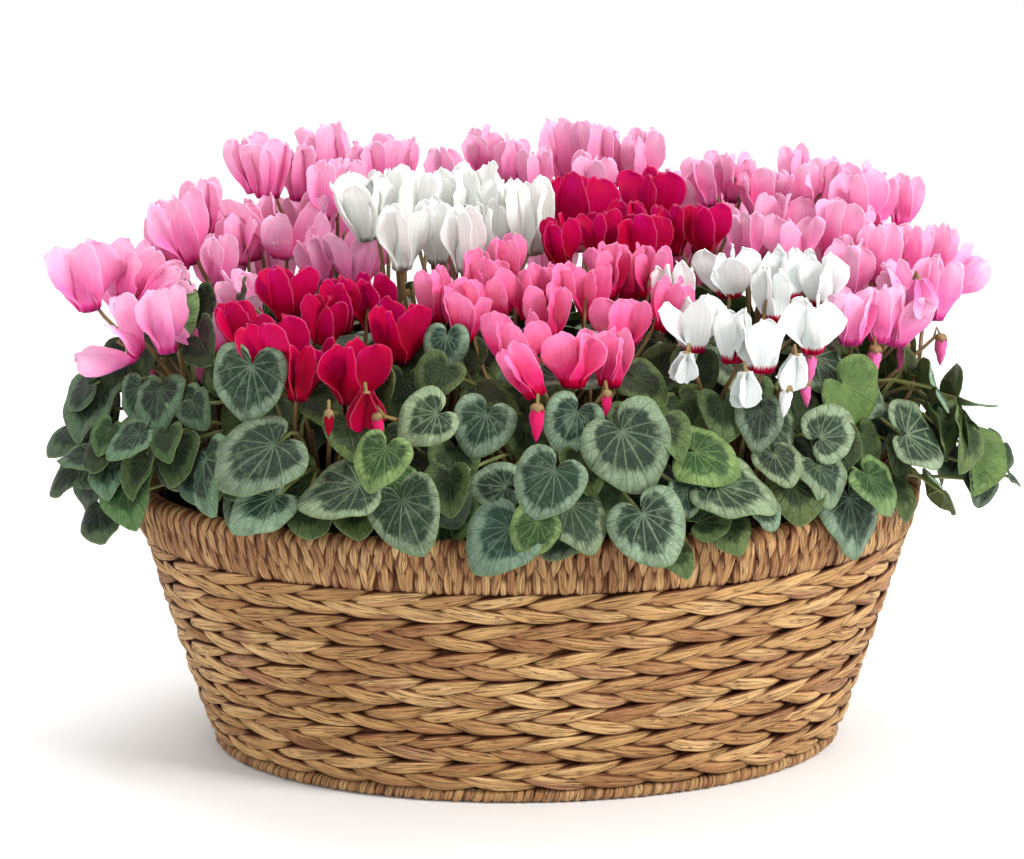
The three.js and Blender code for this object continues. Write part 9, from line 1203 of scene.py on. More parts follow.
# the foot: a strand wound round and round a core
even, total = even_angles(157.0, 103.0, 4096)
even = np.concatenate([even, [even[0] + TAU]])
turns, per, m = 172, 12, 7
n = turns * per
x = np.arange(n) / n
t = np.interp(x * 4096, np.arange(4097), even)
rng = dice(7)
al = unit(np.stack([-157 * np.sin(t), 103 * np.cos(t), 0 * t], -1))
out = np.stack([al[:, 1], -al[:, 0], 0 * t], -1)
core = np.stack([157 * np.cos(t), 103 * np.sin(t), 0 * t + 3.75], -1)
ph = TAU * x * turns
rr = 2.35 * (1 + 0.1 * wobble(x * turns, rng, 0.3, 1.1, 4, turns))
c = core + out * (rr * np.cos(ph))[:, None] * 1.1 + np.array([0, 0, 1.0]) * (rr * 0.95 * np.sin(ph))[:, None]
rad = out * np.cos(ph)[:, None] + np.array([0, 0, 1.0]) * np.sin(ph)[:, None]
d = along(c, True)
e = unit(np.cross(rad, d))
f = np.cross(d, e)
k = np.arange(m) / m * TAU
wide = 2.5 * (1 + 0.12 * wobble(x * turns, rng, 0.4, 1.5, 4, turns))
v = c[:, None] + e[:, None] * (wide[:, None] * np.cos(k))[..., None] + f[:, None] * (1.25 * np.sin(k))[None, :, None]
ds = np.cumsum(np.linalg.norm(np.roll(c, -1, 0) - c, axis=1))
v[..., 2] = np.maximum(v[..., 2], 0.05)
s = Shape()
# painted shade on the side of each turn that faces the core, and along its edges
deep = np.broadcast_to(smooth(np.sin(k)[None], 0.2, -0.9) * 0.9, (n, m)) * 0.6 + 0.4 * smooth(np.abs(np.cos(k)), 0.8, 1.0)[None]
tints = rng.uniform(0.05, 0.95, turns + 1)
s.add(v.reshape(-1, 3), ring_quads(n, m, True), fib=np.stack([np.broadcast_to(ds[:, None], (n, m)), wide[:, None] * np.cos(k), 1.25 * np.sin(k)[None] + 0 * wide[:, None]], -1).reshape(-1, 3), tint=np.repeat(tints[(x * turns - 0.25).astype(int)], m), deep=deep.ravel())
s.build("wound_foot", cord_mat, "corded_fibre", ["foot_ring"])

# carried over: the hoop inside the band
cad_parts["rim_hoop"].data.materials.clear()
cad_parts["rim_hoop"].data.materials.append(hoop_material())


def lathe(shape, profile, around, wave=None, x=0.0, y=0.0, close=False, **values):
    """An oval turned body from [half axis x, half axis y, z] rows. The first and last rows close on the axis unless it is a ring."""
    prof = np.asarray(profile, float)
    t = np.arange(around) / around * TAU
    m = len(prof)
    v = np.stack([prof[None, :, 0] * np.cos(t)[:, None], prof[None, :, 1] * np.sin(t)[:, None], np.broadcast_to(prof[None, :, 2], (around, m))], -1)
    if wave is not None:
        v = wave(v, t)
    v = v + np.array([x, y, 0])
    i, k = np.meshgrid(np.arange(around), np.arange(m if close else m - 1), indexing="ij")
    a, b = i * m + k, i * m + (k + 1) % m
    c, d = ((i + 1) % around) * m + k, ((i + 1) % around) * m + (k + 1) % m
    quads = np.stack([a, c, d, b], -1).reshape(-1, 4)
    verts, tris = v.reshape(-1, 3), None
    if not close:
        ends = np.array([[x, y, v[:, 0, 2].mean()], [x, y, v[:, -1, 2].mean()]])
        n = len(verts)
        j = np.arange(around)
        tris = np.vstack([np.stack([np.full(around, n), ((j + 1) % around) * m, j * m], 1), np.stack([np.full(around, n + 1), j * m + m - 1, ((j + 1) % around) * m + m - 1], 1)])
        verts = np.vstack([verts, ends])
    shape.add(verts, quads, tris, **values)


def wall_row(z, out):
    a, b = wall_at(z)
    return [a + out, b + out, z]


def liner_wave(v, t):
    rng = dice(21)
    w = wobble(t / TAU, rng, 6, 34, 7, 1.0)[:, None] * smooth(v[..., 2], 100, 131) * 0.7
    o = np.stack([np.cos(t), np.sin(t), 0 * t], -1)[:, None]
    v = v + o * w[..., None]
    v[..., 2] += (wobble(t / TAU, dice(22), 3, 16, 6, 1.0)[:, None] * 0.8 - 0.5) * smooth(v[..., 2], 120, 131)
    return v


s = Shape()
lathe(s, [wall_row(BASE_T, -11), wall_row(60, -10.8), wall_row(100, -10.8), wall_row(112, -11.2), wall_row(122, -12.8), wall_row(127, -13.7), wall_row(130.4, -14.1), wall_row(131.0, -14.5), wall_row(130.4, -15.0), wall_row(127, -15.2), wall_row(112, -12.7), wall_row(60, -12.2), wall_row(BASE_T + 1.4, -12.5)], 180, liner_wave)
s.build("pot_liner", liner_material(), "liner_plastic", ["liner"])

# soil: a lumpy bed with crumbs on it
s = Shape()
around, rings = 120, 14
t = np.arange(around) / around * TAU
A, B = wall_at(112)
A, B = A - 13.2, B - 13.2
verts = []
rng = dice(31)
bumps = [(rng.uniform(-A, A), rng.uniform(-B, B), rng.uniform(6, 16), rng.uniform(-1.6, 1.9)) for _ in range(260)]


def soil_height(x, y):
    z = np.full_like(x, SOIL_Z - 0.4)
    for bx, by, br, bh in bumps:
        z += bh * np.exp(-((x - bx) ** 2 + (y - by) ** 2) / (br * br))
    return z


grid = []
for r in range(1, rings + 1):
    q = (r / rings) ** 0.8
    x, y = A * q * np.cos(t), B * q * np.sin(t)
    grid.append(np.stack([x, y, soil_height(x, y) - 1.6 * q**8], -1))
low_a, low_b = wall_at(60)
f_a, f_b = wall_at(10)
grid.append(np.stack([(low_a - 12.8) * np.cos(t), (low_b - 12.8) * np.sin(t), 0 * t + 60], -1))
grid.append(np.stack([(f_a - 13.2) * np.cos(t), (f_b - 13.2) * np.sin(t), 0 * t + BASE_T + 2.2], -1))
v = np.stack(grid)
n, m = v.shape[:2]
mid = np.array([[0, 0, float(soil_height(np.zeros(1), np.zeros(1))[0])], [0, 0, BASE_T + 2.2]])
j = np.arange(m)
tris = np.vstack([np.stack([np.full(m, n * m), j, (j + 1) % m], 1), np.stack([np.full(m, n * m + 1), (n - 1) * m + (j + 1) % m, (n - 1) * m + j], 1)])
s.add(np.vstack([v.reshape(-1, 3), mid]), ring_quads(n, m, False), tris)
OCTA = np.array([[1, 0, 0], [0, 1, 0], [-1, 0, 0], [0, -1, 0], [0, 0, 1], [0, 0, -1]], float)
OCTF = np.array([[0, 1, 4], [1, 2, 4], [2, 3, 4], [3, 0, 4], [1, 0, 5], [2, 1, 5], [3, 2, 5], [0, 3, 5]])
for i in range(520):
    q, g_ = math.sqrt(rng.uniform(0, 0.95)), rng.uniform(0, TAU)
    x, y = A * 0.97 * q * math.cos(g_), B * 0.97 * q * math.sin(g_)
    z = float(soil_height(np.array([x]), np.array([y]))[0])
    r = rng.uniform(0.9, 2.6)
    s.add(OCTA * r * rng.uniform(0.6, 1.2, (6, 1)) * [1, 1, 0.7] + [x, y, z + r * 0.25], None, OCTF)
s.build("soil_bed", soil_material(), "potting_soil", ["soil"])


# ---------------------------------------------------------------- plants
PLANTS = [
    ("crimson_front", -100, -58, "crimson"),
    ("hotpink_front", 5, -68, "hot"),
    ("whiteeye_front", 95, -58, "whiteeye"),
    ("white_middle", -50, 3, "white"),
    ("crimson_middle", 45, 10, "crimson"),
    ("palepink_far_left", -150, -8, "pale"),
    ("palepink_left", -122, 38, "pale"),
    ("palepink_back_left", -75, 80, "pale"),
    ("palepink_back", -12, 92, "pale"),
    ("palepink_back_centre", 48, 86, "pale"),
    ("palepink_back_right", 108, 62, "pale"),
    ("palepink_right", 150, 2, "pale"),
]
# body, tip (paler, as painted light), mouth ring, ring's share of the petal, shape of the apex
PETAL = {
    "crimson": (lin(148, 0, 34), lin(180, 3, 50), lin(90, 0, 24), 0.05, 0.1),
    "hot": (lin(222, 36, 104), lin(250, 116, 170), lin(180, 2, 50), 0.17, 0.15),
    "whiteeye": (lin(232, 235, 234), lin(239, 242, 241), lin(166, 2, 46), 0.13, 0.8),
    "white": (lin(238, 240, 234), lin(243, 244, 240), lin(212, 218, 194), 0.05, 0.2),
    "pale": (lin(245, 114, 176), lin(252, 172, 211), lin(224, 58, 138), 0.12, 0.12),
}
SLOTS = {"crimson": "petals_crimson", "hot": "petals_hot_pink", "whiteeye": "petals_white_red_eye", "white": "petals_white", "pale": "petals_pale_pink"}

HEART = np.array([(1, 0), (0.972, 0.17), (0.895, 0.37), (0.715, 0.67), (0.46, 0.90), (0.17, 1.0), (-0.10, 0.97), (-0.27, 0.80), (-0.345, 0.55), (-0.34, 0.30), (-0.24, 0.12), (-0.10, 0.035), (0, 0)], float)
# style: middle colour, margin colour, where the margin starts
LEAF_STYLE = {
    0: ((15, 42, 22), (130, 150, 120), 0.745),
    1: ((27, 62, 20), (116, 144, 86), 0.75),
    2: ((16, 50, 36), (128, 152, 124), 0.70),
    3: ((60, 96, 30), (94, 124, 54), 0.82),
    4: ((26, 44, 16), (84, 102, 54), 0.68),
}


def heart_outline(L, hw, rng, half=18):
    """The blade's edge in millimetres, from one side of the notch round the tip to the other."""
    p = HEART * [L, hw]
    p[:, 0] *= 1 - rng.uniform(-0.03, 0.08) * smooth(HEART[:, 0], 0.55, 1.0)
    p[:, 1] *= 1 - rng.uniform(0.0, 0.2) * smooth(HEART[:, 0], 0.25, 0.9)
    fine = spline(np.column_stack([p, np.zeros(len(p))]), 181)[:, :2]
    s = np.linspace(0, 1, half + 1)
    s = s + 0.02 * np.sin(TAU * s)
    one = np.stack([np.interp(s * 180, np.arange(181), fine[:, k]) for k in (0, 1)], 1)
    other = one[1:] * [1, -1]
    out = np.vstack([one[::-1], other])
    return out  # 2*half+1 points, first and last at the notch


def leaf(blades, stalks, row, plant, key):
    _, cx, cy, cz, tx, ty, tz, nx, ny, nz, T, W, style, dr, cu, mx, my, mz, gx, gy, gz = row
    rng = dice(500, key)
    n = unit([nx, ny, nz])
    t = unit(np.array([tx, ty, tz]) - n * (np.array([tx, ty, tz]) @ n))
    b = np.cross(n, t)
    grown = 1.12 if key >= 185 else (1.10 if cx < -150 else 1.03)
    if cx > 225 and style != 3:
        grown = 0.80 if cx < 245 else 0.50
    L, hw = grown * T / 1.3, grown * W / 2
    o = np.array([cx, cy, cz]) - t * 0.35 * (L if cx < 245 else T / 1.3)
    if cx > 225 and style == 3:
        o[0] -= 6.5

    def at(a, s, lift=0.0):
        a, s = np.asarray(a, float), np.asarray(s, float)
        h = -dr * np.maximum(a, 0) ** 2 * L - cu * s * s * hw + lift
        return o + t * (a * L)[..., None] + b * (s * hw)[..., None] + n * np.asarray(h)[..., None]

    edge = heart_outline(L, hw, rng)
    M, K = len(edge), 6
    rho = (np.arange(1, K + 1) / K) ** 0.9
    j = np.arange(M) / (M - 1)
    wav = wobble(j * 1.0, rng, 1.5, 6.5, 5)
    wav2 = wobble(j * 1.0, rng, 5, 11, 4)
    size = math.sqrt(L * hw)
    grow = 1 + 0.018 * wobble(j, rng, 2, 7, 4)
    xy = edge[None] * rho[:, None, None] * (1 + (grow - 1)[None, :, None] * rho[:, None, None] ** 2)
    a, s_ = xy[..., 0] / L, xy[..., 1] / hw
    ang = np.arctan2(xy[..., 1], xy[..., 0])
    ruffle = (0.062 * size * wav[None] + 0.027 * size * wav2[None]) * rho[:, None] ** 2.2
    curl = rng.uniform(-0.07, 0.02) * size * rho[:, None] ** 6
    # folded up a little along the middle, one half more than the other, and rolled at the edge
    limp = 1.0 + 1.3 * (style in (3, 4))
    keel = rng.uniform(0.0, 0.30) * limp
    skew = rng.uniform(-0.14, 0.14) * limp
    calm0 = smooth(np.abs(s_), 0.0, 0.25)
    bend = (keel + skew * np.sign(s_)) * np.abs(s_) * hw * calm0 * rho[:, None] ** 0.5
    roll = -rng.uniform(0.0, 0.2) * size * smooth(a, 0.35, 1.0) * rho[:, None] ** 3
    turn = rng.uniform(0, TAU)
    saddle = rng.uniform(0.0, 0.05) * size * np.sin(2 * ang + turn) * rho[:, None] ** 2
    veins = np.zeros_like(ang)
    for va in (0.0, 0.46, 0.9, 1.4, 1.98):
        for sg in ((1,) if va == 0 else (1, -1)):
            veins = np.maximum(veins, np.exp(-(((ang - sg * va) * np.hypot(xy[..., 0], xy[..., 1])) / 1.4) ** 2))
    puff = 0.62 * (1 - veins) * np.sin(np.clip(rho, 0, 1) * math.pi)[:, None] ** 0.6
    # ends of the notch do not ripple
    calm = smooth(np.minimum(j, 1 - j), 0.0, 0.08)[None]
    lift = (ruffle + curl + puff) * calm + bend + roll + saddle * calm
    thick = 0.32 - 0.14 * rho[:, None]
    top, low = at(a, s_, lift + thick), at(a, s_, lift - thick)
    apex = np.stack([at(0.0, 0.0, 0.25), at(0.0, 0.0, -0.3)])
    lp = np.stack([a, s_ * hw / L, np.broadcast_to(rho[:, None], a.shape)], -1).reshape(-1, 3)
    N = K * M
    quads = np.vstack([grid_quads(K, M), (grid_quads(K, M) + N)[:, ::-1]])
    k = np.arange(M - 1)
    rim = np.stack([(K - 1) * M + k, (K - 1) * M + k + 1, N + (K - 1) * M + k + 1, N + (K - 1) * M + k], 1)
    r_ = np.arange(K - 1)
    left = np.stack([r_ * M, (r_ + 1) * M, N + (r_ + 1) * M, N + r_ * M], 1)
    right = np.stack([(r_ + 1) * M + M - 1, r_ * M + M - 1, N + r_ * M + M - 1, N + (r_ + 1) * M + M - 1], 1)
    tris = np.vstack([
        np.stack([np.full(M - 1, 2 * N), k + 1, k], 1),
        np.stack([np.full(M - 1, 2 * N + 1), N + k, N + k + 1], 1),
        [[2 * N, 0, N], [2 * N, N, 2 * N + 1], [2 * N, N + M - 1, M - 1], [2 * N, 2 * N + 1, N + M - 1]],
    ])
    mid, rim_c, wide = LEAF_STYLE[int(style)]
    k1 = rng.uniform(0.72, 1.2)
    tone = rng.uniform(-1, 1)
    shift = np.array([1 + 0.07 * tone, 1.0, 1 - 0.09 * tone])
    mid_c = lin(*mid) * k1 * shift
    rim_l = lin(*rim_c) * rng.uniform(0.74, 1.22) * shift
    wide = wide + rng.uniform(-0.09, 0.07)
    if key >= 185:
        # the leaves that lie deeper are painted darker, as the shade down in the foliage
        mid_c, rim_l = mid_c * 0.60, rim_l * 0.54
    # the leaves on the far left are painted darker, as the shade on that side of the plants
    if cx < -140:
        mid_c, rim_l = mid_c * [0.54, 0.68, 0.50], rim_l * [0.56, 0.68, 0.56]
    seed = rng.uniform(0, 1)
    under = np.concatenate([np.zeros(N), np.ones(N), [0, 1]])
    if style == 3:
        under = np.concatenate([np.full(N, 0.55), np.ones(N), [0.55, 1]])
    lr = np.stack([np.full(2 * N + 2, seed), np.full(2 * N + 2, wide), under], -1)
    faces_out = np.vstack([quads, rim, left, right])
    blades.add(np.vstack([top.reshape(-1, 3), low.reshape(-1, 3), apex]), faces_out[:, ::-1], tris[:, ::-1], lp=np.vstack([lp, lp, [[0, 0, 0], [0, 0, 0]]]), lr=lr, lc=mid_c, lm=rim_l)
    # the stalk
    x, y = plant
    start = np.array([x + gx, y + gy, CROWN_Z + gz - 3])
    pre, end = at(-0.02, 0.0, -1.2), at(0.16, 0.0, -0.75)
    away = math.hypot(end[0] - start[0], end[1] - start[1])
    rise = pre[2] - start[2]
    bow = start + (pre - start) * 0.42
    bow[2] = start[2] + max(rise * 0.55, 0) + min(away, 60) * 0.26 + 6
    bow = bow + [mx, my, mz]
    p = spline([start, bow, pre * 0.85 + at(0.05, 0.0, -0.9) * 0.15, end], 12)
    tube(stalks, p, np.linspace(1.25, 0.8, 12), 7, 0.06, tone=rng.uniform(0, 1))


def grid_sheet(shape, p, normal, thick, pp, nu, nv, **values):
    """A thin closed sheet from a grid of points, for a petal."""
    top, low = p + normal * thick[..., None], p - normal * thick[..., None]
    N = nu * nv
    g0 = grid_quads(nv, nu)
    k, r = np.arange(nu - 1), np.arange(nv - 1)
    edges = np.vstack([
        np.stack([k, N + k, N + k + 1, k + 1], 1),
        np.stack([(nv - 1) * nu + k, (nv - 1) * nu + k + 1, N + (nv - 1) * nu + k + 1, N + (nv - 1) * nu + k], 1),
        np.stack([r * nu, (r + 1) * nu, N + (r + 1) * nu, N + r * nu], 1),
        np.stack([r * nu + nu - 1, N + r * nu + nu - 1, N + (r + 1) * nu + nu - 1, (r + 1) * nu + nu - 1], 1),
    ])
    shape.add(np.vstack([top.reshape(-1, 3), low.reshape(-1, 3)]), np.vstack([g0, (g0 + N)[:, ::-1], edges]), None, pp=np.vstack([pp.reshape(-1, 3)] * 2), **values)


U = np.array([-1, -0.88, -0.62, -0.3, 0, 0.3, 0.62, 0.88, 1.0])
V = np.array([0.0, 0.05, 0.12, 0.22, 0.34, 0.46, 0.58, 0.69, 0.78, 0.85, 0.91, 0.955, 0.985, 1.0])


def petal_width(v, point):
    """Share of the petal's half width, from the mouth to the apex."""
    base = np.interp(v, [0.0, 0.05, 0.12, 0.22, 0.34, 0.46, 0.58, 0.70, 0.80, 0.88, 0.94, 0.98, 1.0], [0.32, 0.37, 0.48, 0.64, 0.80, 0.92, 0.99, 1.0, 0.95, 0.86, 0.71, 0.51, 0.25])
    return base - point * 0.13 * smooth(v, 0.72, 0.94)


def petal(shape, p0, ax, ra, ta, h, R, rng, colours, turn, flare=0.0, length=1.0, seed=0.0, broad=1.0):
    """One swept-back petal, turned about its own length. ax is the way up, ra out from the axis, ta round it."""
    body, tip, ring, ringw, point = colours
    v, u = np.meshgrid(V, U, indexing="ij")
    st0 = abs(math.sin(turn))
    hw = 0.30 * h * broad * rng.uniform(0.92, 1.08)
    if st0 > 0.6:
        hw = min(hw, 0.58 * R * broad)
    top = max(R * (0.95 + flare) - 0.9 * hw * st0, 0.16 * h)
    tw = turn * smooth(V, 0.0, 0.55)
    w = hw * petal_width(V, point)
    r = 3.9 + (top - 3.9) * smooth(V, -0.1, 1.0) ** 0.8 + 0.06 * R * np.sin(V * math.pi)
    r = np.maximum(r, w * np.abs(np.sin(tw)) * 0.9 + 0.02 * h)
    r[0], r[1] = 3.0, 4.1
    r = r + rng.uniform(-0.04, 0.10) * h * smooth(V, 0.68, 1.0)
    z = h * length * V * (1 - 0.26 * min(max(flare, 0), 1.6) * V)
    z[0], z[1] = h * 0.07, h * 0.018
    tilt = rng.uniform(-0.05, 0.05)
    side_shift = h * 0.08 * rng.uniform(-1, 1) * V**1.6
    # one side is a little fuller than the other
    lop = rng.uniform(-0.12, 0.12)
    us = u * w[:, None] * (1 + lop * u * np.sin(V * math.pi)[:, None])
    # the upper edge is frilled and a little ragged
    frilly = smooth(V, 0.4, 0.8)
    rag = np.where(u < 0, wobble(V, rng, 3.0, 7.0, 3)[:, None], wobble(V, rng, 3.0, 7.0, 3)[:, None])
    us = us * (1 + 0.055 * rag * frilly[:, None])
    # the sides end a little lower than the middle
    drop = -(u**2) * h * (0.012 + 0.06 * point) * smooth(V, 0.55, 1.0)[:, None]
    drop = drop + rng.uniform(-0.035, 0.035) * h * u * smooth(V, 0.5, 1.0)[:, None]
    drop = drop + 0.022 * h * smooth(V, 0.8, 1.0)[:, None] * wobble(u[0] * 0.5 + 0.5, rng, 0.7, 2.4, 3)[None]
    cup = -rng.uniform(-0.14, 0.17) * (u**2) * w[:, None] * smooth(V, 0.0, 0.5)[:, None]
    fold = rng.uniform(-0.3, 0.8) * (1 - np.abs(u)) ** 2 * smooth(V, 0.1, 0.5)[:, None] * h / 28
    ruff = 0.028 * h * (np.abs(u) ** 2) * wobble(V + 0.0, rng, 0.8, 2.4, 3)[:, None] * np.sign(u + 1e-9)
    ruff = ruff + 0.016 * h * (np.abs(u) ** 2) * (wobble(V, rng, 3.0, 6.0, 3) * frilly)[:, None] * np.where(u < 0, -1, 1)
    ruff = ruff + 0.026 * h * smooth(V, 0.62, 1.0)[:, None] * np.sin(u * rng.uniform(2.6, 4.4) + rng.uniform(0, TAU))
    pleat = 0.10 * w[:, None] * np.cos(u * 5.2 + rng.uniform(-1, 1)) * smooth(V, 0.5, 0.08)[:, None]
    ct, st = np.cos(tw)[:, None], np.sin(tw)[:, None]
    off = cup - fold + ruff + pleat
    x_t = us * ct - off * st + side_shift[:, None]
    x_r = us * st + off * ct + r[:, None]
    zz = z[:, None] + drop + 0 * us
    lean = tilt * zz
    P = p0 + ra * (x_r + lean)[..., None] + ta * x_t[..., None] + ax * zz[..., None]
    du, dv = np.gradient(P, axis=1), np.gradient(P, axis=0)
    nrm = unit(np.cross(du, dv))
    thick = 0.14 + 0.26 * (1 - smooth(V, 0.0, 0.5))[:, None] + 0 * u
    pp = np.stack([u, v, np.full_like(u, seed)], -1)
    k = rng.uniform(0.93, 1.06)
    grid_sheet(shape, P, nrm, thick, pp, len(U), len(V), pc=body * k, pt=tip * rng.uniform(0.93, 1.03), pe=ring, pw=ringw)


def flower(petals, stems, row, plant, kind_of, key):
    _, px, py, pz, ax_, ay_, az_, h, spread, q, star, kind, mx, my, mz, gx, gy, gz = row
    rng = dice(900, key)
    p0, a = np.array([px, py, pz]), unit([ax_, ay_, az_])
    colours = PETAL[kind_of]
    shade = rng.uniform(0.9, 1.08)
    colours = (colours[0] * shade, colours[1] * rng.uniform(0.94, 1.04), *colours[2:])
    x, y = plant
    start = np.array([x + gx, y + gy, CROWN_Z + gz - 3])
    dx, dy = px - x, py - y
    dist = math.hypot(dx, dy) or 1
    inward = np.array([-dx / dist, -dy / dist, 0])
    seed = rng.uniform(0, 1)
    if kind:
        top = p0 + a * h
        rad = h * 0.5 * spread
        low = p0 + a * (h + 3) + inward * 2.5
        bow = start + (low - start) * 0.36
        bow[2] = start[2] + (low[2] - start[2]) * 0.52
        bow = bow + [mx, my, mz]
        p = spline([start, bow, low - a * 5 + inward * 1.2, low + a * 0.8, top + a * 1.4, top - a * 1.5], 16)
        tube(stems, p, np.linspace(1.25, 0.85, 16), 7, 0.05, tone=rng.uniform(0, 1))
        calyx(stems, top + a * 0.5, -a, max(2.3, rad * 0.74 + 0.5) if kind == 1 else 2.2, 4.2, rng)
        u = unit(np.cross(a, [1, 0, 0]))
        w = np.cross(a, u)
        if kind == 1:
            # a furled bud: five petals wound into a spindle
            vv = np.linspace(0, 1, 13)
            m = 15
            al = np.arange(m) / m * TAU
            prof = rad * np.interp(vv, [0, 0.08, 0.25, 0.45, 0.62, 0.8, 0.93, 1.0], [0.5, 0.72, 0.86, 0.84, 0.68, 0.42, 0.19, 0.03])
            ridge = 1 + 0.16 * np.cos(5 * (al[None] + 2.6 * vv[:, None]))
            zc = top[None] - a * (vv * h)[:, None]
            vts = zc[:, None] + (prof[:, None] * ridge)[..., None] * (u * np.cos(al)[:, None] + w * np.sin(al)[:, None])[None]
            pp = np.stack([np.broadcast_to(np.abs(((al * 5 / TAU)[None] + 2.07 * vv[:, None]) % 1 - 0.5) * 2, (13, m)), np.broadcast_to(0.25 + 0.6 * vv[:, None], (13, m)), np.full((13, m), seed)], -1)
            k = np.arange(m)
            tris = np.vstack([np.stack([np.full(m, 13 * m), (k + 1) % m, k], 1), np.stack([np.full(m, 13 * m + 1), 12 * m + k, 12 * m + (k + 1) % m], 1)])
            petals.add(np.vstack([vts.reshape(-1, 3), top, p0]), ring_quads(13, m, False), tris, pp=np.vstack([pp.reshape(-1, 3), [[0, 0.2, seed], [0, 0.9, seed]]]), pc=colours[0] * 0.92, pt=colours[0], pe=colours[2], pw=0.0)
        else:
            # a flower whose petals hang
            front = unit(np.array([0, -1.0, 0.0]) - a * (np.array([0, -1.0, 0.0]) @ a))
            spin = rng.uniform(-0.25, 0.25)
            hang_base = p0 + a * h
            hung = (colours[0] * 0.82, colours[1] * 0.82, colours[0] * 0.7, 0.0, 0.0)
            for i in range(3):
                g_ = spin + (0.45, -0.5, math.pi)[i]
                ra = front * math.cos(g_) + np.cross(a, front) * math.sin(g_)
                petal(petals, hang_base - ra * 2.0, -a, ra, np.cross(-a, ra), h * 1.06, rad * 0.9, rng, hung, 0.15, -0.3, 1.0, seed + 0.1 * i, 1.5)
        return
    R = h * 0.5 * spread
    u = unit(np.cross(a, [0, 1, 0] if abs(a[0]) > 0.9 else [1, 0, 0]))
    w = np.cross(a, u)
    # most heads show one narrow petal in front and a broad one on either side of it
    view = unit(eye - p0)
    facing = math.atan2(view @ w, view @ u)
    winged = rng.uniform() < 0.72
    if winged:
        q = facing + rng.normal(0, 0.2)
    hand = 1 if rng.uniform() < 0.7 else -1
    twist = hand * (rng.uniform(1.05, 1.5) if winged else rng.uniform(0.25, 0.9))
    flare = 0.30 if star else 0.0
    for i in range(5):
        g_ = q + TAU * i / 5 + rng.uniform(-0.14, 0.14)
        ra = u * math.cos(g_) + w * math.sin(g_)
        f = flare + rng.uniform(-0.14, 0.16) + (0.25 if rng.uniform() < 0.16 else 0)
        turn = twist * (0.78 if i == 0 and winged else 1) + rng.uniform(-0.22, 0.22)
        petal(petals, p0, a, ra, np.cross(a, ra), h, R, rng, colours, turn, f, rng.uniform(0.92, 1.05), seed + 0.07 * i)
    # the ring of the mouth, and the short tube up inside
    m = 20
    al = np.arange(m) / m * TAU
    prof = np.array([(2.2, 0.21), (2.6, 0.14), (3.2, 0.06), (3.9, 0.015), (4.3, 0.03), (4.2, 0.07), (3.4, 0.13), (2.9, 0.21)])
    lobes = 1 + 0.07 * np.cos(5 * (al - q))
    vts = p0 + a * (prof[:, 1] * h)[:, None, None] + (prof[:, 0][:, None] * lobes[None])[..., None] * (u * np.cos(al)[:, None] + w * np.sin(al)[:, None])[None]
    pp = np.stack([np.broadcast_to(np.cos(5 * (al - q) / 2)[None], (8, m)), np.broadcast_to(np.array([0.02, 0.02, 0.01, 0.0, 0.0, 0.02, 0.05, 0.08])[:, None], (8, m)), np.full((8, m), seed)], -1)
    qd = ring_quads(8, m, True)
    petals.add(vts.reshape(-1, 3), qd, None, pp=pp.reshape(-1, 3), pc=colours[0], pt=colours[1], pe=colours[2], pw=colours[3])
    # the stalk: past the mouth between two petals, over its hook, down to the calyx
    best = max(range(5), key=lambda i: (u * math.cos(q + TAU * (i + 0.5) / 5) + w * math.sin(q + TAU * (i + 0.5) / 5)) @ inward)
    g_ = q + TAU * (best + 0.5) / 5
    ra = u * math.cos(g_) + w * math.sin(g_)
    low = p0 - a * 3 + ra * 5.6
    bow = start + (p0 - a * 2 - start) * 0.36
    bow[2] = start[2] + (p0[2] - 2 * a[2] - start[2]) * 0.52
    bow = bow + [mx, my, mz]
    p = spline([start, bow, low, p0 + a * h * 0.22 + ra * 4.9, p0 + a * h * 0.42 + ra * 3.2, p0 + a * h * 0.5 + ra * 0.6, p0 + a * h * 0.42 - ra * 0.8, p0 + a * h * 0.28], 22)
    tube(stems, p, np.concatenate([np.linspace(1.35, 1.05, 16), np.linspace(1.0, 0.8, 6)]), 7, 0.05, tone=rng.uniform(0, 1))
    calyx(stems, p0 + a * h * 0.30, -a, 2.7, 5.2, rng)


def calyx(stems, top, way, rad, deep, rng):
    """Five small sepals round the base of the petals. way points from the stalk to the petals."""
    u = unit(np.cross(way, [0.3, 1, 0.1]))
    w = np.cross(way, u)
    m = 10
    al = np.arange(m) / m * TAU
    rows = [(0.3, 0.0), (0.75, 0.12), (1.0, 0.42), (1.05, 0.75), (0.98, 0.78), (0.86, 0.4)]
    pts = []
    for r, z in rows:
        lobe = 1 + (0.30 * np.cos(5 * al)) * (z / 0.78)
        pts.append(top + way * (deep * z * lobe)[:, None] + (u * np.cos(al)[:, None] + w * np.sin(al)[:, None]) * rad * r)
    v = np.stack(pts).reshape(-1, 3)
    n = len(rows)
    k = np.arange(m)
    tris = np.vstack([np.stack([np.full(m, n * m), (k + 1) % m, k], 1), np.stack([np.full(m, n * m + 1), (n - 1) * m + k, (n - 1) * m + (k + 1) % m], 1)])
    fib = np.stack([np.repeat([z for _, z in rows], m) * deep, np.tile(np.cos(al), n) * rad, np.tile(np.sin(al), n) * rad], -1)
    stems.add(np.vstack([v, top, top + way * deep * 0.3]), ring_quads(n, m, False), tris, fib=np.vstack([fib, [[0, 0, 0], [1, 0, 0]]]), share=0.9, tone=rng.uniform(0, 1))


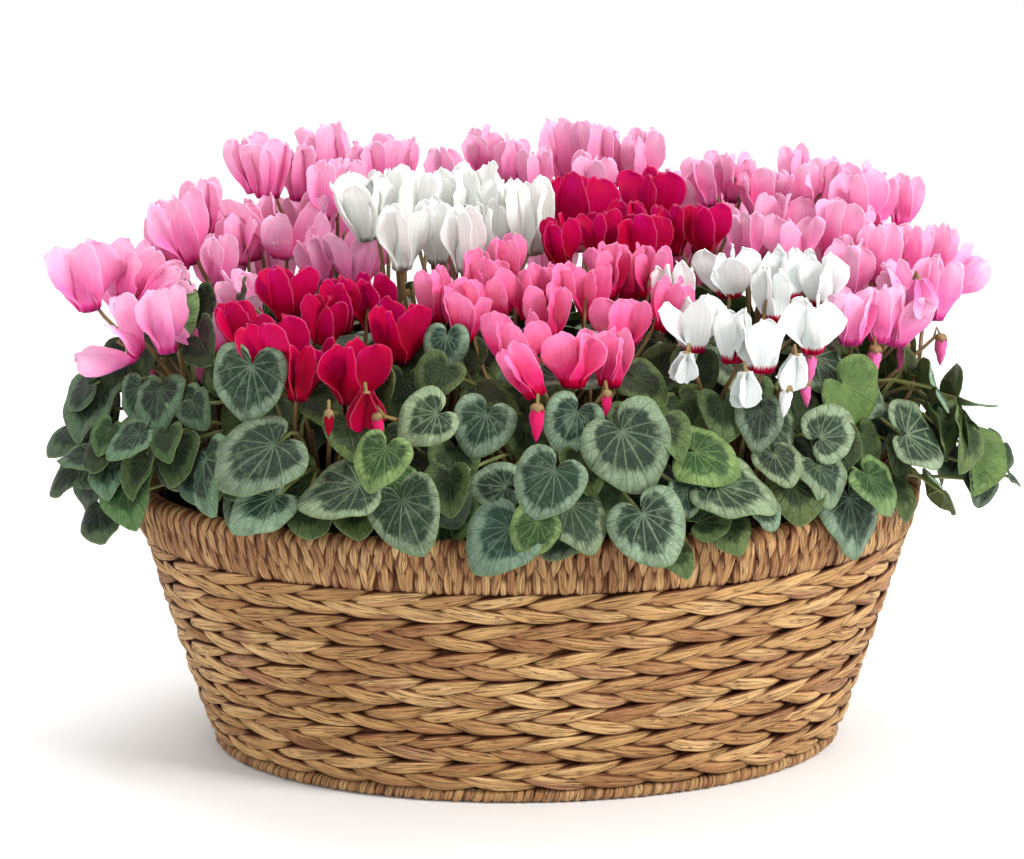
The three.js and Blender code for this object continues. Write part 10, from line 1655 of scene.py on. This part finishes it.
leaf_mat, petal_mat = leaf_material(), petal_material()
leaf_stalk_mat = stalk_material("leaf_stalk", lin(112, 74, 58), lin(126, 142, 78), lin(138, 96, 66))
flower_stalk_mat = stalk_material("flower_stalk", lin(96, 66, 44), lin(128, 108, 62), lin(150, 92, 74))
corm_mat = tuber_material()
for k, (name, x, y, colour) in enumerate(PLANTS):
    blades, leaf_stalks, petals, stems, corm = Shape(), Shape(), Shape(), Shape(), Shape()
    for i, row in enumerate(LEAVES):
        if row[0] == k:
            leaf(blades, leaf_stalks, row, (x, y), i)
    for i, row in enumerate(FLOWERS):
        if row[0] == k:
            flower(petals, stems, row, (x, y), colour, i)
    rng = dice(60, k)

    def rough(v, t, rng=rng):
        bump = 1 + 0.05 * wobble(t / TAU, rng, 2, 7, 4, 1.0)
        v[..., :2] *= bump[:, None, None]
        v[..., 2] += 0.5 * wobble(t / TAU, rng, 2, 7, 4, 1.0)[:, None]
        return v

    prof = [(TUBER_R * math.cos(g_), TUBER_R * math.cos(g_), TUBER_Z + TUBER_HALF * math.sin(g_)) for g_ in np.radians([-75, -50, -25, 0, 22, 42, 60, 76])]
    lathe(corm, prof, 20, rough, x, y)
    corm.build(name + "_corm", corm_mat, "tuber_skin", [name + "_tuber"])
    # the crown that the stalks grow from
    lathe(leaf_stalks, [(8.5, 8.5, CROWN_Z - 2), (9.6, 9.6, CROWN_Z + 1.5), (8.8, 8.8, CROWN_Z + 4.0), (5.0, 5.0, CROWN_Z + 5.8)], 14, rough, x, y, fib=np.array([3.0, 2.0, 1.0]), share=0.0, tone=0.2)
    lathe(stems, [(5.5, 5.5, CROWN_Z + 4), (6.2, 6.2, CROWN_Z + 6.5), (4.5, 4.5, CROWN_Z + 8.5)], 12, rough, x, y, fib=np.array([3.0, 2.0, 1.0]), share=0.0, tone=0.2)
    blades.build(name + "_leaf_blades", leaf_mat, "leaf", [name + "_leaves"])
    leaf_stalks.build(name + "_leaf_stalks", leaf_stalk_mat, "leaf", [name + "_leaves"])
    petals.build(name + "_petals", petal_mat, SLOTS[colour], [name + "_flowers"])
    stems.build(name + "_flower_stalks", flower_stalk_mat, SLOTS[colour], [name + "_flowers"])
